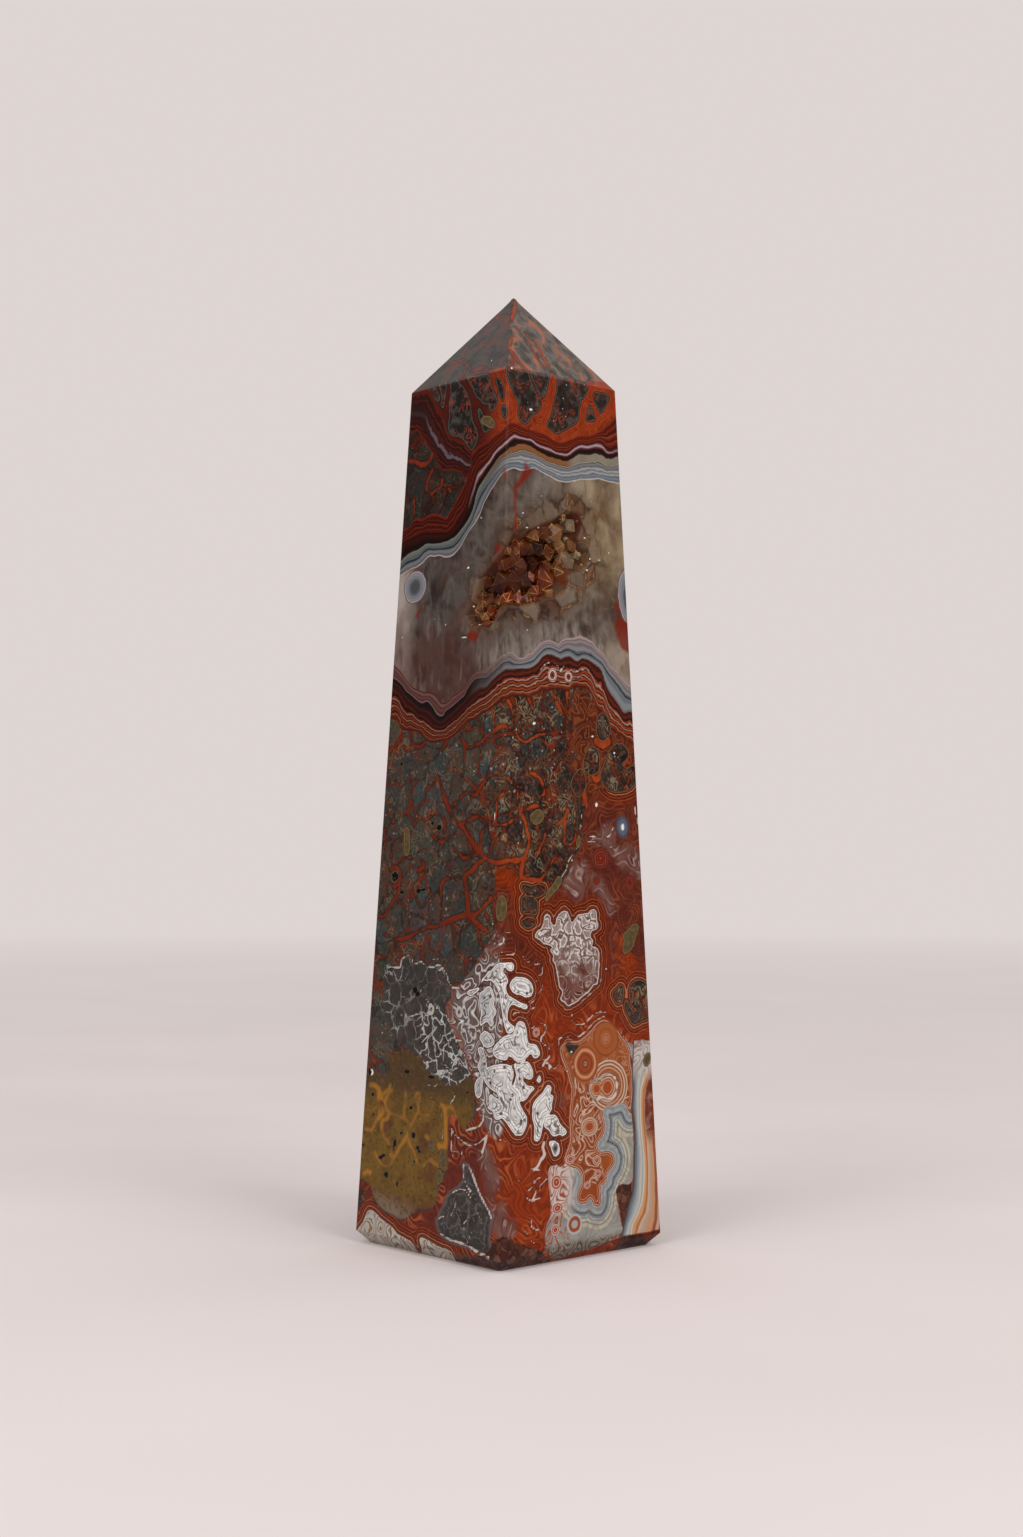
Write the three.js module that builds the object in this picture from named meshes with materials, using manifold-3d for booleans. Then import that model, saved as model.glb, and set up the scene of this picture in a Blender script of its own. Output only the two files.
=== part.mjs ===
// A free-standing tower of crazy lace agate: a square, tapering shaft with a four-sided point, a bevelled flat foot
// and, high on its front corner, an open pocket lined with rust-stained quartz crystals.
// Millimetres, +Z up. The origin is the middle of the foot's flat face, and the shaft's faces look along X and Y.
import * as THREE from "three";
import { ConvexGeometry } from "three/addons/geometries/ConvexGeometry.js";
import { mergeVertices } from "three/addons/utils/BufferGeometryUtils.js";
import Module from "manifold-3d";

const wasm = await Module();
wasm.setup();

// The shaft and its point
const HEIGHT = 110;
const BASE_SIDE = 25; // from face to face just above the bevel
const SHOULDER_SIDE = 17; // from face to face where the point begins
const SHOULDER_HEIGHT = 98.8;
const FOOT_SIDE = 22.6; // the flat that it stands on
const BEVEL_HEIGHT = 1.4;
const LEAN = 0.5; // the tip's offset from the foot's middle, along X and along Y, because it is cut by hand

// The crystal pocket
const CRUST_GAP = 0.3; // between the pocket's wall and the crust's back
const CRUST_THICKNESS = 0.8; // under the crystals
const POLISH_GAP = 0.12; // how far the crust stays under the polished faces
const CORNER_BLEND = 2.5; // crystals this near the front corner turn from one face's outward direction to the other's
const PRISM_LENGTH = 5; // of a crystal, root included
const CAP_SLOPE = 0.75; // height of a crystal's point over its radius
const SIDES = 6; // of a quartz crystal

// A place on the two front faces is { across, z }: millimetres from the front corner, negative on the -Y face and
// positive on the +X face, and height. Each scoop is a round hollow centred there, and they overlap in one pocket.
const SCOOPS = [
  { across: -3.6, z: 72.5, wide: 2.3, high: 2.0 },
  { across: -1.4, z: 74.7, wide: 3.2, high: 2.5 },
  { across: 1.5, z: 76.2, wide: 3.3, high: 3.4 },
  { across: 4.2, z: 77.3, wide: 3.6, high: 3.9 },
  { across: 6.6, z: 78.2, wide: 3.2, high: 3.7 },
  { across: 8.6, z: 80.6, wide: 2.5, high: 2.2 },
  { across: 7.4, z: 75.2, wide: 2.4, high: 1.9 },
  { across: 10.6, z: 78.1, wide: 2.3, high: 1.7 },
];

// The large crystals. below is the depth of the tip under the polished face, and tilt leans it across and up.
const CRYSTALS = [
  { across: -1.6, z: 74.8, radius: 2.1, below: 0.7, tilt: [-0.3, -0.1], turn: 8 },
  { across: 0.9, z: 74.7, radius: 1.6, below: 0.6, tilt: [0.25, 0.05], turn: 35 },
  { across: 3.6, z: 75.3, radius: 1.9, below: 0.8, tilt: [0.1, -0.25], turn: 20 },
  { across: 7.2, z: 75.0, radius: 1.8, below: 0.4, tilt: [0.3, -0.2], turn: 5 },
  { across: 5.1, z: 73.9, radius: 1.1, below: 0.5, tilt: [-0.1, -0.3], turn: 40 },
  { across: 1.8, z: 79.0, radius: 1.4, below: 0.6, tilt: [-0.2, 0.3], turn: 15 },
  { across: 4.2, z: 79.1, radius: 1.6, below: 1.1, tilt: [0.1, 0.2], turn: 50 },
  { across: 5.4, z: 80.7, radius: 1.4, below: 0.8, tilt: [0.0, 0.4], turn: 28 },
  { across: 5.2, z: 77.2, radius: 1.4, below: 1.3, tilt: [0.2, 0.0], turn: 12 },
  { across: 7.4, z: 77.3, radius: 1.2, below: 1.6, tilt: [0.2, -0.1], turn: 33 },
  { across: 2.4, z: 77.2, radius: 1.4, below: 1.4, tilt: [-0.2, 0.1], turn: 55 },
  { across: 11.0, z: 78.0, radius: 1.8, below: 0.2, tilt: [0.2, 0.1], turn: 18 },
  { across: 8.8, z: 78.6, radius: 1.1, below: 0.9, tilt: [0.3, 0.2], turn: 44 },
  { across: 9.2, z: 81.7, radius: 1.6, below: 0.3, tilt: [0.2, 0.4], turn: 2 },
  { across: 7.2, z: 80.2, radius: 0.9, below: 1.2, tilt: [0.0, 0.3], turn: 25 },
  { across: -3.8, z: 72.4, radius: 1.3, below: 0.7, tilt: [-0.3, -0.2], turn: 38 },
  { across: -3.3, z: 75.0, radius: 1.2, below: 0.6, tilt: [-0.4, 0.2], turn: 21 },
  { across: -0.5, z: 77.2, radius: 1.1, below: 0.8, tilt: [-0.3, 0.4], turn: 47 },
  { across: 0.0, z: 72.8, radius: 0.9, below: 0.6, tilt: [0.0, -0.5], turn: 30 },
  { across: 9.1, z: 76.2, radius: 0.8, below: 1.0, tilt: [0.3, -0.1], turn: 11 },
];

// Small open pits in the polish, on the same two faces
const PITS = [
  { across: -6.9, z: 69.2, size: 0.45 },
  { across: -5.2, z: 70.7, size: 0.5 },
  { across: -17.8, z: 22.4, size: 0.6 },
  { across: -20.6, z: 16.0, size: 0.5 },
  { across: -14.6, z: 16.2, size: 0.45 },
  { across: -18.9, z: 11.2, size: 0.5 },
];

function solidOf(geometry) {
  const bare = geometry.index ? geometry.toNonIndexed() : geometry.clone();
  bare.deleteAttribute("normal");
  bare.deleteAttribute("uv");
  const merged = mergeVertices(bare, 1e-4);
  return new wasm.Manifold(
    new wasm.Mesh({
      numProp: 3,
      vertProperties: merged.attributes.position.array,
      triVerts: new Uint32Array(merged.index.array),
    }),
  );
}

function geometryOf(solid) {
  const { numProp, numVert, vertProperties, triVerts } = solid.getMesh();
  const places = new Float32Array(numVert * 3);
  for (let i = 0; i < numVert; i++) {
    places.set(vertProperties.subarray(i * numProp, i * numProp + 3), i * 3);
  }
  const geometry = new THREE.BufferGeometry();
  geometry.setAttribute("position", new THREE.BufferAttribute(places, 3));
  geometry.setIndex(new THREE.BufferAttribute(triVerts, 1));
  const flat = geometry.toNonIndexed();
  flat.computeVertexNormals();
  return flat;
}

// The offset of the shaft's axis at a height, the same along X and along Y
function leanAt(z) {
  return (LEAN * Math.max(0, z - BEVEL_HEIGHT)) / (HEIGHT - BEVEL_HEIGHT);
}

function halfSideAt(z) {
  const share = (z - BEVEL_HEIGHT) / (SHOULDER_HEIGHT - BEVEL_HEIGHT);
  return THREE.MathUtils.lerp(BASE_SIDE, SHOULDER_SIDE, share) / 2;
}

// The whole tower as a convex solid, its sides and point drawn in by inset
function towerSolid(inset) {
  const ring = (half, z) =>
    [[1, 1], [-1, 1], [-1, -1], [1, -1]].map(
      ([x, y]) => new THREE.Vector3(x * half + leanAt(z), y * half + leanAt(z), z),
    );
  const corners = [
    ...ring(FOOT_SIDE / 2 - inset, 0),
    ...ring(BASE_SIDE / 2 - inset, BEVEL_HEIGHT),
    ...ring(SHOULDER_SIDE / 2 - inset, SHOULDER_HEIGHT),
    new THREE.Vector3(leanAt(HEIGHT), leanAt(HEIGHT), HEIGHT - inset),
  ];
  return solidOf(new ConvexGeometry(corners));
}

// A place on the front faces as a point of the part
function skinPoint({ across, z }) {
  const half = halfSideAt(z);
  const corner = new THREE.Vector3(half, -half, z).add(new THREE.Vector3(leanAt(z), leanAt(z), 0));
  return corner.add(across < 0 ? new THREE.Vector3(across, 0, 0) : new THREE.Vector3(0, across, 0));
}

// The outward direction there, turning smoothly round the corner
function outward(across) {
  const turn = (THREE.MathUtils.smoothstep(across, -CORNER_BLEND, CORNER_BLEND) * Math.PI) / 2;
  return new THREE.Vector3(Math.sin(turn), -Math.cos(turn), 0);
}

// All the scoops as one solid, each smaller by inset
function pocketSolid(inset) {
  return SCOOPS.map((scoop) => {
    const ball = new THREE.IcosahedronGeometry(1, 3);
    const wide = scoop.wide - inset;
    ball.scale(wide, wide, scoop.high - inset);
    ball.translate(...skinPoint(scoop).toArray());
    return solidOf(ball);
  }).reduce((pocket, scoop) => pocket.add(scoop));
}

// A quartz crystal: six sides and a six-sided point with three large faces and three small, its tip at the origin
// and its root down -Z
function crystalSolid(radius, turn) {
  const corners = [new THREE.Vector3(0, 0, 0)];
  const cap = radius * CAP_SLOPE;
  for (let i = 0; i < SIDES; i++) {
    const angle = (i / SIDES) * 2 * Math.PI + THREE.MathUtils.degToRad(turn);
    const x = radius * Math.cos(angle);
    const y = radius * Math.sin(angle);
    const drop = i % 2 ? cap : cap * 1.35;
    corners.push(new THREE.Vector3(x, y, -drop));
    corners.push(new THREE.Vector3(0.8 * x, 0.8 * y, -PRISM_LENGTH));
  }
  return new ConvexGeometry(corners);
}

function placedCrystal({ across, z, radius, below, tilt, turn }) {
  const out = outward(across);
  const along = new THREE.Vector3(-out.y, out.x, 0);
  const axis = out.clone().addScaledVector(along, tilt[0]).add(new THREE.Vector3(0, 0, tilt[1])).normalize();
  const geometry = crystalSolid(radius, turn);
  geometry.applyQuaternion(new THREE.Quaternion().setFromUnitVectors(new THREE.Vector3(0, 0, 1), axis));
  const tip = skinPoint({ across, z }).addScaledVector(out, -below);
  geometry.translate(tip.x, tip.y, tip.z);
  return solidOf(geometry);
}

function stoneMesh() {
  let stone = towerSolid(0).subtract(pocketSolid(0));
  for (const pit of PITS) {
    const hole = new THREE.IcosahedronGeometry(pit.size, 0);
    hole.translate(...skinPoint(pit).toArray());
    stone = stone.subtract(solidOf(hole));
  }
  const material = new THREE.MeshStandardMaterial({ color: 0x6b3226, roughness: 0.12, metalness: 0 });
  const mesh = new THREE.Mesh(geometryOf(stone), material);
  mesh.name = "agate_tower";
  return mesh;
}

function crustMesh() {
  const room = pocketSolid(CRUST_GAP).intersect(towerSolid(POLISH_GAP));
  const hollow = pocketSolid(CRUST_GAP + CRUST_THICKNESS);
  const crystals = CRYSTALS.map(placedCrystal).reduce((all, one) => all.add(one));
  const pieces = room.subtract(hollow).add(crystals.intersect(room)).decompose();
  const crust = pieces.reduce((largest, piece) => (piece.volume() > largest.volume() ? piece : largest));
  const material = new THREE.MeshStandardMaterial({ color: 0x7a4526, roughness: 0.2, metalness: 0 });
  const mesh = new THREE.Mesh(geometryOf(crust), material);
  mesh.name = "crystal_crust";
  return mesh;
}

const tower = new THREE.Group();
tower.add(stoneMesh(), crustMesh());
export default tower;
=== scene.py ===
"""A polished crazy lace agate tower, its bands, cells and veins drawn by nodes, and its crystal pocket."""

import math
from functools import reduce

import bmesh
import bpy
import numpy as np
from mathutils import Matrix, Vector


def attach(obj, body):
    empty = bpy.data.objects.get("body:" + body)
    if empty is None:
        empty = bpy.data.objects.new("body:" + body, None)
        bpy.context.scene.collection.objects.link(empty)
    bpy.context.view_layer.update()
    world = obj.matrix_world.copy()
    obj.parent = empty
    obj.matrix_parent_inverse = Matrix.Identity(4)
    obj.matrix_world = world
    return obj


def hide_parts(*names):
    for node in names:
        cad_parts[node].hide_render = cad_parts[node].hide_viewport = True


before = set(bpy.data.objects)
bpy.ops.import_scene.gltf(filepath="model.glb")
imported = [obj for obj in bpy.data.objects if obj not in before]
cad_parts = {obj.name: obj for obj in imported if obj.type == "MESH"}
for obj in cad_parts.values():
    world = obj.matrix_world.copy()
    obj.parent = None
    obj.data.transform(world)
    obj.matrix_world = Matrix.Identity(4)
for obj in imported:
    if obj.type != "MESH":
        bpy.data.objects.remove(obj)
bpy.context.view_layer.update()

# The tower's measures in millimetres, as in the part's source
HEIGHT = 110.0
BASE_SIDE = 25.0
SHOULDER_SIDE = 17.0
SHOULDER_HEIGHT = 98.8
FOOT_SIDE = 22.6
BEVEL_HEIGHT = 1.4
LEAN = 0.5
ARRIS_RADIUS = 0.3  # of the rounded edges between the faces
TIP_SIDE = 0.4  # the least width, at the very tip
TIP_BLUNTING = 0.06  # how much lower than the full height the mesh ends
FOOT_RING = 0.97  # the size of the second ring of points in the foot, as a share of the first
MM = 0.001

# The polish: how quartz bends light, and the specular level of the stone and of its crystals
QUARTZ_IOR = 1.54
SHEEN = 0.08
CRYSTAL_SHEEN = 0.045

# Where the photograph was taken from
VIEW_TURN = math.radians(48.02)
VIEW_DISTANCE = 241.7
VIEW_ASIDE = 0.45
VIEW_HEIGHT = 45.2
VIEW_UP = math.radians(2.26)
LENS = 48.74
SENSOR_WIDTH = 36.0
CLIP_START = 0.01

# The stage: metres, and linear colours with alpha
FLOOR_RADIUS = 4.0
FLOOR_SIDES = 96
FLOOR_FADE = (150.0, 900.0)  # from the floor's own colour to the background's, in millimetres from the tower
SKY_START = 0.2  # the heights at which the sky's light starts and is full
SKY_FULL = 0.62
SKY_DIM = (0.22, 0.21, 0.21, 1.0)
SKY_BRIGHT = (0.8, 0.785, 0.78, 1.0)
BACKGROUND = (0.73, 0.665, 0.645, 1.0)
LIGHT_RISE = 32
LIGHT_DISTANCE = 0.8
LIGHT_SIZE = 0.45
LIGHTS = {"key_left": (8, 2.2), "key_right": (90, 2.6)}  # degrees round from the left face, and watts

# A turn is a place round the stone: 0 at the front corner, 1 at the right-hand one, -2 and 2 at the back one
FULL_TURN = 4
TURN_LIMIT = 2.4  # a drawn line that starts further round than this doesn't come near the mesh
REACH = 3.0  # distances to a drawn shape are measured up to here, in millimetres
LEAST_BAND = 0.05  # a band is never taken as thinner than this

# A place on the skin is (across, height): millimetres from the front corner, less than 0 on the left face

# The bands over the quartz: the levels between them, from the white line up to the end of the red
UPPER_BANDS = [
    [(-36, 81.5), (-30, 79.4), (-24, 77.2), (-18.7, 77.3), (-17.5, 77.6), (-16.5, 77.9), (-15.2, 78.1),
     (-14.3, 78.5), (-13.6, 78.95), (-13.1, 79.1), (-12.3, 78.95), (-11.4, 79.0), (-10.6, 78.7), (-9.8, 78.6),
     (-9.0, 78.7), (-8.3, 79.1), (-7.4, 79.9), (-6.7, 80.7), (-5.9, 81.5), (-5.0, 82.2), (-4.3, 83.0),
     (-3.8, 83.9), (-3.0, 84.9), (-2.3, 85.6), (-1.6, 86.3), (-0.8, 87.0), (0, 87.3), (1.0, 87.7),
     (2.2, 87.6), (3.0, 87.8), (4.3, 88.15), (5.3, 87.8), (6.5, 87.5), (7.5, 87.2), (8.5, 87.1), (9.3, 87.1),
     (10.3, 87.4), (11.5, 87.7), (13, 87.9), (14.2, 88.1), (15.5, 88.0), (17.7, 87.9), (22, 86.4), (27, 84.1),
     (32, 83.4)],
    [(-36, 82.3), (-30, 80.3), (-24, 78.3), (-18.6, 78.0), (-17.5, 78.6), (-16.5, 78.75), (-15.5, 78.85),
     (-14.8, 79.2), (-14.2, 79.6), (-13.5, 79.85), (-12.5, 79.75), (-11.5, 79.7), (-10.5, 79.6), (-9.5, 79.6),
     (-8.8, 79.75), (-8.0, 80.2), (-7.3, 80.8), (-6.5, 81.6), (-5.7, 82.4), (-5.1, 83.6), (-4.4, 84.7),
     (-3.3, 85.8), (-2.2, 86.8), (-1.3, 87.4), (0, 87.95), (1.5, 88.15), (2.5, 88.2), (4, 88.4), (5, 88.15),
     (6.5, 87.9), (8, 87.6), (9.3, 87.5), (10.5, 87.8), (12, 88.15), (14, 88.5), (16, 88.4), (17.7, 88.5),
     (22, 87.2), (27, 85.0), (32, 84.3)],
    [(-36, 83.6), (-30, 81.3), (-24, 79.8), (-18.6, 79.0), (-17.5, 79.6), (-16.5, 79.9), (-15.4, 80.1),
     (-14.5, 80.4), (-13.9, 80.6), (-12.8, 80.5), (-11.5, 80.45), (-10.5, 80.5), (-9.5, 80.6), (-8.6, 80.9),
     (-7.8, 81.4), (-6.9, 82.1), (-6.2, 82.8), (-5.6, 83.7), (-5.1, 85.1), (-4.7, 86.0), (-4.0, 86.7),
     (-3.2, 87.4), (-2.4, 88.1), (-1.5, 88.9), (-0.7, 89.4), (0, 89.7), (0.8, 90.2), (1.5, 90.5), (2.3, 90.7),
     (3.5, 90.6), (4.3, 90.3), (5.3, 90.0), (6.5, 89.8), (7.8, 89.7), (9.0, 89.6), (9.8, 89.9), (10.5, 90.4),
     (11.3, 90.7), (12.5, 90.8), (13.5, 91.0), (14.6, 91.1), (15.3, 90.8), (16.0, 90.8), (17, 91.1),
     (17.6, 91.3), (22, 89.0), (27, 86.4), (32, 85.6)],
    [(-36, 84.8), (-30, 83.0), (-24, 81.6), (-18.7, 80.6), (-17, 81.3), (-15.5, 81.4), (-14, 81.7),
     (-12, 81.3), (-10.5, 81.2), (-9.5, 81.4), (-8.5, 82), (-7.5, 82.8), (-7, 83.6), (-6.4, 84.6),
     (-5.9, 85.6), (-5.4, 86.7), (-4.9, 87.6), (-4.3, 88.1), (-3.6, 88.5), (-2.9, 89), (-2.2, 89.6),
     (-1.5, 90.1), (-0.7, 90.4), (0, 90.8), (0.5, 91.2), (1.1, 91.6), (2, 91.45), (3, 91.35), (3.7, 91.4),
     (4.6, 91.0), (5.5, 90.8), (6.6, 90.7), (7.5, 90.4), (8.5, 90.4), (9.3, 90.5), (10, 91.0), (10.8, 91.5),
     (11.6, 91.8), (12.5, 91.8), (13.4, 92.1), (14.3, 92.3), (15.0, 92.1), (15.5, 91.6), (16.3, 91.6),
     (17.0, 91.9), (17.6, 92.0), (22, 90.3), (27, 87.9), (32, 86.9)],
    [(-36, 87.0), (-30, 85.6), (-24, 84.0), (-18.4, 82.7), (-17, 82.9), (-16.5, 83.3), (-15.5, 83.9),
     (-14.5, 83.6), (-13, 84.0), (-12, 84), (-11, 83.5), (-10, 83.4), (-9.5, 84), (-9, 84.3), (-8.6, 84.9),
     (-8.2, 85.4), (-7.6, 86.1), (-7.1, 86.7), (-6.6, 87.6), (-6.2, 88.6), (-5.9, 90.1), (-5.3, 90.4),
     (-4.3, 90.8), (-3.3, 91.0), (-2.5, 91.3), (-1.5, 91.7), (-0.7, 92.0), (0.4, 92.7), (1.2, 92.8),
     (2, 92.6), (3, 92.4), (4, 92.3), (5, 92.3), (6, 92.1), (6.7, 91.8), (7.5, 91.6), (8.3, 91.6), (9, 91.8),
     (9.8, 92.1), (10.5, 92.4), (11.3, 92.7), (12.3, 92.9), (13.3, 93.1), (14.3, 93.7), (15, 94.2),
     (16, 95.0), (17, 95.8), (22, 93.0), (27, 90.5), (32, 89.0)],
]

# The bands that part the two fields of dark cells on the left face
LENS_BANDS = [
    [(-24, 93.2), (-17.6, 94.0), (-16.5, 94.0), (-15.5, 93.8), (-14.8, 93.1), (-14.2, 92.5), (-13.5, 91.8),
     (-13, 91.2), (-12.3, 90.4), (-12, 89.8), (-11.5, 89.1), (-10.8, 88.7), (-10, 88.6), (-9, 88.5),
     (-8, 88.2), (-7.3, 87.6), (-6.8, 87.2), (-6.3, 87.7), (-6.0, 88.0)],
    [(-24, 95.4), (-17.5, 96.3), (-16, 96.2), (-14.6, 95.8), (-13.8, 94.9), (-13.4, 94), (-12.9, 93.2),
     (-12.2, 92.4), (-11.4, 91.6), (-10.6, 90.8), (-9.8, 90.3), (-8.8, 90.0), (-7.8, 89.5), (-7, 89.1),
     (-6.4, 88.8), (-6, 88.6)],
    [(-24, 98.6), (-17, 98.7), (-14, 98.8), (-13.1, 98.2), (-12.6, 97.4), (-12.2, 96.7), (-11.6, 96),
     (-11, 95.0), (-10.8, 94.6), (-10.6, 93.9), (-10.1, 93.1), (-9.6, 92.5), (-8.9, 92.2), (-7.8, 91.9),
     (-7.2, 91.4), (-6.6, 90.8), (-6.1, 90.3), (-5.8, 90.2)],
]

# The stack of bands under the quartz, from its pale upper line down to the cells
LOWER_BANDS = [
    [(-36, 66.0), (-30, 64.0), (-24, 66.4), (-20, 67.0), (-19.2, 66.6), (-18.0, 65.8), (-17, 64.8),
     (-16.3, 64.2), (-15.5, 63.8), (-14.7, 63.5), (-13.8, 63.3), (-13, 63.2), (-12.2, 63.0), (-11.6, 62.7),
     (-11.1, 62.2), (-10.7, 61.9), (-10, 61.8), (-9.3, 62.1), (-8.7, 62.5), (-8, 62.7), (-7.3, 63),
     (-6.6, 63.4), (-6, 64.2), (-5, 64.9), (-4, 65.15), (-3, 65.2), (-2, 65.9), (-1.2, 66.2), (-0.4, 66.6),
     (0.1, 66.6), (0.5, 66.85), (1.0, 66.9), (1.5, 66.7), (1.9, 66.5), (2.5, 66.4), (3.0, 66.5), (3.6, 66.9),
     (4.0, 67.1), (4.6, 67.6), (5.3, 68.2), (6.0, 68.5), (7.0, 68.65), (7.7, 68.45), (8.1, 68.3), (8.5, 68.7),
     (9.2, 69.1), (10, 69.2), (10.8, 69.3), (11.3, 69.55), (12.0, 69.5), (12.8, 69.2), (13.5, 68.9),
     (14.0, 68.4), (14.6, 68.0), (15.2, 67.6), (15.8, 67.0), (16.1, 66.5), (16.7, 66.1), (17.4, 65.8),
     (18, 65.2), (18.6, 64.7), (19.6, 64.2), (24, 63.0), (30, 65.5)],
    [(-36, 64.4), (-30, 62.4), (-24, 64.6), (-20, 65.4), (-18, 64.4), (-17, 63.5), (-16, 63.0), (-15, 62.4),
     (-14, 62.0), (-13, 62.1), (-12.4, 61.6), (-12, 61.1), (-11.5, 60.6), (-11, 60.35), (-10.4, 60.4),
     (-10, 60.8), (-9, 61.3), (-8, 61.8), (-7.3, 62.2), (-6.6, 62.6), (-6.2, 63.2), (-5.6, 63.8), (-5, 64.2),
     (-4, 64.3), (-3.2, 64.2), (-2.3, 64.6), (-1, 65.3), (0, 65.75), (0.5, 65.85), (1.3, 65.65), (2.5, 65.75),
     (3.5, 65.95), (4.4, 66.3), (5.1, 66.95), (5.7, 67.45), (6.5, 67.75), (7.3, 67.75), (8.0, 67.5),
     (8.4, 67.4), (9, 67.6), (9.7, 67.75), (10.5, 67.5), (11, 67.3), (12, 67.5), (13.2, 67.3), (14.3, 66.9),
     (15, 66.5), (15.8, 65.6), (16.5, 65.0), (17.4, 64.3), (18.4, 63.3), (19.8, 62.6), (24, 61.6),
     (30, 63.9)],
    [(-36, 62.4), (-30, 60.6), (-24, 62.6), (-20, 64.6), (-18, 63.6), (-17, 62.5), (-16, 61.9), (-15, 61.2),
     (-14, 60.9), (-13, 60.4), (-12, 59.8), (-11, 59.4), (-10, 59.6), (-9, 60.1), (-8, 60.7), (-7, 61.2),
     (-6, 61.9), (-5, 62.6), (-4, 63.0), (-3, 63.2), (-2, 63.9), (-1, 64.5), (0, 65.0), (1, 65.2),
     (2.5, 65.3), (4, 65.5), (5, 66.1), (5.6, 66.7), (6.4, 67.1), (7.2, 67.15), (8.0, 66.9), (8.6, 66.8),
     (9.3, 67.0), (10, 67.05), (10.7, 66.7), (11, 66.6), (11.7, 67.0), (12.5, 67.0), (13.3, 66.7),
     (14.2, 66.3), (15, 65.6), (15.6, 64.2), (16.5, 62.9), (17.8, 61.7), (18.5, 61.1), (19.5, 61.2),
     (20, 61.2), (24, 59.6), (30, 62.0)],
    [(-36, 59.0), (-30, 57.4), (-24, 58.8), (-20, 60.4), (-18.5, 60.2), (-17.8, 59.2), (-17, 58.9),
     (-16, 58.9), (-15, 58.7), (-14.2, 58.4), (-13.4, 57.8), (-12.5, 57.5), (-11.5, 57.4), (-10.5, 57.5),
     (-9.5, 57.7), (-8.5, 58.0), (-7.6, 58.5), (-7, 59.0), (-6.3, 59.4), (-5.4, 59.7), (-4.4, 59.9),
     (-3.6, 60.2), (-2.8, 60.5), (-2, 60.8), (-1.0, 61.2), (0, 61.8), (1, 62.0), (2.5, 62.1), (3.7, 62.2),
     (4.2, 62.4), (5.5, 62.8), (6.8, 63.0), (7.6, 63.2), (8.6, 63.2), (9.6, 63.2), (10.2, 63.4), (11.0, 63.6),
     (12, 63.6), (13, 63.2), (13.7, 62.3), (14.2, 61.1), (15, 60.8), (15.8, 60.2), (16.3, 59.2), (17, 58.8),
     (18, 58.4), (19, 57.9), (20.2, 57.3), (24, 56.0), (30, 58.0)],
]

# The upright bands beside the right-hand corner, each level from its foot upwards
EDGE_BANDS = [
    [(18.6, 1.6), (19.0, 3), (19.5, 4.5), (20.4, 6.5), (20.6, 8), (20.6, 10), (20.7, 12), (20.6, 14),
     (20.3, 16), (20.4, 18), (20.3, 20), (20.5, 23), (20.6, 25)],
    [(19.3, 1.6), (19.8, 3), (20.6, 4), (21.3, 5.5), (21.4, 7), (21.6, 10), (21.4, 12), (21.1, 14),
     (21.0, 17), (21.1, 19), (21.3, 22), (21.6, 25)],
    [(20.0, 1.6), (20.3, 2.8), (21.0, 3.8), (21.8, 5.0), (22.1, 6.5), (22.2, 8), (22.2, 10), (21.9, 12),
     (21.6, 14), (21.5, 16), (21.6, 18), (22.3, 19.5), (23.4, 21.3), (24.4, 25)],
    [(21.0, 1.6), (21.8, 3), (22.6, 4), (22.9, 6), (22.9, 9), (22.7, 12), (22.2, 14), (22.2, 16), (22.3, 18),
     (23.0, 19.3), (24.2, 20.7), (25.6, 25)],
    [(23.6, 1.6), (24.0, 3), (24.1, 5), (24.0, 8), (23.7, 11), (23.4, 14), (23.8, 17), (24.6, 19), (25.6, 21),
     (27.0, 25)],
]
EDGE_FOOT = 1.9  # the height where they end

# The field under the point whose ground is red
CELL_FIELDS = [
    [(-17.0, 99.0), (-13.4, 98.8), (-12.4, 97.2), (-11.0, 95.0), (-10.2, 93.3), (-9.2, 92.1), (-7.6, 91.7),
     (-6.4, 90.4), (-5.6, 90.1), (-4.0, 90.8), (-2.0, 91.4), (-0.4, 92.0), (1.2, 92.6), (3.0, 92.3),
     (5.0, 92.2), (7.0, 91.5), (8.4, 91.4), (10.0, 92.1), (12.0, 92.7), (14.0, 93.4), (15.4, 94.4),
     (17.4, 96.0), (17.0, 99.6), (12.0, 99.4), (7.0, 99.2), (0, 99.2), (-8.0, 99.2)],
]

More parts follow.
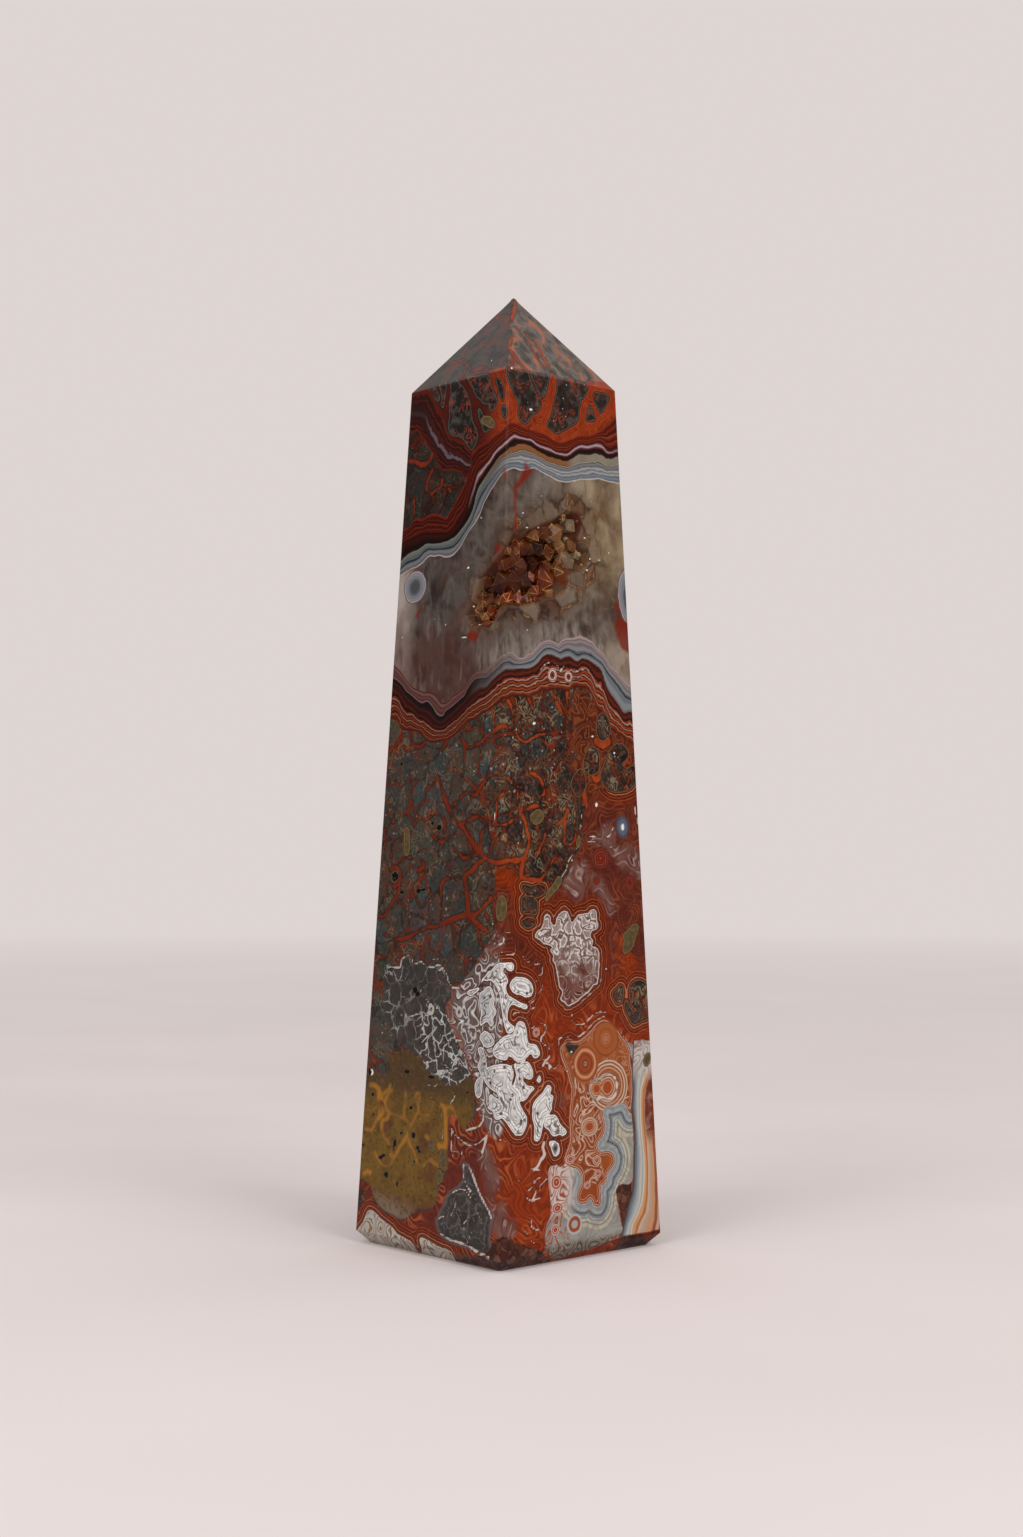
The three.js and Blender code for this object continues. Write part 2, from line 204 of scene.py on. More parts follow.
# The dark cells in it
CELLS = [
    [(0, 99.6), (2.9, 99.4), (3.4, 98.3), (3.9, 97.4), (4.6, 96.5), (5.2, 95.9), (5.2, 95.2), (4.7, 94.5),
     (3.9, 94.1), (3.5, 93.6), (3.1, 93.0), (2.6, 92.9), (2.0, 93.1), (1.6, 93.8), (1.7, 94.8), (1.5, 95.5),
     (1.0, 96.0), (0.6, 96.7), (0.2, 97.3), (-0.2, 98.2)],
    [(3.5, 99.6), (6.3, 99.6), (6.2, 97.9), (5.9, 96.8), (5.6, 96.3), (5.1, 96.5), (4.4, 97.3), (3.7, 98.2)],
    [(7.5, 99.6), (9.0, 99.6), (9.8, 98.4), (10.5, 97.5), (11.2, 97.0), (11.4, 96.6), (11.2, 96),
     (11.1, 95.3), (11.0, 94.6), (10.4, 93.9), (9.4, 93.3), (8.6, 92.9), (8.0, 92.5), (7.3, 92.5),
     (6.5, 92.8), (6.0, 93.1), (6.3, 93.8), (6.8, 94.8), (7.0, 95.8), (7.3, 96.8), (7.5, 97.8)],
    [(10.0, 99.6), (12.0, 99.6), (12.5, 98.4), (12.2, 97.7), (11.6, 97.0), (11.1, 97.3), (10.5, 98.0)],
    [(12.1, 94.9), (12.3, 95.6), (12.7, 96.5), (13.1, 96.4), (13.4, 95.6), (13.8, 94.9), (13.0, 94.6),
     (12.4, 94.5)],
    [(13.4, 98.1), (14.5, 98.3), (15.8, 98.1), (15.9, 97.6), (15.4, 96.8), (14.9, 96.0), (14.3, 95.8),
     (13.8, 96.6), (13.3, 97.4)],
    [(-9.9, 99.4), (-9.0, 99.4), (-8.0, 98.5), (-7.2, 97.7), (-6.6, 96.8), (-6.1, 95.6), (-6.0, 94.6),
     (-5.6, 93.5), (-5.0, 92.6), (-4.8, 92.0), (-5.0, 91.4), (-5.5, 90.7), (-6.0, 90.4), (-6.5, 90.8),
     (-7.0, 91.3), (-7.5, 91.9), (-8.4, 92.3), (-9.3, 92.5), (-9.8, 93), (-10.2, 93.8), (-10.0, 94.8),
     (-10.1, 95.7), (-10.0, 96.8), (-9.8, 97.7)],
    [(-7.1, 99.3), (-5.5, 99.0), (-3.2, 98.8), (-2.9, 98.2), (-2.5, 97.2), (-1.9, 96.2), (-1.6, 95.3),
     (-2.0, 95.0), (-3.0, 95.2), (-4.0, 95.4), (-4.6, 95.9), (-5.4, 96.6), (-6.0, 97.6), (-6.6, 98.3)],
    [(-2.1, 97.9), (-1.6, 98.1), (-0.9, 97.4), (-0.5, 96.4), (-0.5, 95.5), (-0.9, 95.2), (-1.3, 96.0),
     (-1.7, 96.9)],
    [(-5.0, 94.9), (-4.6, 95.1), (-4.1, 94.4), (-3.6, 93.9), (-2.6, 93.6), (-2.1, 92.9), (-2.4, 92.4),
     (-3.1, 92.2), (-3.5, 92.0), (-4.0, 92.3), (-4.4, 93.1), (-4.8, 94.0)],
    [(-3.2, 95.05), (-2.1, 95.1), (-2.1, 94.5), (-2.7, 94.3), (-3.1, 94.6)],
    [(-1.0, 94.7), (-0.5, 94.8), (0, 94.2), (0, 93.4), (-0.5, 93.2), (-0.9, 93.8)],
    [(-13.0, 98.8), (-12.4, 98.8), (-12.0, 98.2), (-11.7, 97.6), (-11.7, 97.1), (-12.1, 97.0), (-12.6, 97.5)],
    [(-11.9, 99.2), (-10.5, 99.2), (-10.6, 97.5), (-11.0, 96), (-11.5, 96.5), (-11.4, 97.5)],
]

# Red veins through the dark stone: half of the width, then the way
VEINS = [
    (0.20, [(-20.3, 56.6), (-19.2, 57.2), (-18.2, 58.0), (-17.4, 58.6)]),
    (0.17, [(-16.2, 58.7), (-15.9, 57.8), (-15.4, 57.2), (-14.6, 57.1), (-13.9, 57.2), (-13.5, 57.7)]),
    (0.14, [(-12.9, 55.2), (-11.8, 55.7), (-10.8, 56.3), (-10, 57.1), (-9.6, 57.6)]),
    (0.18, [(-11.1, 53.5), (-12, 52.7), (-13, 52.2), (-13.3, 51.3), (-13.8, 50.6), (-14.3, 50.2)]),
    (0.27, [(-11.1, 53.5), (-10.6, 52.6), (-10.0, 51.4), (-9.4, 50.4), (-8.8, 49.4), (-7.9, 48.6),
            (-7.2, 48.2)]),
    (0.17, [(-7.2, 48.2), (-6.2, 48.4), (-5.2, 48.7), (-4.4, 48.9), (-3.6, 48.6), (-2.7, 48.1), (-1.3, 48.1),
            (0, 48), (0.8, 48.2), (1.5, 48.6), (2.4, 49.2)]),
    (0.33, [(-7.2, 48.2), (-6.4, 47.4), (-5.7, 46.7), (-5, 46.1), (-4.3, 45.4), (-3.6, 44.9), (-2.8, 44.4),
            (-2, 44.1), (-1.2, 43.9), (0, 44), (0.8, 44.1), (2, 44.1), (2.8, 44.3), (3.4, 44.9), (3.8, 45.7),
            (3.9, 46.5), (3.6, 47.2), (3.3, 48.2), (3.0, 48.9), (2.5, 49.6)]),
    (0.22, [(-3.4, 45.2), (-3.7, 46.2), (-3.3, 47.3), (-2.9, 48.0)]),
    (0.16, [(-7.2, 48.2), (-7.8, 47.4), (-8.7, 46.8), (-9.5, 46.5), (-10.2, 46.2), (-11, 46.3), (-11.8, 46.8),
            (-12.1, 47.1)]),
    (0.14, [(-12.3, 49), (-11.3, 49.3), (-10.5, 49.1), (-9.9, 48.6), (-9.7, 47.8), (-9.9, 47.2)]),
    (0.10, [(-10.2, 46.2), (-10.4, 45.6), (-11, 45.1)]),
    (0.17, [(-8.4, 45.8), (-7.8, 45.2), (-7.2, 44.8), (-6.4, 44.4), (-5.4, 44.5), (-4.4, 44.7),
            (-3.6, 44.9)]),
    (0.33, [(-2.8, 44.4), (-4, 43.8), (-4.8, 43.2), (-5.6, 42.7), (-6.3, 42.3), (-6.1, 41.3), (-5.9, 40.3),
            (-5.7, 39), (-5.6, 38.2)]),
    (0.14, [(-10.2, 41.5), (-9.6, 42), (-8.6, 42.2), (-7.6, 42.2), (-6.8, 42.1)]),
    (0.22, [(-7.2, 58), (-6.8, 57.4), (-6.4, 57), (-5.8, 56.6), (-5.2, 56.8), (-4.4, 57), (-3.6, 57.3),
            (-3.1, 57.7), (-2.4, 58.1), (-1.6, 58.3), (-0.9, 58.7), (0, 58.8), (0.9, 58.7), (1.4, 59.2),
            (1.3, 60.2), (1.0, 61.1), (0.6, 61.6)]),
    (0.14, [(-6.5, 56.8), (-6.6, 55.6), (-6.5, 54.4), (-6.8, 53.6)]),
    (0.18, [(-8.3, 50.3), (-7.5, 50.8), (-6.8, 51.4), (-6, 51.6), (-5.2, 51.5), (-4.5, 51.2), (-4.1, 51.8),
            (-3.6, 52.4), (-3, 52.9), (-2.7, 53.8), (-2.2, 54.5), (-1.6, 55.2), (-1, 56), (-0.3, 56.6)]),
    (0.14, [(-1.0, 53.5), (0, 53.4), (0.6, 53.2)]),
    (0.16, [(-1.4, 48.4), (-1.1, 49.4), (-1.1, 50.4), (-0.7, 51), (0, 51.4)]),
    (0.11, [(-2.5, 50), (-3.5, 49.8), (-4.2, 49.3)]),
    (0.30, [(-13.5, 36.3), (-12.3, 36.6), (-11, 36.7), (-10, 37), (-8.8, 37.4), (-7.6, 37.7), (-6.5, 38),
            (-5.6, 38.1), (-4.8, 38.1), (-3.8, 38.5), (-2.8, 39.2), (-1.8, 40)]),
    (0.22, [(-13.5, 36.3), (-14.6, 35.9), (-15.8, 35.4), (-17, 35.1), (-18.3, 34.9), (-18.4, 34.2),
            (-18.2, 33.4)]),
    (0.14, [(-18.3, 34.9), (-19, 35.2), (-19.8, 35.4), (-20.5, 35.6)]),
    (0.18, [(-22, 37.5), (-21, 37.5), (-20.2, 37.9), (-19.8, 38.6), (-19.3, 38.8), (-18.8, 39.6), (-18, 40.3),
            (-17.7, 41), (-17.8, 42)]),
    (0.16, [(-21, 39), (-20.5, 39.8), (-19.5, 40.2), (-18.8, 40.6)]),
    (0.18, [(-19.5, 41.6), (-18.7, 41.1), (-17.9, 41.5), (-17.6, 42.3), (-18, 43.1), (-18.8, 43.3),
            (-19.5, 42.9)]),
    (0.13, [(-12.2, 40.8), (-12.8, 39.8), (-13.5, 38.6), (-14.3, 39.3), (-15, 40.2), (-15.5, 41)]),
    (0.14, [(-14.2, 37.8), (-13, 37.4), (-12, 37.0)]),
    (0.14, [(-16.5, 37.8), (-16.8, 38.8), (-17.5, 39.3), (-18.5, 39.6)]),
    (0.10, [(-8.3, 37.3), (-8.2, 36.2), (-8, 35.2)]),
    (0.11, [(-7.8, 35.9), (-6.8, 36.1), (-5.8, 36.8), (-5.2, 37.9), (-4.4, 36.8), (-3.7, 35.8),
            (-3.5, 34.9)]),
    (0.24, [(-5, 38), (-4, 37.2), (-2.9, 36.6), (-2, 36.2), (-1.3, 36)]),
    (0.14, [(-2.8, 38.4), (-2.2, 37.6), (-1.8, 37)]),
    (0.18, [(-10.2, 37), (-10.3, 38.2), (-10.2, 39.5), (-10.4, 40.8), (-10.2, 41.5)]),
    (0.14, [(-17.7, 43.9), (-16.8, 44.4), (-16, 44.4), (-15.5, 44.3)]),
    (0.16, [(-21, 46), (-20.3, 46.2), (-19.6, 46.7)]),
    (0.18, [(-19.3, 44.6), (-19.4, 45.6), (-19.2, 46)]),
    (0.14, [(-19.5, 48.8), (-19, 48.5), (-18.9, 49.4)]),
    (0.30, [(-13.8, 44), (-13.5, 43.4), (-14.3, 43)]),
    (0.16, [(1.4, 58.6), (2.0, 57.9), (2.6, 57.3), (3.4, 57.2), (4.4, 57.7), (5.2, 58), (6.2, 58.2)]),
    (0.14, [(3.6, 62), (4.1, 61.2), (4.6, 60.5), (5.2, 59.8), (5.8, 59.2)]),
    (0.18, [(7.3, 63), (7.7, 62.3), (8.2, 61.4), (8.7, 60.7), (9.2, 60), (9.8, 59.3)]),
    (0.18, [(9.5, 63), (9.5, 62), (9.6, 61.3)]),
    (0.14, [(0, 56.9), (1, 56.6), (1.8, 56), (2.6, 55.9)]),
    (0.14, [(3.7, 56.2), (4, 56.9)]),
    (0.22, [(0.5, 53.2), (1.5, 52.6), (2.3, 52), (2.1, 51.2), (2.3, 50.5), (2.6, 49.8), (3.3, 49.7),
            (4.2, 50), (5.4, 50.3)]),
    (0.18, [(4.0, 53.8), (5, 53.5), (5.6, 53), (6, 52.3), (6.2, 51.6), (5.8, 51.3)]),
    (0.38, [(3.4, 44.5), (3, 43.8), (2.8, 43.2), (2.8, 42.4), (3.6, 42), (4.6, 41.9), (5.6, 41.8)]),
    (0.12, [(3.9, 47.8), (4.8, 47.8), (5.8, 48), (6.5, 48.6), (6.7, 49.4), (6.4, 49.9)]),
    (0.17, [(6.3, 47.2), (7.2, 47.5), (8, 48), (9, 48.7), (9.5, 49.5), (9.8, 49.9)]),
    (0.12, [(5.2, 44.8), (5.5, 45.5), (6, 46.2), (6.4, 47.0), (6.5, 47.5)]),
    (0.14, [(6, 42.3), (6.8, 43.2), (7.6, 44.2), (8.4, 44.8)]),
    (0.22, [(9.8, 49.8), (9.4, 49), (9.3, 48), (9.4, 47), (9.2, 46.2), (9.2, 45.7), (10, 45.8), (10.8, 46.3),
            (11, 47)]),
    (0.30, [(12.1, 52), (12.4, 51), (12.8, 50)]),
    (0.28, [(14.6, 55.5), (14.8, 54.2)]),
    (0.30, [(17.8, 55.4), (18.6, 55), (19.2, 55.7), (19.5, 55.2)]),
    (0.45, [(14.1, 57.7), (15.2, 57.2), (16.0, 57.7)]),
    (0.30, [(13.6, 53.6), (14.1, 53.2), (14.6, 53.5)]),
    (0.15, [(-13.2, 90.3), (-12.9, 89.2), (-13.8, 87.7), (-13.6, 86.7), (-13, 86.3), (-12.8, 85.6),
            (-13.4, 84.8), (-14.2, 84)]),
    (0.14, [(-13, 86.3), (-12, 86.7), (-11.3, 86.9), (-11, 87.8)]),
    (0.30, [(-17, 90.8), (-15.5, 90.3), (-14.2, 90.0), (-13.2, 90.4), (-12.8, 91.2)]),
    (0.16, [(-9.9, 86.5), (-9.6, 86.2)]),
    (0.12, [(-16.3, 86.5), (-16, 85.2), (-16.2, 84.4)]),
    (0.16, [(0.2, 101.6), (1.4, 100.4), (3.3, 98.6)]),
    (0.20, [(7.2, 98.6), (6.4, 99.8), (5.4, 101.4), (4.2, 103.2), (2.2, 104.7)]),
    (0.14, [(6.4, 99.3), (4.3, 101.3), (2.6, 103.5), (1.4, 104.8)]),
    (0.22, [(12.2, 98.6), (13, 99.4), (14.8, 98.9), (16.6, 98.5)]),
    (0.25, [(0.2, 110), (0.3, 108.5), (0.1, 107.2), (0, 106.4)]),
    (0.12, [(0.1, 104.6), (0.3, 103.4), (0.2, 102.4)]),
    (0.20, [(13.4, 101.2), (15.0, 100.2), (16.6, 99.2)]),
    (0.22, [(-8.0, 98.6), (-7.6, 99.6), (-7.2, 101.3), (-6.6, 100.4), (-6.2, 99.8), (-4.8, 99.9),
            (-3.4, 99.5), (-1.8, 98.8)]),
    (0.16, [(-7.2, 101.3), (-8.2, 101.9), (-9.6, 102.0), (-11.2, 101.8), (-12.4, 101.9)]),
    (0.12, [(-7.2, 101.2), (-5.6, 102.6), (-4.0, 103.8), (-2.6, 105.4)]),
    (0.20, [(-4.4, 107.0), (-2.2, 107.4), (-0.3, 107.6)]),
]

# Dark cells that lie in the red and orange stone of the right face
ISLANDS = [
    [(2.9, 41.3), (3.5, 41.4), (4.3, 41.2), (5.3, 41.4), (6.2, 41.2), (6.3, 40.7), (5.5, 40.2), (4.5, 40.3),
     (3.5, 40.6)],
    [(3.0, 40.0), (4.0, 40.1), (5.0, 39.6), (5.1, 38.9), (4.9, 38.3), (3.9, 38.4), (3.1, 38.5), (2.9, 39.3)],
    [(2.9, 37.4), (3.5, 37.7), (4.5, 37.7), (4.9, 37.4), (4.5, 37.0), (3.9, 36.8), (3.4, 37.0)],
    [(17.0, 29.0), (17.6, 29.4), (18.4, 29.8), (18.6, 28.8), (18.4, 28.1), (17.8, 27.9), (17.3, 28.3)],
    [(19.7, 28.9), (19.9, 29.7), (20.6, 30.2), (21.4, 30.2), (22.2, 29.9), (22.5, 29.2), (22.0, 28.6),
     (21.5, 28.0), (21.1, 27.3), (20.5, 27.2), (20.0, 27.8)],
    [(21.3, 27.3), (21.9, 28.2), (22.6, 28.9), (23.4, 29.0), (24.4, 28.2), (24.2, 26.6), (23.2, 26.0),
     (22.0, 25.8), (21.0, 25.5), (20.3, 25.4), (19.6, 26.2), (19.0, 27.2), (19.1, 28.0), (19.7, 27.2),
     (20.4, 26.6)],
    [(9.7, 23.6), (10.2, 23.9), (10.9, 23.5), (11.6, 23.5), (11.2, 23.0), (10.8, 22.6), (10.2, 22.8)],
    [(14.4, 58.3), (14.2, 59.6), (14.6, 60.6), (15.4, 60.8), (16.1, 59.9), (16.2, 58.7), (15.6, 58.0),
     (14.9, 57.9)],
    [(15.6, 55.2), (16.2, 56.4), (17.4, 57.4), (18.6, 57.2), (19.3, 56.2), (18.2, 55.2), (19.0, 54.6),
     (20.3, 54.9), (20.4, 53.2), (19.4, 52.3), (17.2, 52.0), (15.6, 52.6), (14.9, 53.8)],
    [(12.2, 55.0), (13.0, 56.8), (14.2, 56.6), (14.6, 55.4), (14.4, 54.2), (13.0, 53.9)],
    [(10.3, 52.8), (11.6, 54.3), (12.4, 53.2), (12.2, 52.0), (11.2, 51.4)],
    [(26.5, 34.0), (28.2, 35.2), (29.6, 34.2), (29.0, 32.2), (27.2, 31.8)],
    [(31.0, 26.0), (33.2, 27.6), (34.6, 26.2), (33.6, 23.8), (31.6, 24.0)],
]

# The rusty haze at the right of the dark stone
WARM = [
    [(10.6, 62.8), (12.2, 63.4), (14.0, 62.2), (17.0, 60.8), (20.0, 58.8), (21.5, 57.5), (21.5, 51.5),
     (19.0, 50.4), (15.5, 50.2), (13.2, 49.0), (12.4, 50.9), (11.2, 51.8), (12.2, 53.4), (10.2, 54.6),
     (11.0, 56.2), (9.4, 57.6), (10.6, 59.2), (9.0, 60.4), (10.4, 61.4)],
    [(0.2, 44.2), (2.4, 44.0), (3.6, 42.9), (3.0, 41.6), (1.2, 40.9), (0.1, 41.4), (-0.6, 42.8)],
    [(28.0, 58.0), (30.0, 61.0), (33.0, 60.0), (32.0, 55.0), (29.0, 54.0)],
]

# The grey ground of the white patches on the left face
GREY_GROUND = [
    [(-6.8, 30.5), (-4.0, 32.8), (-1.2, 33.8), (0.4, 32.6), (0.3, 24.0), (0.4, 15.4), (-1.8, 15.0),
     (-3.4, 17.5), (-4.6, 21.0), (-6.2, 24.5), (-7.8, 28.0)],
]
# Plain lobes of the orange stone: across, height, half of the width, half of the height
LOBES = [
    (16.6, 10.4, 1.35, 1.25), (13.2, 6.9, 1.9, 1.2), (14.9, 6.2, 0.9, 1.4), (12.7, 21.4, 2.4, 2.2),
    (15.9, 24, 2, 2),
]

# The red-brown stone: the lower right face, round the bottom and on to the hidden faces
JASPER = [
    [(20.8, 57.2), (20.1, 57.0), (20.2, 55.2), (19.9, 53.4), (19.0, 52.2), (17.5, 51.8), (16, 51.9),
     (14.6, 52.0), (13.6, 51.4), (12.8, 50.2), (12.2, 49.4), (12.1, 47.5), (11.9, 46), (11.3, 45),
     (10.5, 44.1), (10.1, 43), (9.3, 42.2), (8.7, 41.3), (7.6, 41.6), (6.4, 41.8), (5.4, 41.6), (4.2, 41.8),
     (2.6, 42.2), (1.2, 43.0), (0.2, 43.4), (-1.0, 43.4), (-1.2, 42.0), (-1.4, 40.4), (-1.6, 38.6),
     (-1.2, 37.0), (-1.3, 36.0), (-2.4, 34.9), (-4.0, 33.2), (-5.4, 31.6), (-6.8, 30.5), (-8.3, 29.9),
     (-8.4, 28.9), (-9.0, 28.2), (-9.3, 27.0), (-8.4, 25.4), (-7.5, 24.5), (-6.6, 23.4), (-5.8, 22.0),
     (-4.9, 21), (-4.4, 20), (-4.0, 18.5), (-3.7, 17), (-4.2, 16.3), (-5.2, 15.2), (-6.0, 14.7), (-6.8, 15.4),
     (-7.6, 16.1), (-8.3, 16.0), (-8.6, 15.0), (-8.6, 12.0), (-8.5, 10.4), (-9.2, 9.4), (-9.8, 8.2),
     (-10.4, 6.6), (-11.0, 5.6), (-12.2, 5.2), (-14.2, 4.8), (-15.4, 3.9), (-16.6, 3.5), (-18.2, 3.8),
     (-20.0, 4.2), (-21.6, 5.2), (-22.2, 6.4), (-23.4, 7.0), (-25.0, 7.2), (-30, 6.0), (-38, 9.0),
     (-44, 14.0), (-50, 22.0), (-54, -2.0), (0, -2.0), (54, -2.0), (50, 22.0), (44, 36.0), (38, 44.0),
     (32, 49.0), (26, 55.0)],
]

# The pale mauve lace in the red-brown stone
MAUVE = [
    [(-1.4, 36.0), (-2.6, 34.7), (-4.2, 33.0), (-5.6, 31.4), (-6.8, 30.3), (-8.2, 29.7), (-8.6, 28.4),
     (-9.2, 27.2), (-8.4, 25.6), (-7.5, 24.6), (-6.6, 23.4), (-5.8, 22.4), (-4.6, 21.6), (-3.6, 23.0),
     (-3.4, 26.0), (-3.6, 28.6), (-2.6, 30.8), (-0.8, 32.6), (0.4, 34.6), (0, 36.2)],
    [(9.2, 41.4), (9.8, 42.8), (10.6, 43.8), (11.6, 43.4), (12.4, 43.9), (13.2, 42.8), (12.8, 41.4),
     (12.2, 40.0), (11.2, 39.4), (10.2, 40.4)],
    [(13.0, 46.6), (14.4, 47.2), (16.6, 48.4), (17.0, 47.0), (17.6, 45.6), (19.2, 46.0), (20.6, 45.4),
     (21.6, 43.6), (21.4, 42.0), (19.6, 43.0), (18.2, 43.2), (17.0, 44.8), (15.6, 45.8), (14.0, 45.9)],
    [(13.2, 42.4), (14.4, 42.4), (15.2, 41.6), (16.2, 40.6), (17.2, 38.8), (16.6, 37.8), (15.6, 38.8),
     (14.6, 40.4), (13.4, 41.2)],
    [(0, 10), (-0.6, 11.4), (-2.0, 13.0), (-3.4, 12.4), (-2.8, 10.6), (-2.2, 8.4), (-1.0, 7.0), (0.6, 7.6),
     (1.2, 5.6), (2.4, 5.4), (2.4, 4.4), (1.2, 3.6), (-0.8, 4.2), (-1.2, 6.4)],
    [(7.4, 17.9), (7.9, 18.3), (8.6, 18.6), (9.3, 18.4), (9.6, 17.9), (9.5, 17.2), (8.9, 16.9), (8.2, 17.0),
     (7.6, 17.3)],
    [(27.0, 22.0), (29.0, 24.0), (32.0, 23.0), (33.0, 19.0), (30.0, 17.4), (27.6, 19.0)],
    [(-33, 12.0), (-31, 15.0), (-28, 14.0), (-28, 11.0), (-31, 9.6)],
]

# The orange stone and its lace
ORANGE = [
    [(8.8, 23.5), (9.8, 24.1), (11.5, 24.1), (13, 24.8), (14.4, 25.8), (15.4, 26.2), (16.6, 25.9),
     (17.6, 25.1), (18.4, 24.2), (19.2, 23.4), (19.9, 22.4), (19.9, 21.2), (20.2, 19.8), (20.3, 18),
     (20.1, 16.4), (19.8, 15.2), (19.2, 16.2), (18.3, 16.6), (17, 16.4), (16, 16.5), (15.5, 15.7),
     (15.8, 14.5), (15.6, 13.3), (14.6, 12.3), (15.2, 11.5), (16.2, 11.5), (17.2, 11), (17.4, 10.1),
     (16.8, 9.3), (16.2, 8.8), (16.1, 8.1), (15.2, 7.5), (15.3, 6.2), (15, 5.5), (14.2, 5.7), (13.6, 6.5),
     (12.8, 6), (11.7, 6.3), (11.6, 7.2), (12.1, 8.1), (12.2, 9.1), (11.6, 9.9), (10.4, 10.3), (9.5, 11),
     (9.8, 12), (10.3, 13), (10.3, 14.2), (10.2, 15.5), (10.3, 17), (10.5, 18.5), (10.1, 19.8), (9.6, 21),
     (8.9, 22.3)],
    [(28, 16), (31, 18.6), (34.6, 17), (35.6, 12), (33, 8.4), (29.4, 9.8)],
]

# The blue-grey stone, banded from the orange one's outline outwards
BLUE_GREY = [
    [(13.6, 17.6), (14.8, 17.4), (15.4, 17.0), (17, 16.6), (18.9, 17.0), (19.9, 15.6), (20.2, 14.0),
     (20.4, 12), (20.3, 10), (20.3, 8), (19.6, 7.4), (18.3, 7.6), (17.6, 6.9), (18.0, 5.2), (18.4, 3.4),
     (18.8, 2.2), (16.8, 1.9), (14, 1.2), (11.4, 1.0), (8.6, 0.6), (7.4, 1.6), (6.8, 2.6), (6.9, 4.2),
     (7.6, 5.4), (7.5, 7.2), (7.2, 9.2), (7.3, 10.4), (8.4, 10.7), (9.2, 10.4), (11, 12), (13, 14)],
    [(18.2, 24.7), (19.4, 23.4), (21.0, 22.9), (23.2, 23.4), (24.6, 22.6), (24.0, 20.6), (22.6, 19.6),
     (21.4, 18.6), (20.4, 19.4), (20.2, 21.0), (19.7, 22.4)],
    [(26, 20), (30, 22.4), (36, 20), (38.6, 12), (35, 5), (28, 5), (26, 12)],
]

# Sets of round markings: across, height, half of the width, half of the height
RING_SETS = {
    "target": [(12.7, 21.4, 1.0, 1.0), (31.6, 13.4, 1.1, 1.1)],
    "peach": [(15.9, 24.0, 1.0, 1.0)],
    "pair": [(16.2, 18.5, 0.75, 0.75), (14.5, 18.5, 0.55, 0.55), (13.4, 14.4, 0.6, 0.48),
             (30.2, 15.6, 0.6, 0.6)],
    "bud": [(8.4, 8.8, 0.5, 0.5), (8.6, 6.0, 0.5, 0.36), (8.3, 3.7, 0.38, 0.35), (10.5, 11.1, 0.42, 0.3),
            (5.2, 25.3, 0.3, 0.3), (13.1, 8.0, 0.3, 0.25), (14.8, 9.1, 0.3, 0.28), (14.6, 10.6, 0.4, 0.3)],
    "eye": [(14.9, 44.3, 1.0, 0.85), (14.3, 41.8, 0.4, 0.35), (19.6, 41.5, 0.5, 0.7), (29.5, 42.0, 1.1, 1.0)],
    "loop": [(11.2, 3.95, 0.8, 0.75)],
    "pupil": [(7.2, 64.85, 0.52, 0.6), (9.7, 64.8, 0.46, 0.5)],
    "drop": [(8.2, 12.5, 0.42, 0.62)],
    "slate": [(-15.7, 75.7, 1.35, 1.3), (19.3, 74.7, 1.25, 2.3), (26.0, 79.0, 1.5, 1.4)],
    "night": [(18.4, 47.9, 0.72, 0.95)],
    "arch": [(16.4, 18.7, 0.75, 0.72)],
}

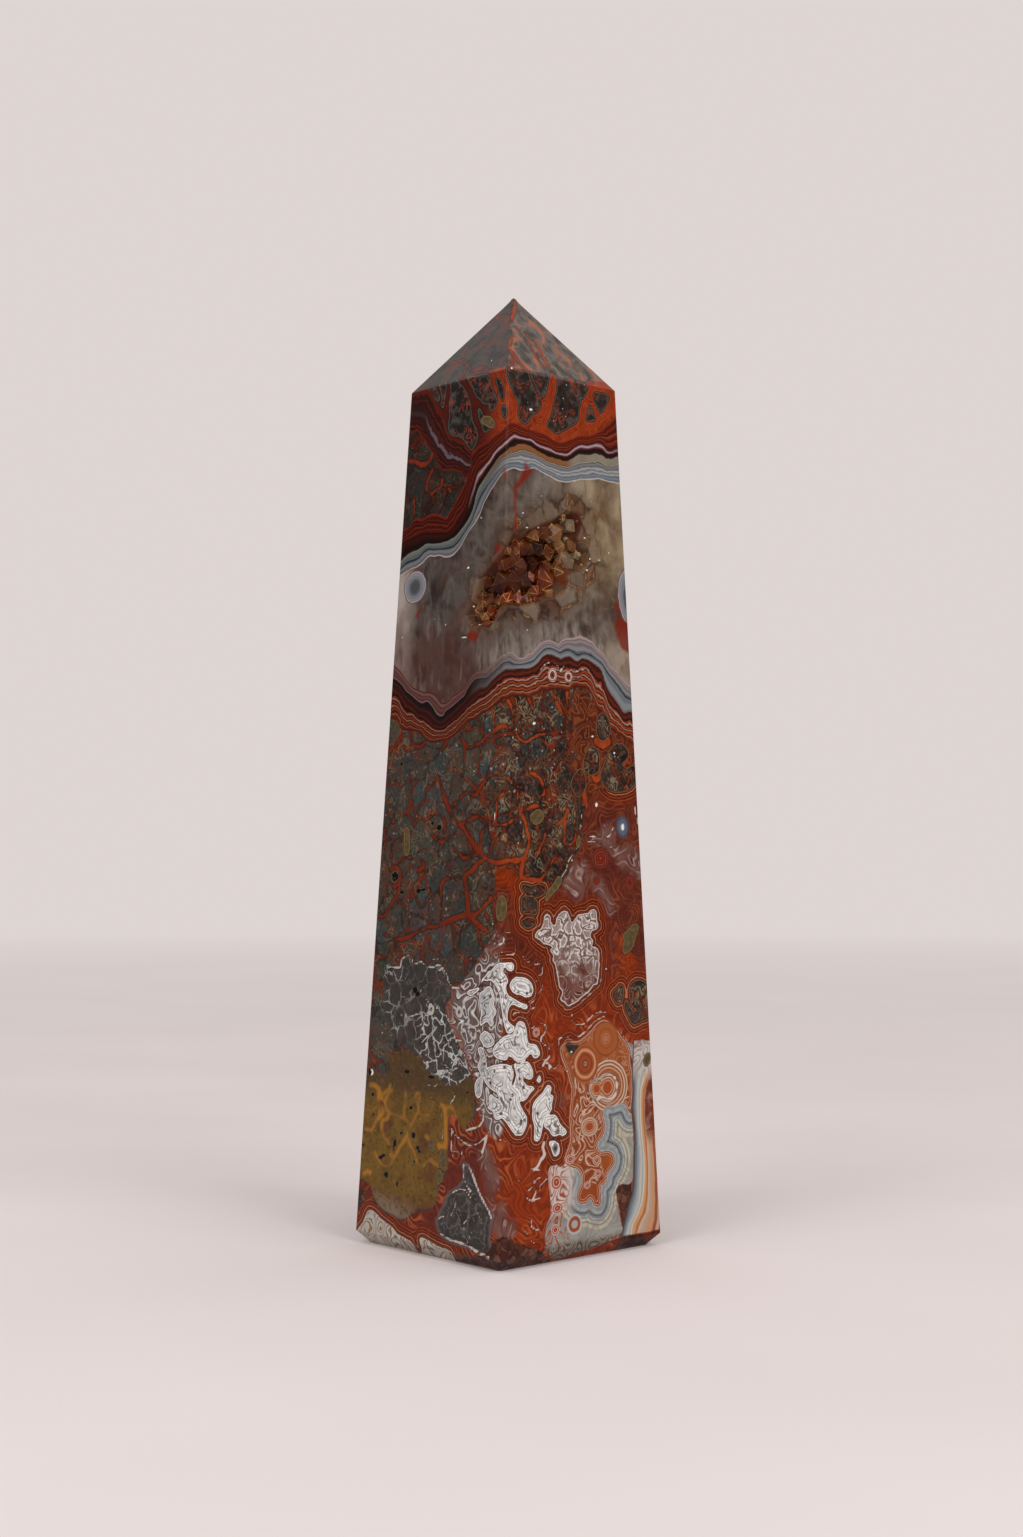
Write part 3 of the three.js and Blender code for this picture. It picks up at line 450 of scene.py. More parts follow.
# Their bands from the middle outwards: where each starts, in radii, and its colour or None for clear
RING_BANDS = {
    "target": [(0.0, (92, 48, 33)), (0.2, (168, 120, 92)), (0.3, (104, 54, 36)), (0.46, (142, 66, 33)),
               (0.94, (112, 48, 25)), (1.06, (144, 70, 38)), (1.36, (188, 134, 98)), (1.6, (172, 108, 70)),
               (1.74, (134, 66, 37)), (2.0, (158, 92, 56)), (2.1, None)],
    "peach": [(0.0, (150, 82, 58)), (0.2, (176, 122, 92)), (0.3, (148, 80, 54)), (0.48, (170, 110, 76)),
              (0.6, (152, 82, 44)), (1.04, (132, 62, 31)), (1.14, (150, 82, 43)), (1.8, (126, 62, 33)),
              (1.95, None)],
    "pair": [(0.0, (146, 68, 34)), (0.95, (190, 140, 106)), (1.08, (158, 88, 54)), (1.4, (198, 172, 150)),
             (1.55, (150, 92, 64)), (1.75, (176, 140, 116)), (1.95, (166, 158, 148)), (2.2, (142, 84, 54)),
             (2.35, None)],
    "bud": [(0.0, (170, 116, 96)), (0.4, (144, 60, 40)), (0.85, (190, 162, 148)), (1.1, (152, 72, 51)),
            (1.45, (190, 168, 155)), (1.7, None)],
    "eye": [(0.0, (140, 56, 38)), (0.26, (82, 26, 19)), (0.4, (118, 40, 27)), (0.66, (74, 24, 18)),
            (0.78, (126, 54, 40)), (1.0, (72, 25, 19)), (1.14, (112, 50, 38)), (1.32, (80, 30, 23)),
            (1.45, None)],
    "night": [(0.0, (196, 200, 200)), (0.25, (170, 178, 184)), (0.42, (84, 92, 108)), (1.0, (68, 74, 88)),
              (1.25, (84, 58, 56)), (1.5, None)],
    "loop": [(0.0, (158, 154, 152)), (0.62, (144, 70, 44)), (1.15, (168, 164, 160)), (1.5, None)],
    "slate": [(0.0, (72, 71, 73)), (0.55, (82, 83, 88)), (0.75, (110, 112, 118)), (1.05, (124, 126, 132)),
              (1.2, (112, 112, 116)), (1.3, (158, 152, 150)), (1.4, (92, 74, 70)), (1.5, None)],
    "arch": [(0.0, None), (2.2, (150, 88, 52)), (2.5, (112, 56, 32)), (2.62, (184, 132, 98)),
             (2.95, (134, 76, 46)), (3.1, (104, 56, 38)), (3.2, (196, 164, 140)), (3.45, (158, 104, 74)),
             (3.62, (112, 62, 44)), (3.75, (190, 170, 152)), (4.0, None)],
    "pupil": [(0.0, (84, 30, 20)), (0.45, (140, 66, 46)), (0.62, (70, 26, 18)), (0.78, (212, 192, 180)),
              (1.0, (104, 40, 28)), (1.16, (206, 186, 174)), (1.28, (86, 30, 20)), (1.42, None)],
    "drop": [(0.0, (60, 48, 44)), (0.5, (112, 104, 98)), (0.8, (146, 138, 132)), (1.0, None)],
}

# White agate patches with a dark line round them
WHITES = [
    [(-0.6, 22.8), (-1.2, 23.2), (-1.3, 23.8), (-0.7, 24.4), (0, 24.9), (0.5, 25.2), (1.4, 25.3), (1.9, 25.5),
     (2.1, 26.1), (2.4, 26.6), (2.9, 26.7), (3.5, 26.3), (3.8, 25.5), (3.9, 24.8), (4.1, 24.3), (4.6, 24.1),
     (5.2, 24.0), (5.6, 23.5), (5.8, 22.9), (5.5, 22.6), (4.9, 22.5), (4.5, 23.0), (4.1, 22.9), (3.6, 22.4),
     (2.9, 22.2), (2.2, 22.4), (1.6, 22.8), (1.2, 23.0), (0.8, 22.6)],
    [(1.8, 22.2), (2.6, 22.0), (3.4, 22.3), (4.0, 22.2), (4.5, 21.7), (4.8, 21), (4.7, 20.4), (4.3, 20.2),
     (3.8, 20.4), (3.3, 20.8), (3.3, 20.4), (3.5, 20.0), (4.1, 19.6), (4.7, 19.5), (5.1, 19.2), (4.5, 18.8),
     (4.1, 18.4), (3.5, 18.0), (3.0, 18.1), (2.9, 18.6), (2.7, 19.2), (2.2, 19.5), (2.0, 20.0), (2.2, 20.6),
     (2.2, 21.3)],
    [(-0.2, 22.2), (-1.9, 21.8), (-2.5, 21), (-2.6, 20.2), (-1.6, 19.4), (-0.6, 19.1), (-0.2, 18.5),
     (-0.8, 18.6), (-1.6, 18.9), (-1.9, 18.4), (-1.7, 17.8), (-2.1, 17.4), (-1.2, 17.0), (-1.0, 16.4),
     (-0.4, 16.2), (0.3, 16.4), (0.9, 15.9), (1.4, 15.3), (1.9, 14.7), (2.4, 14.4), (3.2, 14.4), (3.7, 14.9),
     (3.9, 15.5), (3.9, 16.3), (3.4, 17), (2.9, 17.7), (2.7, 18.3), (2.8, 18.9), (2.3, 19.4), (1.7, 20.0),
     (1.9, 21.0), (1.4, 22.0)],
    [(4.7, 16.8), (4.8, 17.6), (5.3, 18.1), (5.8, 18.5), (6.3, 18.8), (6.8, 19.4), (7.2, 19.5), (7.6, 19.1),
     (7.4, 18.5), (7.9, 18.2), (7.7, 17.5), (7.6, 16.8), (7.2, 16.3), (6.6, 16.1), (6.3, 15.6), (6.2, 14.8),
     (6.0, 13.9), (5.5, 13.5), (5.0, 13.7), (5.0, 14.4), (5.0, 15.3), (4.7, 16.0)],
    [(6.4, 16.0), (7.0, 16.2), (8.0, 16.2), (8.5, 15.8), (8.9, 15.2), (9.4, 14.7), (10.0, 14.1), (9.4, 13.7),
     (8.7, 13.9), (8.0, 13.8), (7.5, 14.1), (7.1, 14.6), (6.5, 15.0)],
    [(7.2, 13.2), (7.6, 13.4), (8.2, 13.3), (8.7, 12.9), (8.9, 12.2), (8.6, 11.7), (8.1, 11.6), (7.8, 12),
     (7.5, 12.6)],
    [(5.3, 20.1), (5.8, 20.7), (6.0, 20.1), (5.8, 19.8)],
    [(1.2, 30.6), (1.5, 31.1), (2.2, 31.5), (3.0, 31.4), (3.8, 31.2), (4.4, 30.7), (4.7, 30.1), (4.6, 29.5),
     (4.2, 29.2), (3.5, 29.2), (2.9, 29.4), (2.1, 29.6), (1.5, 30.0)],
    [(-1.6, 32.3), (-0.8, 32.9), (0, 33.1), (1.2, 33.1), (1.7, 32.9), (1.8, 32.4), (1.5, 32.1), (1.0, 32.2),
     (0.5, 32.6), (0.2, 32.2), (0.7, 31.6), (1.0, 31.0), (0.7, 30.4), (1.0, 29.6), (1.8, 29.2), (2.8, 28.7),
     (3.7, 28.4), (3.9, 28.1), (3.5, 27.9), (2.2, 28.3), (1.4, 28.4), (1.0, 27.6), (1.1, 26.8), (1.9, 26.1),
     (1.7, 25.5), (1.1, 25.4), (0.7, 25.8), (0.3, 26.9), (0, 28.2), (-0.3, 29.6), (-1.0, 30.6), (-2.0, 31.3),
     (-2.1, 31.9)],
    [(-5.7, 29.5), (-5.0, 29.2), (-4.4, 29.5), (-3.7, 29.9), (-3.4, 30.6), (-3.0, 31.0), (-2.3, 31.0),
     (-1.6, 31.4), (-2.1, 32.2), (-2.6, 31.6), (-3.2, 31.2), (-3.6, 30.4), (-4.4, 30.1), (-5.3, 29.9)],
    [(-3.6, 29.5), (-2.8, 30.1), (-2.2, 30.5), (-1.5, 30.2), (-1.0, 29.2), (-1.2, 28.5), (-0.8, 28.0),
     (-0.9, 27.4), (-1.3, 27.0), (-1.1, 26.5), (-1.7, 26.1), (-2.4, 26.6), (-3.3, 26.0), (-3.5, 26.6),
     (-3.3, 27.4), (-3.5, 28.4)],
    [(-3.5, 24.9), (-2.7, 25.6), (-2.0, 25.5), (-1.5, 25.2), (-1.0, 24.6), (-1.3, 24.1), (-1.9, 23.8),
     (-2.5, 23.8), (-3.2, 24.4)],
    [(-3.8, 23.6), (-3.4, 22.6), (-3.8, 21.6), (-3.2, 20.8), (-4.0, 20.2), (-4.2, 19.0), (-3.6, 18.2),
     (-3.0, 18.8), (-2.8, 20.2), (-2.2, 21.4), (-2.4, 22.6), (-3.0, 23.8)],
    [(-24.6, 1.2), (-24.2, 1.8), (-23.5, 2.5), (-23, 3.4), (-22.4, 4), (-21.5, 3.9), (-20.3, 3.3),
     (-19.2, 2.9), (-18.2, 2.6), (-17.3, 2.0), (-16.5, 1.8), (-15.5, 1.6), (-14.7, 1.4), (-14.2, 0.8),
     (-14.0, -1), (-25, -1)],
    [(-13.3, 1.9), (-12.9, 2.15), (-12.3, 2.1), (-11.5, 1.9), (-10.5, 1.7), (-9.3, 1.5), (-8.2, 1.4),
     (-7.6, 0.8), (-7.4, -1), (-12.6, -1), (-13.0, 1.0)],
    [(-29.4, 5.0), (-28.0, 7.4), (-25.8, 7.0), (-26.4, 4.0), (-28.2, 3.2)],
    [(30.5, 29.0), (31.6, 32.2), (34.6, 33.0), (36.4, 30.4), (35.2, 27.6), (33.2, 28.6), (31.8, 27.6)],
    [(40.5, 17.0), (40.9, 19.6), (42.2, 20.6), (43.0, 19.4), (44.6, 20.4), (45.9, 18.6), (45.0, 16.8),
     (46.4, 14.6), (45.0, 12.2), (43.4, 12.8), (42.4, 11.6), (41.2, 13.0), (41.8, 15.0)],
    [(26.4, 44.0), (27.0, 46.6), (28.4, 47.2), (28.0, 45.4), (29.6, 44.6), (28.6, 42.8), (27.2, 42.4)],
]

# The white and mauve patch
LACY = [
    [(4.9, 35.8), (5.2, 36.4), (5.8, 36.6), (6.1, 37.2), (6.3, 38.0), (6.8, 38.2), (7.2, 37.8), (7.3, 37.2),
     (7.8, 36.9), (8.1, 37.4), (8.3, 38.0), (8.8, 38.3), (9.2, 38.6), (9.8, 38.3), (10.2, 37.7), (10.5, 37.2),
     (11, 37.6), (11.5, 38.0), (12.3, 38.1), (13, 38.2), (13.5, 38.6), (14.1, 38.5), (14.4, 38.0),
     (14.4, 37.3), (14.7, 36.7), (14.3, 36.3), (13.6, 36.1), (13.4, 35.6), (13.8, 35.0), (13.6, 34.4),
     (14.2, 34.3), (14.7, 33.9), (14.8, 33.0), (14.8, 32), (14.7, 31), (14.5, 30.2), (13.9, 30.0),
     (13.4, 29.5), (12.9, 29.2), (11.5, 28.4), (10.5, 28.0), (9.8, 27.9), (9.5, 28.3), (8.8, 28.7),
     (9.1, 29.5), (8.6, 30.1), (8.4, 30.9), (8.2, 31.7), (8.0, 32.5), (7.6, 33.1), (7.6, 33.7), (7.2, 34.2),
     (7.5, 34.5), (6.9, 34.8), (6.3, 34.9), (5.8, 35.2)],
    [(35.0, 35.6), (36.2, 38.0), (38.6, 38.2), (39.6, 34.6), (37.4, 32.6), (35.4, 33.6)],
]

# The mustard stone on the lower left
YELLOW = [
    [(-24.8, 19.0), (-22.8, 19.3), (-21.5, 19.6), (-19.8, 19.6), (-19, 20.3), (-19.3, 21.5), (-18, 22.4),
     (-16.5, 22.6), (-15, 22.2), (-13.4, 22), (-12.8, 21.2), (-12.2, 20.4), (-10.4, 20.1), (-9.3, 19.3),
     (-8.5, 19.6), (-7.5, 19.6), (-6.5, 20.3), (-5.3, 20.6), (-4.6, 19.8), (-4.3, 18.5), (-4.3, 17.2),
     (-4.6, 16.3), (-5.4, 15.2), (-6, 14.6), (-6.6, 15.2), (-7.4, 16), (-8.2, 16.2), (-8.6, 15.2),
     (-8.6, 13.5), (-8.7, 12), (-8.5, 10.5), (-8.8, 10.0), (-9.8, 9.9), (-10.3, 9), (-10.4, 8.2),
     (-10.3, 7.4), (-10.6, 6.5), (-11.1, 5.7), (-12.3, 5.4), (-14.4, 5.0), (-15.4, 4.1), (-16.6, 3.7),
     (-18.2, 4.0), (-20.0, 4.4), (-21.5, 5.4), (-22.1, 6.6), (-23.3, 7.2), (-24.9, 7.6), (-29, 9.0),
     (-33, 12.6), (-35, 17.6), (-31, 21.0)],
]

# Its gold veins: half of the width, then the way
GOLD = [
    (0.22, [(-22.5, 18.2), (-21.3, 18), (-20.7, 17.4), (-20.3, 16.5), (-20.2, 15.3), (-20.8, 14.6),
            (-21.2, 14.4)]),
    (0.2, [(-20.9, 17.9), (-21, 16.8), (-20.8, 15.5), (-20.9, 14.4)]),
    (0.14, [(-20.6, 16.9), (-20.0, 17.4), (-19.2, 17.9), (-18.9, 18.4)]),
    (0.1, [(-20.8, 16.3), (-21.6, 15.6), (-22.4, 15.2), (-23.4, 15.3)]),
    (0.1, [(-17.9, 10.5), (-18.6, 9.6), (-19.6, 9.2), (-20.6, 9.6), (-21.6, 10.6)]),
    (0.09, [(-12.4, 13.3), (-11.6, 13.0), (-10.9, 13.2), (-10.0, 12.7)]),
    (0.1, [(-16.2, 14.9), (-16.4, 15.8), (-16.0, 16.8), (-16.2, 17.8)]),
    (0.14, [(-18.7, 17.9), (-19.4, 17.2), (-19.8, 16.5), (-19.6, 15.8), (-19.1, 15.3), (-19.4, 14.6),
            (-20.2, 14.3)]),
    (0.10, [(-19.2, 15.4), (-18.2, 15.2), (-17.2, 15), (-16.2, 14.9), (-15.5, 14.5), (-15.1, 14.2)]),
    (0.16, [(-13.7, 17.5), (-13.8, 16.6), (-13.9, 15.8), (-14.5, 15), (-15.1, 14.3), (-15.6, 13.7),
            (-15.7, 13), (-15.3, 12.3), (-14.8, 11.7), (-14.2, 11), (-13.9, 10.3)]),
    (0.18, [(-15.8, 13), (-16.4, 12.3), (-17, 11.7), (-17.5, 11), (-17.9, 10.5), (-18.6, 10.6), (-19, 11.5),
            (-19.2, 12.1), (-19.8, 12.3), (-20.2, 13), (-20.4, 14)]),
    (0.13, [(-21.2, 14.4), (-21.8, 13.5), (-22.3, 13), (-23.5, 13)]),
    (0.07, [(-13.9, 15.8), (-13, 15.6), (-12, 15.7)]),
    (0.18, [(-9.9, 17), (-9, 16.8), (-8.2, 16.9), (-7.6, 16.5), (-7.2, 15.8)]),
    (0.38, [(-9.2, 16.6), (-9.0, 15.5), (-9.0, 14), (-9.0, 12.8), (-9.6, 12.4), (-10.1, 12.6)]),
    (0.12, [(-12.8, 10), (-12.2, 10.5), (-11.5, 10.8), (-10.8, 10.5), (-10, 10.3), (-9, 10.1)]),
    (0.10, [(-14.4, 17.4), (-14.1, 17.9), (-13.6, 17.8), (-13.6, 17.2), (-14.2, 17.0)]),
    (0.12, [(-26, 15), (-28, 16.4), (-30, 15.4), (-31, 13)]),
    (0.25, [(-23.4, 8.0), (-22.8, 8.3), (-22.3, 8.2)]),
]

# Dark stone full of pale cracks
CRACKLED = [
    [(-20.2, 31.8), (-18, 31.9), (-16.6, 33.0), (-15.2, 32.6), (-13, 32.4), (-11, 32.4), (-9.6, 31.8),
     (-8.6, 30.4), (-8.3, 29.6), (-9.2, 27.4), (-8.2, 25.6), (-7.4, 24.4), (-6.5, 23.3), (-5.7, 22.0),
     (-5.0, 21.0), (-5.4, 20.4), (-7.5, 19.4), (-9.3, 19.3), (-10.4, 20.1), (-12.2, 20.4), (-13.4, 22),
     (-15, 22.4), (-17, 23.2), (-19, 24.6), (-20.4, 27.0)],
    [(-6, 11.3), (-5.5, 11.1), (-4.9, 10.9), (-4.3, 10.3), (-3.8, 9.5), (-3.2, 8.5), (-2.6, 7.6), (-2.0, 7.0),
     (-1.4, 6.6), (-1.0, 6.2), (-1.0, 5.4), (-1.3, 4.6), (-1.3, 3.5), (-1.1, 2.5), (-1.2, 1.8), (-2, 1.4),
     (-3.5, 1.7), (-5, 2), (-6.5, 2.2), (-8, 2.3), (-9.3, 2.6), (-10.1, 3.2), (-10.5, 4.1), (-10.2, 5.0),
     (-9.6, 5.8), (-9, 6.7), (-8.4, 7.6), (-7.4, 8.2), (-6.6, 8.7), (-6.1, 9.2), (-5.9, 9.9), (-6.2, 10.7)],
    [(-40, 24), (-37, 30), (-31, 29), (-28, 24), (-31, 20), (-37, 18)],
]

# Dark pebbled stone at the foot
PEBBLED = [
    [(-1.8, 2.2), (-0.8, 3.4), (0.8, 3.9), (2.4, 3.0), (3.6, 2.6), (5.4, 2.0), (6.6, 1.2), (6.6, -1),
     (-7, -1), (-6.6, 0.8), (-4.0, 1.2)],
    [(18.2, 1.4), (20.4, 1.8), (21.8, 1.5), (22.4, 0.6), (22.6, -1), (17.6, -1)],
    [(-25.4, 3.0), (-24.4, 3.5), (-23.9, 4.3), (-23.1, 5.2), (-22.9, 5.8), (-23.8, 6.1), (-25.6, 6.2)],
    [(17.6, 7.2), (18.4, 7.5), (19.3, 7.7), (20.1, 7.7), (20.3, 6.6), (20.0, 5.4), (19.5, 4.6), (19.2, 3.6),
     (18.9, 2.4), (18.6, 2.6), (18.5, 3.8), (18.1, 5.4)],
    [(18.2, 15.8), (18.8, 16.4), (19.4, 15.8), (19.3, 15.0), (18.8, 14.6), (18.3, 15.0)],
]

# Pale lines: half of the width, then the way
PALE_LINES = [
    (0.11, [(-19.8, 31.6), (-19.2, 31.9), (-18.3, 31.8), (-17.4, 31.9), (-17.2, 32.6), (-16.8, 33.0),
            (-16.0, 33.2), (-15.4, 33.1), (-15.1, 32.4), (-14.8, 32.3), (-14.2, 32.5), (-13.5, 32.6),
            (-12.9, 32.3), (-12, 32.1), (-11.3, 32.2), (-10.7, 32.4), (-10, 32.2), (-9.5, 31.8), (-9.1, 31.4),
            (-8.9, 30.8), (-8.5, 30.3), (-8, 30.0), (-7, 30.05)]),
    (0.05, [(-12.3, 32.4), (-11.8, 32.9), (-11.1, 33.05)]),
    (0.04, [(-15.6, 33.3), (-15.4, 33.6)]),
    (0.07, [(-10.9, 32), (-10.2, 31.7), (-9.7, 31.6)]),
    (0.05, [(-9.1, 31.2), (-9.8, 30.8), (-10.4, 30.2)]),
    (0.07, [(-13, 29.9), (-13.7, 29.4), (-13.2, 28.8), (-12.4, 28.3), (-11.9, 27.9)]),
    (0.16, [(-12.1, 27.7), (-12.2, 27.2), (-11.9, 26.9), (-11.5, 27.1), (-11.4, 27.6), (-11.8, 27.9),
            (-12.1, 27.7)]),
    (0.18, [(-10.85, 27.7), (-10.65, 27.65)]),
    (0.08, [(-16, 26.3), (-15, 26.5), (-14, 26.8), (-13, 27.0), (-12.3, 26.9)]),
    (0.06, [(-12.2, 26.6), (-13, 25.9), (-13.8, 25.5), (-14.6, 25.2)]),
    (0.07, [(-13.4, 23.6), (-12.6, 24.2), (-12, 24.5), (-11, 25.3), (-10.3, 24.9), (-9.8, 24.3),
            (-9.4, 23.8)]),
    (0.10, [(-8.2, 24.5), (-8.6, 23.9), (-9.4, 23.5), (-9.5, 22.6), (-9.5, 21.7), (-8.8, 21.2),
            (-8.2, 20.9)]),
    (0.06, [(-9.5, 23.1), (-10.2, 22.9), (-11, 22.9), (-11.3, 23.8), (-11.6, 24.6)]),
    (0.06, [(-11, 22.9), (-10.9, 22.1), (-11.6, 21.8), (-12.6, 22.3), (-13.3, 22.4)]),
    (0.14, [(-9.1, 26.8), (-8.6, 26.2), (-8.0, 26.1), (-7.6, 26.3)]),
    (0.13, [(-8.1, 25.6), (-7.8, 24.9), (-7.6, 24.4), (-7.0, 24.3), (-6.4, 24.2)]),
    (0.08, [(-7.7, 24.4), (-7.2, 23.8), (-6.8, 23), (-6.7, 22.2), (-7, 21.5)]),
    (0.09, [(-6.2, 22.9), (-5.6, 22.3), (-5.2, 21.6), (-4.8, 21.1), (-4.4, 22.0), (-4.2, 23.2),
            (-5.0, 23.8)]),
    (0.07, [(-9.8, 21.2), (-9.0, 20.6), (-8.4, 20.2), (-7.8, 21.0), (-7.0, 21.3), (-6.2, 21.6)]),
    (0.06, [(-13.0, 19.5), (-12.4, 19.1), (-11.2, 18.9), (-10.4, 19.4), (-10.2, 20.2)]),
    (0.07, [(-9.2, 18.9), (-8.9, 19.4), (-8.2, 19.6), (-7.5, 19.2), (-7.3, 18.6), (-7.7, 17.9),
            (-8.2, 17.3)]),
    (0.05, [(-13.6, 17.7), (-12.8, 17.8), (-11.9, 17.75), (-11, 17.45), (-10.1, 16.9), (-9.8, 16.2),
            (-9.7, 15), (-9.5, 14), (-9.6, 13.3), (-10.2, 13.1)]),
    (0.16, [(-7.2, 27.8), (-7.4, 27.3), (-7.0, 26.9), (-6.6, 27.1), (-6.5, 27.6), (-6.9, 27.9),
            (-7.2, 27.8)]),
    (0.14, [(-5.9, 26.8), (-5.5, 26.9), (-5.3, 26.4), (-5.7, 26.1), (-6.1, 26.2), (-6.5, 25.8), (-6.3, 25.3),
            (-5.8, 25.4), (-5.7, 25.9)]),
    (0.13, [(-5.3, 25.9), (-4.4, 25.9), (-4.0, 25.4), (-4.3, 24.6), (-4.9, 24.9), (-5.4, 25.5),
            (-5.3, 25.9)]),
    (0.12, [(-3.2, 22.8), (-2.9, 22.3), (-2.4, 22.4), (-2.3, 22.9), (-2.8, 23.2), (-3.2, 22.8)]),
    (0.12, [(-5.9, 10.9), (-6.0, 9.9), (-5.5, 8.9), (-4.7, 8.2)]),
    (0.16, [(-4.9, 10.7), (-4.2, 9.7), (-3.6, 8.7), (-2.7, 7.5), (-1.7, 6.5), (-1.3, 5.8)]),
    (0.08, [(-7.8, 7.6), (-6.8, 8.1), (-5.6, 8.2), (-4.6, 7.4)]),
    (0.07, [(-8.3, 6.5), (-7.4, 7.1), (-7.3, 6.2), (-7.9, 5.2)]),
    (0.07, [(-5.3, 6.5), (-5.0, 5.3), (-4.2, 4.5), (-4.6, 3.6), (-5.2, 2.6)]),
    (0.07, [(-5.0, 5.3), (-5.8, 4.5), (-5.5, 3.6)]),
    (0.05, [(-3.7, 6.3), (-3.0, 5.4), (-2.6, 4.2), (-2.9, 3.2)]),
    (0.06, [(-10.1, 4.5), (-9.2, 4.9), (-8.2, 4.3), (-8.1, 3.5)]),
    (0.1, [(-9.7, 3.0), (-8, 2.6), (-5.5, 2.4), (-3, 1.9), (-1.6, 1.6)]),
    (0.08, [(2.5, 10.2), (2.7, 9.7), (2.95, 9.4)]),
    (0.10, [(4.7, 10.6), (5.7, 10.4), (6.1, 10.2), (6.0, 9.6), (5.4, 9.4), (5.5, 8.7), (5.3, 8), (4.9, 7.3),
            (4.6, 7.2)]),
    (0.09, [(4.1, 8.3), (4.5, 8.5), (4.8, 8.7), (4.9, 9.2)]),
    (0.10, [(4, 7.6), (4.7, 7.2), (5.4, 7.3), (6.0, 7.4), (6.1, 8), (5.8, 8.6), (6.3, 8.9), (6.9, 9.3),
            (7.1, 9)]),
    (0.17, [(6.5, 13.3), (6.3, 12.7), (6.6, 12), (6.0, 11.4), (5.6, 10.8), (5.0, 10.5)]),
    (0.09, [(0, 14.2), (0.5, 13.9), (0.8, 13.9)]),
    (0.08, [(4.6, 3), (5.1, 2.7), (5.5, 2.6)]),
    (0.07, [(3.8, 4.1), (4.2, 3.7)]),
    (0.09, [(4.7, 5.1), (4.7, 4.5), (5.3, 4.1), (5.8, 4)]),
    (0.09, [(-7.8, 11.6), (-8, 12.5), (-7.9, 13.5), (-8, 14.6), (-7.4, 14), (-6.6, 13.6), (-5.6, 13.2),
            (-4.6, 13.1), (-3.6, 13.4), (-2.8, 13.9), (-2.2, 14.3), (-1.8, 14.9)]),
    (0.06, [(-7.8, 12.1), (-7, 12.2), (-6.2, 12), (-6.5, 12.8), (-7.2, 13.2)]),
    (0.18, [(-2.9, 12.5), (-2.4, 13.5), (-2.2, 14.3)]),
    (0.12, [(-5.6, 14.6), (-4.6, 14.9), (-3.6, 15.2), (-2.9, 15.8), (-2.7, 16.6), (-3.2, 17.2),
            (-3.8, 17.0)]),
    (0.09, [(13, 46.9), (14.5, 46.7), (15.5, 46.7), (16.3, 46.9), (16.9, 47.8), (17, 48.8)]),
    (0.06, [(12.8, 46.2), (13.8, 46.2), (14.8, 46), (16, 45.8), (17, 45.4)]),
    (0.09, [(15.7, 32.0), (16.0, 31.7), (16.4, 31.6), (16.8, 31.7)]),
    (0.12, [(20.4, 50.3), (20.5, 49.6), (20.8, 48.9), (20.9, 48.3)]),
    (0.10, [(14.6, 17.2), (15.3, 17.5), (16.6, 17.2), (17.5, 17.6), (17.75, 18.6), (17.5, 19.5),
            (16.4, 20.0)]),
    (0.07, [(13.9, 19.6), (15.1, 19.3), (15.8, 19.8), (16.7, 19.9), (17.4, 19.2), (17.5, 18.1), (16.8, 17.3),
            (15.8, 17.3), (15.0, 17.8), (14.2, 17.3), (13.6, 18.2), (13.6, 19.0), (13.9, 19.6)]),
    (0.06, [(8.6, 24.4), (8.8, 23.2), (9.6, 22.4), (10.6, 21.6), (11.0, 20.4), (11.2, 19.2)]),
    (0.07, [(1.6, 26.9), (1.8, 27.5), (2.6, 27.6), (3.4, 27.1), (4.0, 26.4), (4.6, 25.8), (5.2, 26.1),
            (6.0, 26.2), (6.7, 25.9), (6.5, 25.2), (5.9, 24.6), (6.2, 24.0), (7.0, 23.6), (7.3, 22.8),
            (6.9, 22.3), (6.1, 22.2)]),
    (0.06, [(5.0, 31.6), (5.9, 31.5), (6.0, 32.2), (5.7, 32.9), (5.0, 32.6), (4.5, 33.2), (3.8, 32.9),
            (3.4, 33.4), (3.0, 33.8), (3.0, 34.6)]),
    (0.06, [(5.0, 30.9), (5.9, 30.7), (6.1, 30.2), (5.5, 29.6), (5.0, 28.9), (4.2, 28.4), (4.3, 27.9),
            (4.9, 28.0)]),
    (0.08, [(10.6, 27.0), (10.5, 26.4), (11.4, 25.8), (12.6, 25.9), (13.6, 26.6), (14.6, 27.0),
            (15.8, 27.0)]),
    (0.06, [(8.4, 24.3), (9.4, 24.6), (10.6, 24.4), (11.8, 24.5), (13.0, 25.2), (14.4, 26.1), (15.6, 26.5)]),
    (0.06, [(0.2, 35.9), (0.3, 35.2), (0.9, 34.9), (1.8, 34.9), (2.1, 34.3), (1.7, 33.9), (0.8, 33.9),
            (0, 34.2)]),
    (0.06, [(0, 36.4), (0.9, 36.3), (1.6, 36.1), (1.3, 35.5), (0.6, 35.6)]),
    (0.06, [(-1.0, 36.4), (-1.3, 35.6), (-1.0, 34.8), (-0.3, 34.7)]),
    (0.06, [(-0.3, 36.2), (-0.7, 35.7), (-0.5, 35.2), (0, 35.1)]),
    (0.10, [(7.4, 21.5), (8.0, 21.2), (8.6, 21.6), (9.4, 21.2), (10.0, 20.7)]),
    (0.12, [(6.2, 21.6), (6.6, 22.0), (7.1, 21.7), (7.2, 21.2)]),
    (0.06, [(5.4, 65.3), (5.7, 65.7), (6.1, 66.0), (6.6, 66.2), (7.2, 66.3), (7.7, 66.1), (8.1, 65.8),
            (8.4, 65.3), (8.8, 65.8), (9.3, 66.1), (9.9, 66.1), (10.4, 65.8), (10.9, 65.5), (11.5, 65.6),
            (12.2, 65.8), (12.9, 65.7)]),
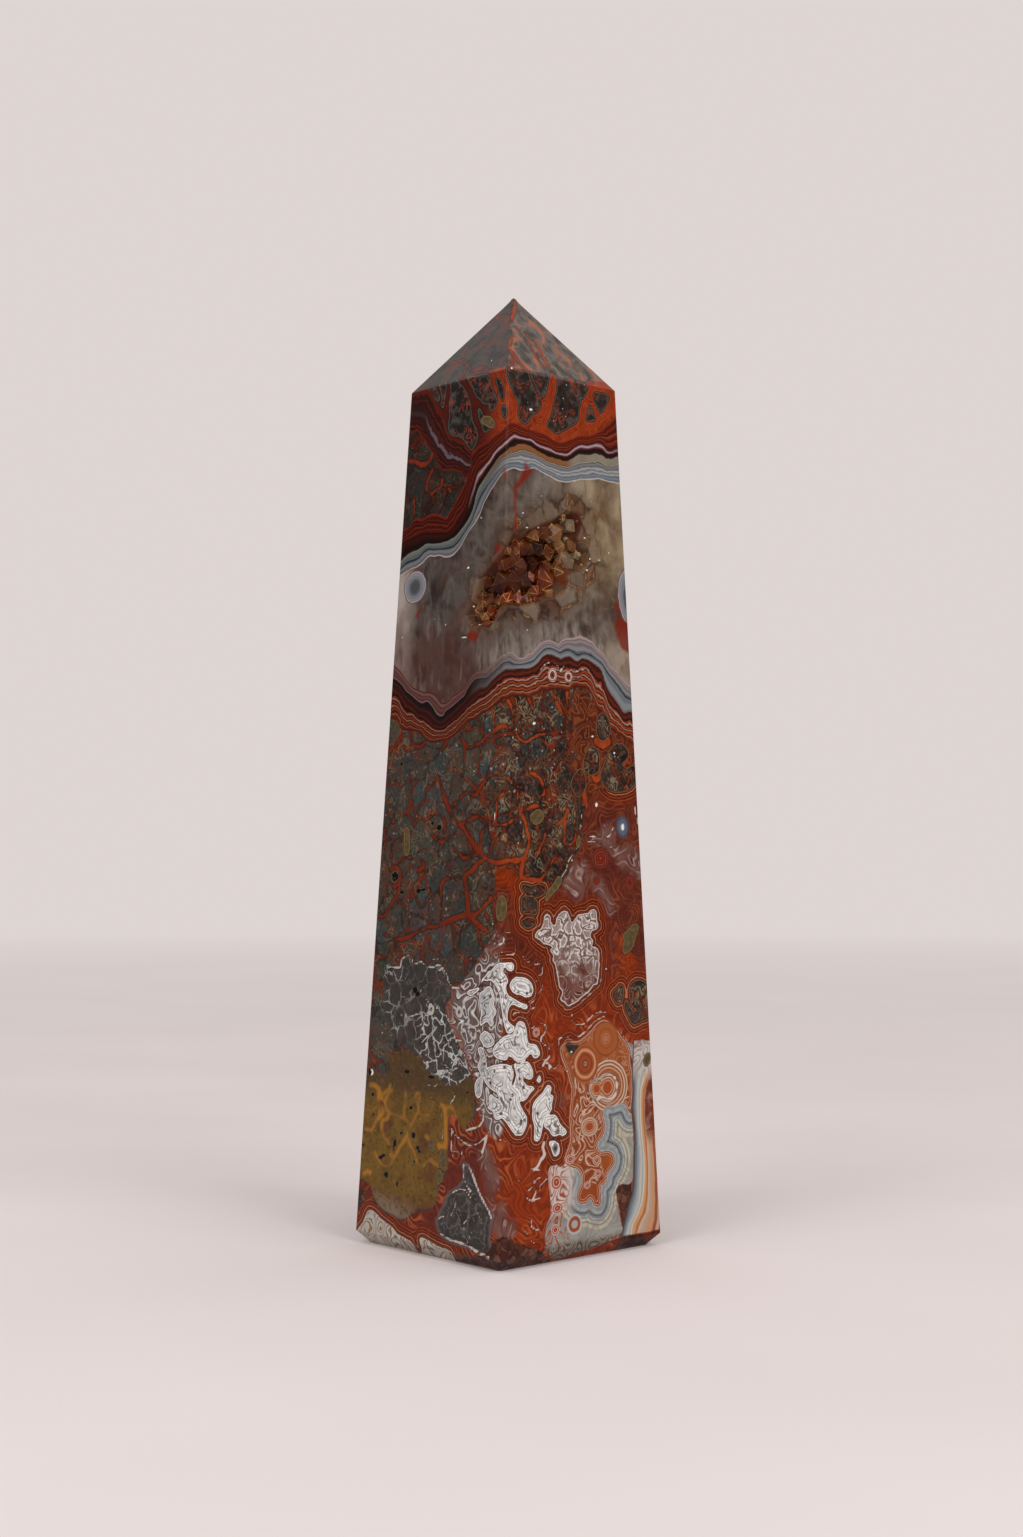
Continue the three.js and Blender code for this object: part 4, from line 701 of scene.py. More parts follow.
    (0.05, [(4.4, 64.4), (6.4, 64.2), (8.0, 64.2), (9.3, 64.1), (10.0, 64.4), (11.0, 64.7), (12.0, 64.8)]),
    (0.04, [(-14.8, 77.8), (-13.8, 76.9), (-13.0, 75.9), (-12.5, 75.4)]),
    (0.06, [(12.0, 50.0), (11.8, 48.5), (11.5, 47.0), (11.4, 46.0), (11.0, 45.2), (10.2, 44.4), (9.8, 43.8),
            (9.5, 43.0), (8.8, 42.2), (8.2, 41.4), (7.6, 40.6), (6.4, 39.8)]),
    (0.07, [(-9.8, 3.0), (-9.0, 2.7), (-8.2, 2.4), (-7.8, 2.5), (-6.4, 2.4), (-5.0, 2.2), (-3.2, 1.7),
            (-1.6, 1.3)]),
    (0.06, [(19.0, 23.5), (20.0, 23.0), (20.8, 22.8), (21.5, 23.5), (22.4, 23.1), (23.2, 23.2)]),
    (0.05, [(11.6, 28.1), (13.2, 29.0), (14.2, 29.6), (15.0, 30.4), (15.2, 31.6), (15.1, 33.0)]),
]

# Fragments of yellow stone
FRAGMENTS = [
    [(18.6, 35.6), (19.2, 36), (20.3, 36.8), (21.1, 36.5), (21, 35.9), (20.6, 35.2), (20.2, 34.2),
     (19.6, 33.7), (18.8, 33.4), (18.5, 34), (18.7, 35)],
    [(-4.4, 93.8), (-3.9, 94.0), (-3.2, 93.9), (-2.5, 93.6), (-2.1, 92.9), (-2.2, 92.5), (-2.9, 92.6),
     (-3.7, 93.0), (-4.3, 93.3)],
    [(4.0, 49.0), (4.8, 49.6), (5.6, 49.7), (6.1, 49.0), (5.6, 48.3), (4.6, 48.1)],
    [(7.5, 41.4), (8.3, 42.3), (8.9, 42.1), (8.6, 41.3), (8.0, 40.8), (7.2, 40.1), (6.4, 39.6), (6.6, 40.6)],
    [(11.4, 45.4), (11.7, 46.2), (11.5, 47.0), (11.1, 46.0)],
    [(-11.8, 13.0), (-10.9, 13.0), (-10.9, 11.9), (-11.7, 11.9)],
    [(-9.9, 12.0), (-9.1, 12.0), (-8.9, 10.3), (-9.9, 10.3)],
    [(-10.4, 9.8), (-9.6, 9.7), (-9.4, 9.0), (-9.9, 8.4), (-10.4, 8.3)],
    [(-17.0, 47.6), (-16.2, 47.6), (-16.0, 45.2), (-16.9, 44.8)],
    [(-0.9, 38.0), (-0.7, 40.0), (0.1, 40.3), (0.7, 39.4), (0.5, 38.2), (0, 37.6)],
    [(22.0, 21.3), (22.6, 21.9), (23.3, 21.7), (23.0, 20.9), (22.5, 20.5), (22.1, 20.7)],
]

# Brighter orange in the red-brown stone
ORANGE_PATCHES = [
    [(12.3, 65.6), (13, 65.8), (14, 66.0), (14.6, 65.8), (14.9, 65.2), (14.9, 64.4), (14.6, 63.4),
     (13.8, 64.0), (12.8, 64.7)],
    [(18.3, 33.2), (19, 33.5), (20, 33.4), (20.6, 32.6), (20.6, 31.5), (20, 30.8), (19, 30.8), (18.4, 31.6),
     (18.2, 32.4)],
    [(17.8, 35.2), (18.4, 35.0), (18.3, 33.4), (17.9, 32.6), (17.7, 34.0)],
    [(2.4, 42.2), (3.0, 41.6), (2.9, 40.4), (1.8, 40.2), (0.4, 41.2), (-0.9, 41.2), (-1.0, 43.6),
     (0.6, 43.6)],
    [(16.2, 26.8), (15.6, 28.2), (15.8, 29.6), (17.0, 30.6), (18.0, 30.6), (18.8, 29.4), (18.9, 27.8),
     (17.8, 27.0)],
    [(4.4, 24.6), (4.6, 27.4), (5.6, 29.6), (6.6, 31.6), (7.2, 30.2), (7.6, 28.2), (8.8, 27.6), (10.4, 27.2),
     (11.2, 25.4), (10.4, 24.6), (8.6, 24.8), (7.6, 23.8), (7.4, 22.4), (6.2, 23.2)],
    [(2.0, 12.6), (3.4, 12.2), (5.4, 9.6), (6.8, 10.4), (7.6, 8.2), (7.2, 6.4), (6.4, 4.8), (5.4, 3.2),
     (3.8, 3.2), (2.6, 5.4), (1.8, 8.6)],
    [(2.7, 3.0), (3.2, 3.6), (2.8, 5.0)],
]

# Rust stains
RUST = [
    [(2.6, 88.6), (3.2, 88.3), (3.8, 87.8), (3.8, 87.3), (3.0, 86.6), (2.2, 85.8), (1.4, 85.2), (1.0, 85.6),
     (1.8, 86.4), (2.2, 87.2), (2.6, 87.8)],
    [(1.1, 85.4), (1.7, 84.9), (1.5, 83.4), (1.7, 82.0), (1.9, 80.6), (1.3, 80.8), (1.2, 82.4), (1.1, 84.0)],
    [(-6.9, 69.3), (-5.9, 69.7), (-4.9, 69.6), (-4.4, 69.1), (-4.7, 68.7), (-5.4, 68.4), (-6.2, 68.9)],
    [(-0.6, 87.4), (0, 87.4), (0, 86.4), (-0.5, 86.7)],
    [(17.0, 71.8), (18.4, 72.0), (19.8, 71.0), (19.8, 68.4), (18.4, 68.4), (17.4, 69.8)],
    [(16.9, 74.0), (17.6, 73.8), (17.8, 72.6), (17.2, 72.6)],
    [(-15.6, 72.2), (-15.2, 72.7), (-14.7, 73.5), (-14.3, 73.5), (-14.6, 72.8), (-15.1, 72.1)],
    [(-13.0, 70.4), (-12.7, 70.9), (-12.5, 70.5)],
    [(0.1, 99.5), (0.6, 101.6), (1.2, 100.2), (0.9, 99.4)],
    [(-1.9, 78.6), (-1.2, 79.3), (-0.8, 79.0), (-1.2, 78.3)],
    [(-15.2, 77.95), (-15.0, 77.75), (-16.2, 77.6), (-17.0, 77.6), (-17.6, 77.2), (-17.4, 77.5),
     (-16.8, 77.8), (-16.0, 77.8)],
]

# Pits in the polish, painted dark as the shade inside them: across, height, half of the width, half of the
# height
PITS = [
    (-22.1, 17.1, 0.25, 0.25), (-17.3, 15.8, 0.15, 0.15), (-15.2, 16.2, 0.2, 0.2), (-16.8, 13.2, 0.24, 0.2),
    (-14.6, 13.2, 0.35, 0.35), (-13.8, 11.9, 0.3, 0.28), (-13.5, 11.5, 0.26, 0.22), (-17.9, 12.0, 0.3, 0.45),
    (-18.3, 11.3, 0.35, 0.3), (-20.5, 10.1, 0.35, 0.22), (-19.9, 10.4, 0.35, 0.2), (-19.4, 8.3, 0.4, 0.35),
    (-17.4, 7.5, 0.2, 0.4), (-14.4, 10.3, 0.25, 0.15), (-10.9, 15.3, 0.25, 0.12), (-21.9, 14.9, 0.2, 0.2),
    (-23.7, 11.2, 0.25, 0.2), (-11.6, 11.2, 0.2, 0.12), (-15.9, 20.2, 0.55, 0.25), (-11.6, 19.9, 0.7, 0.2),
    (-18.7, 42.2, 0.6, 0.6), (-17.3, 40.4, 0.5, 0.22), (-14.4, 40.6, 0.5, 0.3), (-13.4, 40.8, 0.5, 0.15),
    (-15.0, 29.4, 0.45, 0.35), (-14.2, 29.0, 0.45, 0.3), (-17.7, 55.2, 0.3, 0.25), (-10.8, 47.8, 0.5, 0.3),
    (-12.0, 48.3, 0.25, 0.25), (-23.0, 19.6, 0.35, 0.4), (-6.9, 69.1, 0.3, 0.2), (-5.4, 18.7, 0.35, 0.15),
    (-29.0, 12.0, 0.5, 0.4), (-27.0, 45.0, 0.4, 0.5), (29.0, 70.0, 0.5, 0.3),
]

# Bright glints, in the same way
GLINTS = [
    (12.5, 77.2, 0.22, 0.12), (13.0, 78.6, 0.14, 0.16), (12.1, 80.9, 0.2, 0.1), (13.8, 80.0, 0.12, 0.12),
    (14.4, 78.6, 0.14, 0.1), (-4.9, 71.9, 0.3, 0.1), (-5.7, 72.6, 0.14, 0.14), (-6.3, 77.0, 0.2, 0.12),
    (-7.4, 74.0, 0.2, 0.08), (16.6, 80.0, 0.3, 0.1), (16.0, 79.5, 0.22, 0.12), (-7.1, 69.2, 0.28, 0.12),
    (-6.9, 69.8, 0.25, 0.06), (-4.4, 71.0, 0.5, 0.12), (-4.6, 70.4, 0.2, 0.1), (2.5, 82.8, 0.16, 0.14),
    (3.2, 81.2, 0.16, 0.12), (3.8, 84.1, 0.1, 0.08), (5.3, 81.5, 0.2, 0.12), (0.6, 99.0, 0.16, 0.16),
    (-2.9, 100.6, 0.12, 0.2), (3.6, 94.7, 0.25, 0.16), (-1.4, 49.0, 0.1, 0.6), (-22.4, 19.6, 0.35, 0.35),
    (0.1, 46.7, 0.16, 0.1), (14.2, 50.4, 0.22, 0.25), (18.45, 47.9, 0.18, 0.42), (13.5, 58.2, 0.22, 0.14),
    (4.5, 59.3, 0.22, 0.2), (17.0, 56.4, 0.16, 0.16), (1.4, 57.6, 0.16, 0.14),
]

# The pocket's mouth
POCKET = [
    (-5.0, 70.2), (-6.9, 71.6), (-5.6, 73.2), (-4.6, 75.4), (-2.7, 76.9), (-0.9, 78.2), (0.2, 79.6),
    (1.4, 80.9), (3.2, 81.2), (5.4, 82.0), (7.4, 82.9), (9.4, 83.7), (11.3, 83.7), (11.8, 82.0), (11.2, 80.6),
    (12.4, 79.4), (12.8, 78.0), (11.6, 76.9), (9.8, 76.4), (9.6, 74.8), (8.0, 73.6), (5.6, 72.9), (2.6, 72.0),
    (0.2, 71.9), (-1.4, 70.8), (-2.7, 69.8),
]
POCKET_DEPTH = 2.6
POCKET_WALL = 2.6  # how far in from its mouth the pocket reaches its full depth
POCKET_BLEND = 5.0  # nearer to the front corner than this it is dug in between the two faces' directions

# The drawn crystals of the pocket: across, height, radius, depth of the tip, lean across, lean up, and tone
# A tone of 0 is dark brown, 0.3 red-brown, 0.55 amber, 0.8 bright orange and 1 clear grey
CRYSTALS = [
    (7.5, 75.3, 2.00, 0.30, 0.25, -0.15, 0.74), (5.2, 73.9, 1.05, 0.30, -0.10, -0.25, 0.84),
    (-2.1, 75.0, 2.00, 0.45, -0.30, 0.05, 0.16), (0.4, 74.9, 1.80, 0.60, 0.10, -0.05, 0.20),
    (3.2, 74.7, 1.70, 0.75, 0.05, -0.20, 0.18), (1.5, 77.0, 1.50, 0.70, -0.10, 0.10, 0.28),
    (3.9, 77.1, 1.50, 1.00, 0.05, 0.05, 0.10), (5.9, 77.5, 1.35, 1.10, 0.10, 0.05, 0.14),
    (-0.7, 77.3, 1.10, 0.40, -0.30, 0.30, 0.34), (0.9, 79.2, 1.20, 0.35, -0.20, 0.25, 0.66),
    (2.6, 79.5, 1.30, 0.55, -0.05, 0.25, 0.32), (4.4, 79.5, 1.30, 0.70, 0.05, 0.20, 0.26),
    (6.3, 79.6, 1.30, 0.80, 0.10, 0.15, 0.12), (4.7, 81.1, 1.10, 0.30, 0.00, 0.40, 0.62),
    (6.6, 81.6, 1.30, 0.35, 0.10, 0.35, 0.40), (8.0, 79.0, 1.20, 0.70, 0.25, 0.05, 0.46),
    (8.9, 81.6, 1.60, 0.30, 0.20, 0.25, 0.58), (10.6, 82.7, 1.10, 0.20, 0.25, 0.35, 0.90),
    (10.7, 78.1, 1.90, 0.25, 0.30, 0.05, 0.92), (9.2, 79.9, 1.10, 0.35, 0.20, 0.15, 0.60),
    (10.9, 80.2, 1.00, 0.25, 0.30, 0.25, 0.56), (9.2, 76.7, 1.10, 0.40, 0.30, -0.10, 0.50),
    (7.6, 77.2, 1.00, 0.80, 0.25, 0.00, 0.40), (7.4, 73.6, 1.00, 0.20, 0.10, -0.40, 0.60),
    (2.0, 72.7, 0.90, 0.25, 0.00, -0.40, 0.80), (3.5, 72.9, 0.80, 0.25, 0.05, -0.40, 0.40),
    (0.3, 72.7, 0.90, 0.30, -0.10, -0.35, 0.82), (1.6, 73.4, 0.90, 0.60, 0.00, -0.20, 0.86),
    (-1.2, 72.5, 0.90, 0.40, -0.10, -0.30, 0.42), (-3.6, 72.7, 1.20, 0.40, -0.30, -0.10, 0.36),
    (-5.4, 72.1, 1.20, 0.25, -0.40, -0.10, 0.48), (-5.1, 73.7, 0.90, 0.20, -0.40, 0.10, 0.50),
    (-2.7, 71.3, 1.00, 0.35, -0.05, -0.40, 0.76), (-4.2, 70.9, 0.80, 0.30, -0.20, -0.40, 0.58),
    (-3.9, 75.3, 0.90, 0.25, -0.40, 0.20, 0.30),
]
CRYSTAL_SIDES = 6
CRYSTAL_LENGTH = 4.0
CRYSTAL_ROOT = 0.9  # the size of a crystal's root, as a share of its radius
CRYSTAL_DROPS = (0.75, 0.45)  # how far the faces of its point reach down, by turns, in radii
CRYSTAL_BEVEL = 0.04
CRYSTAL_COVER = 0.12  # how far the crystals stay under the polished faces

# Small crystals are strewn between them at random
SMALL_CRYSTALS = 70
SMALL_SEED = 4
SMALL_ACROSS = (-7.0, 12.9)
SMALL_HEIGHT = (69.8, 83.8)
SMALL_RADIUS = (0.3, 0.8)
SMALL_LEAN = 0.5
CLEARANCE = 0.75  # how far they stay from the middle of a drawn one, in its radii

# Small open hollows in the polish: across, height, radius
HOLLOWS = [
    (-6.9, 69.2, 0.45), (-5.2, 70.7, 0.5), (-17.8, 22.4, 0.6), (-20.6, 16.0, 0.5), (-14.6, 16.2, 0.45),
    (-18.9, 11.2, 0.5), (-23.0, 19.6, 0.45), (-15.0, 29.4, 0.5), (-18.7, 42.2, 0.5), (-14.4, 40.7, 0.45),
]

# The stone's mesh: rows up to a height with a step, and columns as shares of a face
ROW_SPANS = [
    (1.2, 0.24), (1.6, 0.1), (30.0, 0.22), (57.0, 0.3), (69.4, 0.23), (84.6, 0.26), (93.4, 0.22),
    (98.5, 0.32), (99.1, 0.1), (109.4, 0.42), (109.8, 0.2),
]
MATERIAL_TOPS = [39.0, 71.0]  # the lower and the middle material end here
EDGE_COLUMNS = [0.0, 0.004, 0.008, 0.0125]
SHOWN_COLUMNS = 76
HIDDEN_COLUMNS = 20

# How each pattern's edges wander: the noise's size and how far it moves them, in millimetres, and its seed
WANDER = {
    "across": (3, 0.25, 10), "upper": (1.2, 0.07, 11), "lower": (1.2, 0.07, 12),
    "jasper": (1.0, 0.08, 13), "mauve": (1.2, 0.2, 14), "orange": (0.9, 0.05, 15),
    "blue_grey": (0.9, 0.06, 16), "white": (0.6, 0.05, 17), "lacy": (0.6, 0.08, 18),
    "yellow": (0.9, 0.1, 19), "crackled": (0.9, 0.15, 20), "pebbled": (0.7, 0.12, 21),
    "island": (0.6, 0.06, 22), "gold": (0.8, 0.06, 23), "orange_patch": (1.2, 0.25, 24),
    "edge": (1.5, 0.06, 25), "pale_line": (0.5, 0.03, 28), "fragment": (0.5, 0.05, 29),
    "rust": (0.7, 0.1, 30), "lens": (0.8, 0.1, 31), "pit": (0.3, 0.15, 34), "glint": (0.3, 0.2, 36),
    "grey_ground": (1.2, 0.3, 50), "lobe": (1.4, 0.08, 55), "warm": (1.6, 0.6, 4), "vein": (0.7, 0.1, 1),
    "cell": (0.6, 0.06, 2), "cell_field": (0.9, 0.12, 3), "mouth": (1.6, 0.5, 29), "tone": (0.9, 0.05, 1),
}
RING_WANDER = (1.1, 0.07)
RING_SEED = 40
LINE_SOFTNESS = 0.15  # of thin lines, as a share of their spacing
WHITE = (224, 222, 218)


def side_at(z):
    """The stone's width at a height, never quite nothing."""
    heights = [0, BEVEL_HEIGHT, SHOULDER_HEIGHT, HEIGHT]
    return np.maximum(np.interp(z, heights, [FOOT_SIDE, BASE_SIDE, SHOULDER_SIDE, 0]), TIP_SIDE)


def lean_at(z):
    """The offset of the stone's axis at a height."""
    return LEAN * np.maximum(0, z - BEVEL_HEIGHT) / (HEIGHT - BEVEL_HEIGHT)


def row_heights():
    """The heights of the mesh's rows."""
    heights = [0.0]
    for top, step in ROW_SPANS:
        count = round((top - heights[-1]) / step)
        heights.extend(np.linspace(heights[-1], top, count + 1)[1:])
    return np.array(heights)


def column_turns():
    """The turns of the mesh's columns."""
    turns = []
    last = EDGE_COLUMNS[-1]
    for face, count in ((-2, HIDDEN_COLUMNS), (-1, SHOWN_COLUMNS), (0, SHOWN_COLUMNS), (1, HIDDEN_COLUMNS)):
        middle = np.linspace(last, 1 - last, count + 1)[1:]
        shares = [*EDGE_COLUMNS, *middle, *(1 - share for share in EDGE_COLUMNS[2:0:-1])]
        turns.extend(face + share for share in shares)
    return np.array(turns)


HEIGHTS = row_heights()
TURNS = column_turns()
SIDES = side_at(HEIGHTS)


def splined(points, closed, steps=4):
    """A smooth line through the points, as an array of (across, height)."""
    points = np.array(points, dtype=float)
    if closed:
        ring = np.vstack([points[-1:], points, points[:2]])
    else:
        ring = np.vstack([2 * points[0] - points[1], points, 2 * points[-1] - points[-2]])
    s = (np.arange(steps) / steps)[:, None]
    pieces = []
    for p0, p1, p2, p3 in zip(ring, ring[1:], ring[2:], ring[3:]):
        bend = (2 * p0 - 5 * p1 + 4 * p2 - p3) * s**2 + (3 * p1 - p0 - 3 * p2 + p3) * s**3
        pieces.append(p1 + 0.5 * ((p2 - p0) * s + bend))
    pieces.append(ring[-2:-1] if not closed else pieces[0][:1])
    return np.vstack(pieces)


def distance_to(points, closed):
    """How far every vertex is from a drawn line along the skin, negative inside a closed one."""
    far = np.full((len(HEIGHTS), len(TURNS)), REACH)
    inside = np.zeros(far.shape, dtype=bool)
    line = splined(points, closed)
    for shift in (-FULL_TURN, 0, FULL_TURN):
        turns = line[:, 0] / side_at(line[:, 1]) + shift
        if turns.max() < -TURN_LIMIT or turns.min() > TURN_LIMIT:
            continue
        within = np.zeros(far.shape, dtype=bool)
        for t0, z0, t1, z1 in zip(turns, line[:, 1], turns[1:], line[1:, 1]):
            low, high = sorted((z0, z1))
            rows = slice(*np.searchsorted(HEIGHTS, (low - REACH, high + REACH)))
            reach = REACH / side_at(high)
            columns = slice(*np.searchsorted(TURNS, (min(t0, t1) - reach, max(t0, t1) + reach)))
            side = SIDES[rows, None]
            x = (TURNS[None, columns] - t0) * side
            y = HEIGHTS[rows, None] - z0
            run = (t1 - t0) * side
            rise = z1 - z0
            share = np.clip((x * run + y * rise) / (run**2 + rise**2 + 1e-9), 0, 1)
            gap = np.hypot(x - share * run, y - share * rise)
            far[rows, columns] = np.minimum(far[rows, columns], gap)
            if closed and low < high:
                rows = slice(*np.searchsorted(HEIGHTS, (low, high)))
                cut = t0 + (HEIGHTS[rows] - z0) / rise * (t1 - t0)
                within[rows] ^= TURNS[None, :] < cut[:, None]
        inside |= within
    return np.where(inside, -far, far)


def areas(outlines):
    """The distance to the nearest of several outlines, negative inside them."""
    return np.minimum.reduce([distance_to(outline, True) for outline in outlines])


def strokes(lines):
    """The distance to the nearest of several drawn lines, less half of its width."""
    return np.minimum.reduce([distance_to(points, False) - half for half, points in lines])


def rounds(middles):
    """How far every vertex is from the nearest of several ovals, in the oval's own radii."""
    least = np.full((len(HEIGHTS), len(TURNS)), 2 * REACH)
    for across, height, wide, high in middles:
        turn = across / side_at(height)
        away = (TURNS - turn + FULL_TURN / 2) % FULL_TURN - FULL_TURN / 2
        x = away[None, :] * SIDES[:, None] / wide
        y = (HEIGHTS[:, None] - height) / high
        least = np.minimum(least, np.hypot(x, y))
    return least


def level_height(points):
    """A level's height at every column, on a smooth curve through its points and closed round the back."""
    across, height = np.array(points, dtype=float).T
    turns = across / side_at(height)
    turns = np.concatenate([turns[-2:] - FULL_TURN, turns, turns[:2] + FULL_TURN])
    height = np.concatenate([height[-2:], height, height[:2]])
    slope = np.gradient(height, turns)
    i = np.clip(np.searchsorted(turns, TURNS) - 1, 0, len(turns) - 2)
    gap = turns[i + 1] - turns[i]
    s = (TURNS - turns[i]) / gap
    start = height[i] * (1 + 2 * s) * (1 - s) ** 2 + slope[i] * gap * s * (1 - s) ** 2
    end = height[i + 1] * (3 - 2 * s) * s**2 + slope[i + 1] * gap * s**2 * (s - 1)
    return start + end


def ranked(value, levels):
    """Where a value lies in a rising stack of levels: 0 on the first and 1 on the second."""
    rank = value - levels[0]
    for i, (low, high) in enumerate(zip(levels, levels[1:])):
        rank = np.where(value > low, i + (value - low) / np.maximum(high - low, LEAST_BAND), rank)
    return np.where(value > levels[-1], len(levels) - 1 + value - levels[-1], rank)


def stacked(bands, way):
    """Every vertex's place in a stack of bands that rises (way 1) or goes down (way -1)."""
    levels = [way * level_height(band)[None, :] for band in bands]
    return ranked(way * HEIGHTS[:, None], levels)


def edge_stack():
    """Every vertex's place in the upright bands beside the right-hand corner."""
    across = TURNS[None, :] * SIDES[:, None]
    levels = []
    for band in EDGE_BANDS:
        places, heights = np.array(band).T
        levels.append(np.interp(HEIGHTS, heights, places)[:, None])
    return ranked(across, levels)


FACE_OUT = np.array([(-1, 0), (0, -1), (1, 0), (0, 1)])
FACE_ALONG = np.array([(0, -1), (1, 0), (0, 1), (-1, 0)])


def skin_at(turns, heights):
    """The point in millimetres and the outward direction on the polished stone, for arrays of places."""
    turns, heights = np.broadcast_arrays(turns, heights)
    face = np.clip(np.floor(turns).astype(int), -2, 1) + 2
    out = FACE_OUT[face].astype(float)
    along = FACE_ALONG[face].astype(float)
    side = side_at(heights)
    radius = np.minimum(ARRIS_RADIUS, side / 4)
    across = (turns - face + 2) * side
    turn = (np.pi / 4) * (np.clip(1 - (side - across) / radius, 0, 1) - np.clip(1 - across / radius, 0, 1))
    out = out * np.cos(turn)[..., None] + along * np.sin(turn)[..., None]
    inner = FACE_OUT[face] * (side / 2 - radius)[..., None]
    inner = inner + along * (np.clip(across, radius, side - radius) - side / 2)[..., None]
    flat = inner + out * radius[..., None] + lean_at(heights)[..., None]
    return np.concatenate([flat, heights[..., None]], -1), np.concatenate([out, 0 * heights[..., None]], -1)


def pocket_way(across):
    """The direction that the pocket is dug from, turned smoothly from one front face's to the other's."""
    turn = (np.pi / 4) * (1 + np.clip(across / POCKET_BLEND, -1, 1))
    return np.stack([np.sin(turn), -np.cos(turn), 0 * turn], -1)


def pocket_depth(mouth):
    """How deep the pocket is where its mouth's edge is this far away; negative is inside the mouth."""
    return POCKET_DEPTH * np.clip(-mouth / POCKET_WALL, 0, 1)


def add_mesh(name, vertices, faces, smooth=True):
    """A new object of this mesh, given in millimetres."""
    mesh = bpy.data.meshes.new(name)
    mesh.from_pydata((np.asarray(vertices) * MM).tolist(), [], faces)
    mesh.validate()
    mesh.polygons.foreach_set("use_smooth", [smooth] * len(mesh.polygons))
    made = bpy.data.objects.new(name, mesh)
    bpy.context.scene.collection.objects.link(made)
    return made


def stone_points(across, mouth):
    """The stone's surface, with its pocket and its hollows dug in."""
    points, outs = skin_at(TURNS[None, :], HEIGHTS[:, None])
    points = points - pocket_way(across) * pocket_depth(mouth)[..., None]
    dug = np.zeros(across.shape)
    for place, height, radius in HOLLOWS:
        away = np.hypot(across - place, HEIGHTS[:, None] - height)
        dug = np.maximum(dug, np.sqrt(np.maximum(0, radius**2 - away**2)))
    return points - outs * dug[..., None]


def stone_faces(rows, columns):
    """The faces of the grid, of the foot and of the tip, and the number of each one's material."""
    first = np.arange(columns)
    after = np.roll(first, -1)
    lower = (np.arange(rows - 1) * columns)[:, None]
    quads = np.stack([lower + first, lower + after, lower + columns + after, lower + columns + first], -1)
    foot = rows * columns
    top = foot - columns
    faces = quads.reshape(-1, 4).tolist()
    faces += np.stack([foot + first, foot + after, after, first], -1).tolist()
    faces += [(top + i, top + j, foot + columns) for i, j in zip(first.tolist(), after.tolist())]
    faces.append((foot + first)[::-1].tolist())
    parts = np.searchsorted(MATERIAL_TOPS, (HEIGHTS[1:] + HEIGHTS[:-1]) / 2)
    ends = [np.zeros(columns), np.full(columns, len(MATERIAL_TOPS)), [0]]
    return faces, np.concatenate([np.repeat(parts, columns), *ends]).astype(np.int32)


def stone_patterns(across, mouth):
    """What every pattern's painter has to know of each vertex, by the name of its attribute."""
    return {
        "across": across,
        "mouth": mouth,
        "upper": stacked(UPPER_BANDS, 1),
        "lens": stacked(LENS_BANDS, 1),
        "lower": stacked(LOWER_BANDS, -1),
        "edge": edge_stack(),
        "cell_field": areas(CELL_FIELDS),
        "cell": areas(CELLS),
        "vein": strokes(VEINS),
        "island": areas(ISLANDS),
        "jasper": areas(JASPER),
        "mauve": areas(MAUVE),
        "warm": areas(WARM),
        "grey_ground": areas(GREY_GROUND),
        "lobe": rounds(LOBES),
        "orange": areas(ORANGE),
        "blue_grey": areas(BLUE_GREY),
        "white": areas(WHITES),
        "lacy": areas(LACY),
        "yellow": areas(YELLOW),
        "gold": strokes(GOLD),
        "crackled": areas(CRACKLED),
        "pebbled": areas(PEBBLED),
        "pale_line": strokes(PALE_LINES),
        "fragment": areas(FRAGMENTS),
        "orange_patch": areas(ORANGE_PATCHES),
        "rust": areas(RUST),
        "pit": rounds(PITS),
        "glint": rounds(GLINTS),
        **{name: rounds(middles) for name, middles in RING_SETS.items()},
    }


def make_stone():
    """The whole stone as one closed mesh, with every pattern on its vertices."""
    across = TURNS[None, :] * SIDES[:, None]
    mouth = distance_to(POCKET, True)
    points = stone_points(across, mouth)
    ring = points[0] * (FOOT_RING, FOOT_RING, 1)
    tip = [(lean_at(HEIGHT), lean_at(HEIGHT), HEIGHT - TIP_BLUNTING)]
    faces, parts = stone_faces(*across.shape)
    made = add_mesh("agate_stone", np.vstack([points.reshape(-1, 3), ring, tip]), faces)
    made.data.polygons.foreach_set("material_index", parts)
    for name, values in stone_patterns(across, mouth).items():
        ends = [values[0], [values[-1].mean()]]
        attribute = made.data.attributes.new(name, "FLOAT", "POINT")
        attribute.data.foreach_set("value", np.concatenate([values.ravel(), *ends]).astype(np.float32))
    return made


def linear(colour):
    """A colour of 0 to 255 as Blender's linear red, green, blue and full alpha."""
    shares = [c / 255 for c in colour]
    return tuple(((s + 0.055) / 1.055) ** 2.4 if s > 0.04045 else s / 12.92 for s in shares) + (1.0,)


def prepared(colour):
    """A plain colour made linear; a socket or a linear colour stays as it is."""
    plain = isinstance(colour, tuple) and len(colour) == 3
    return linear(colour) if plain else colour


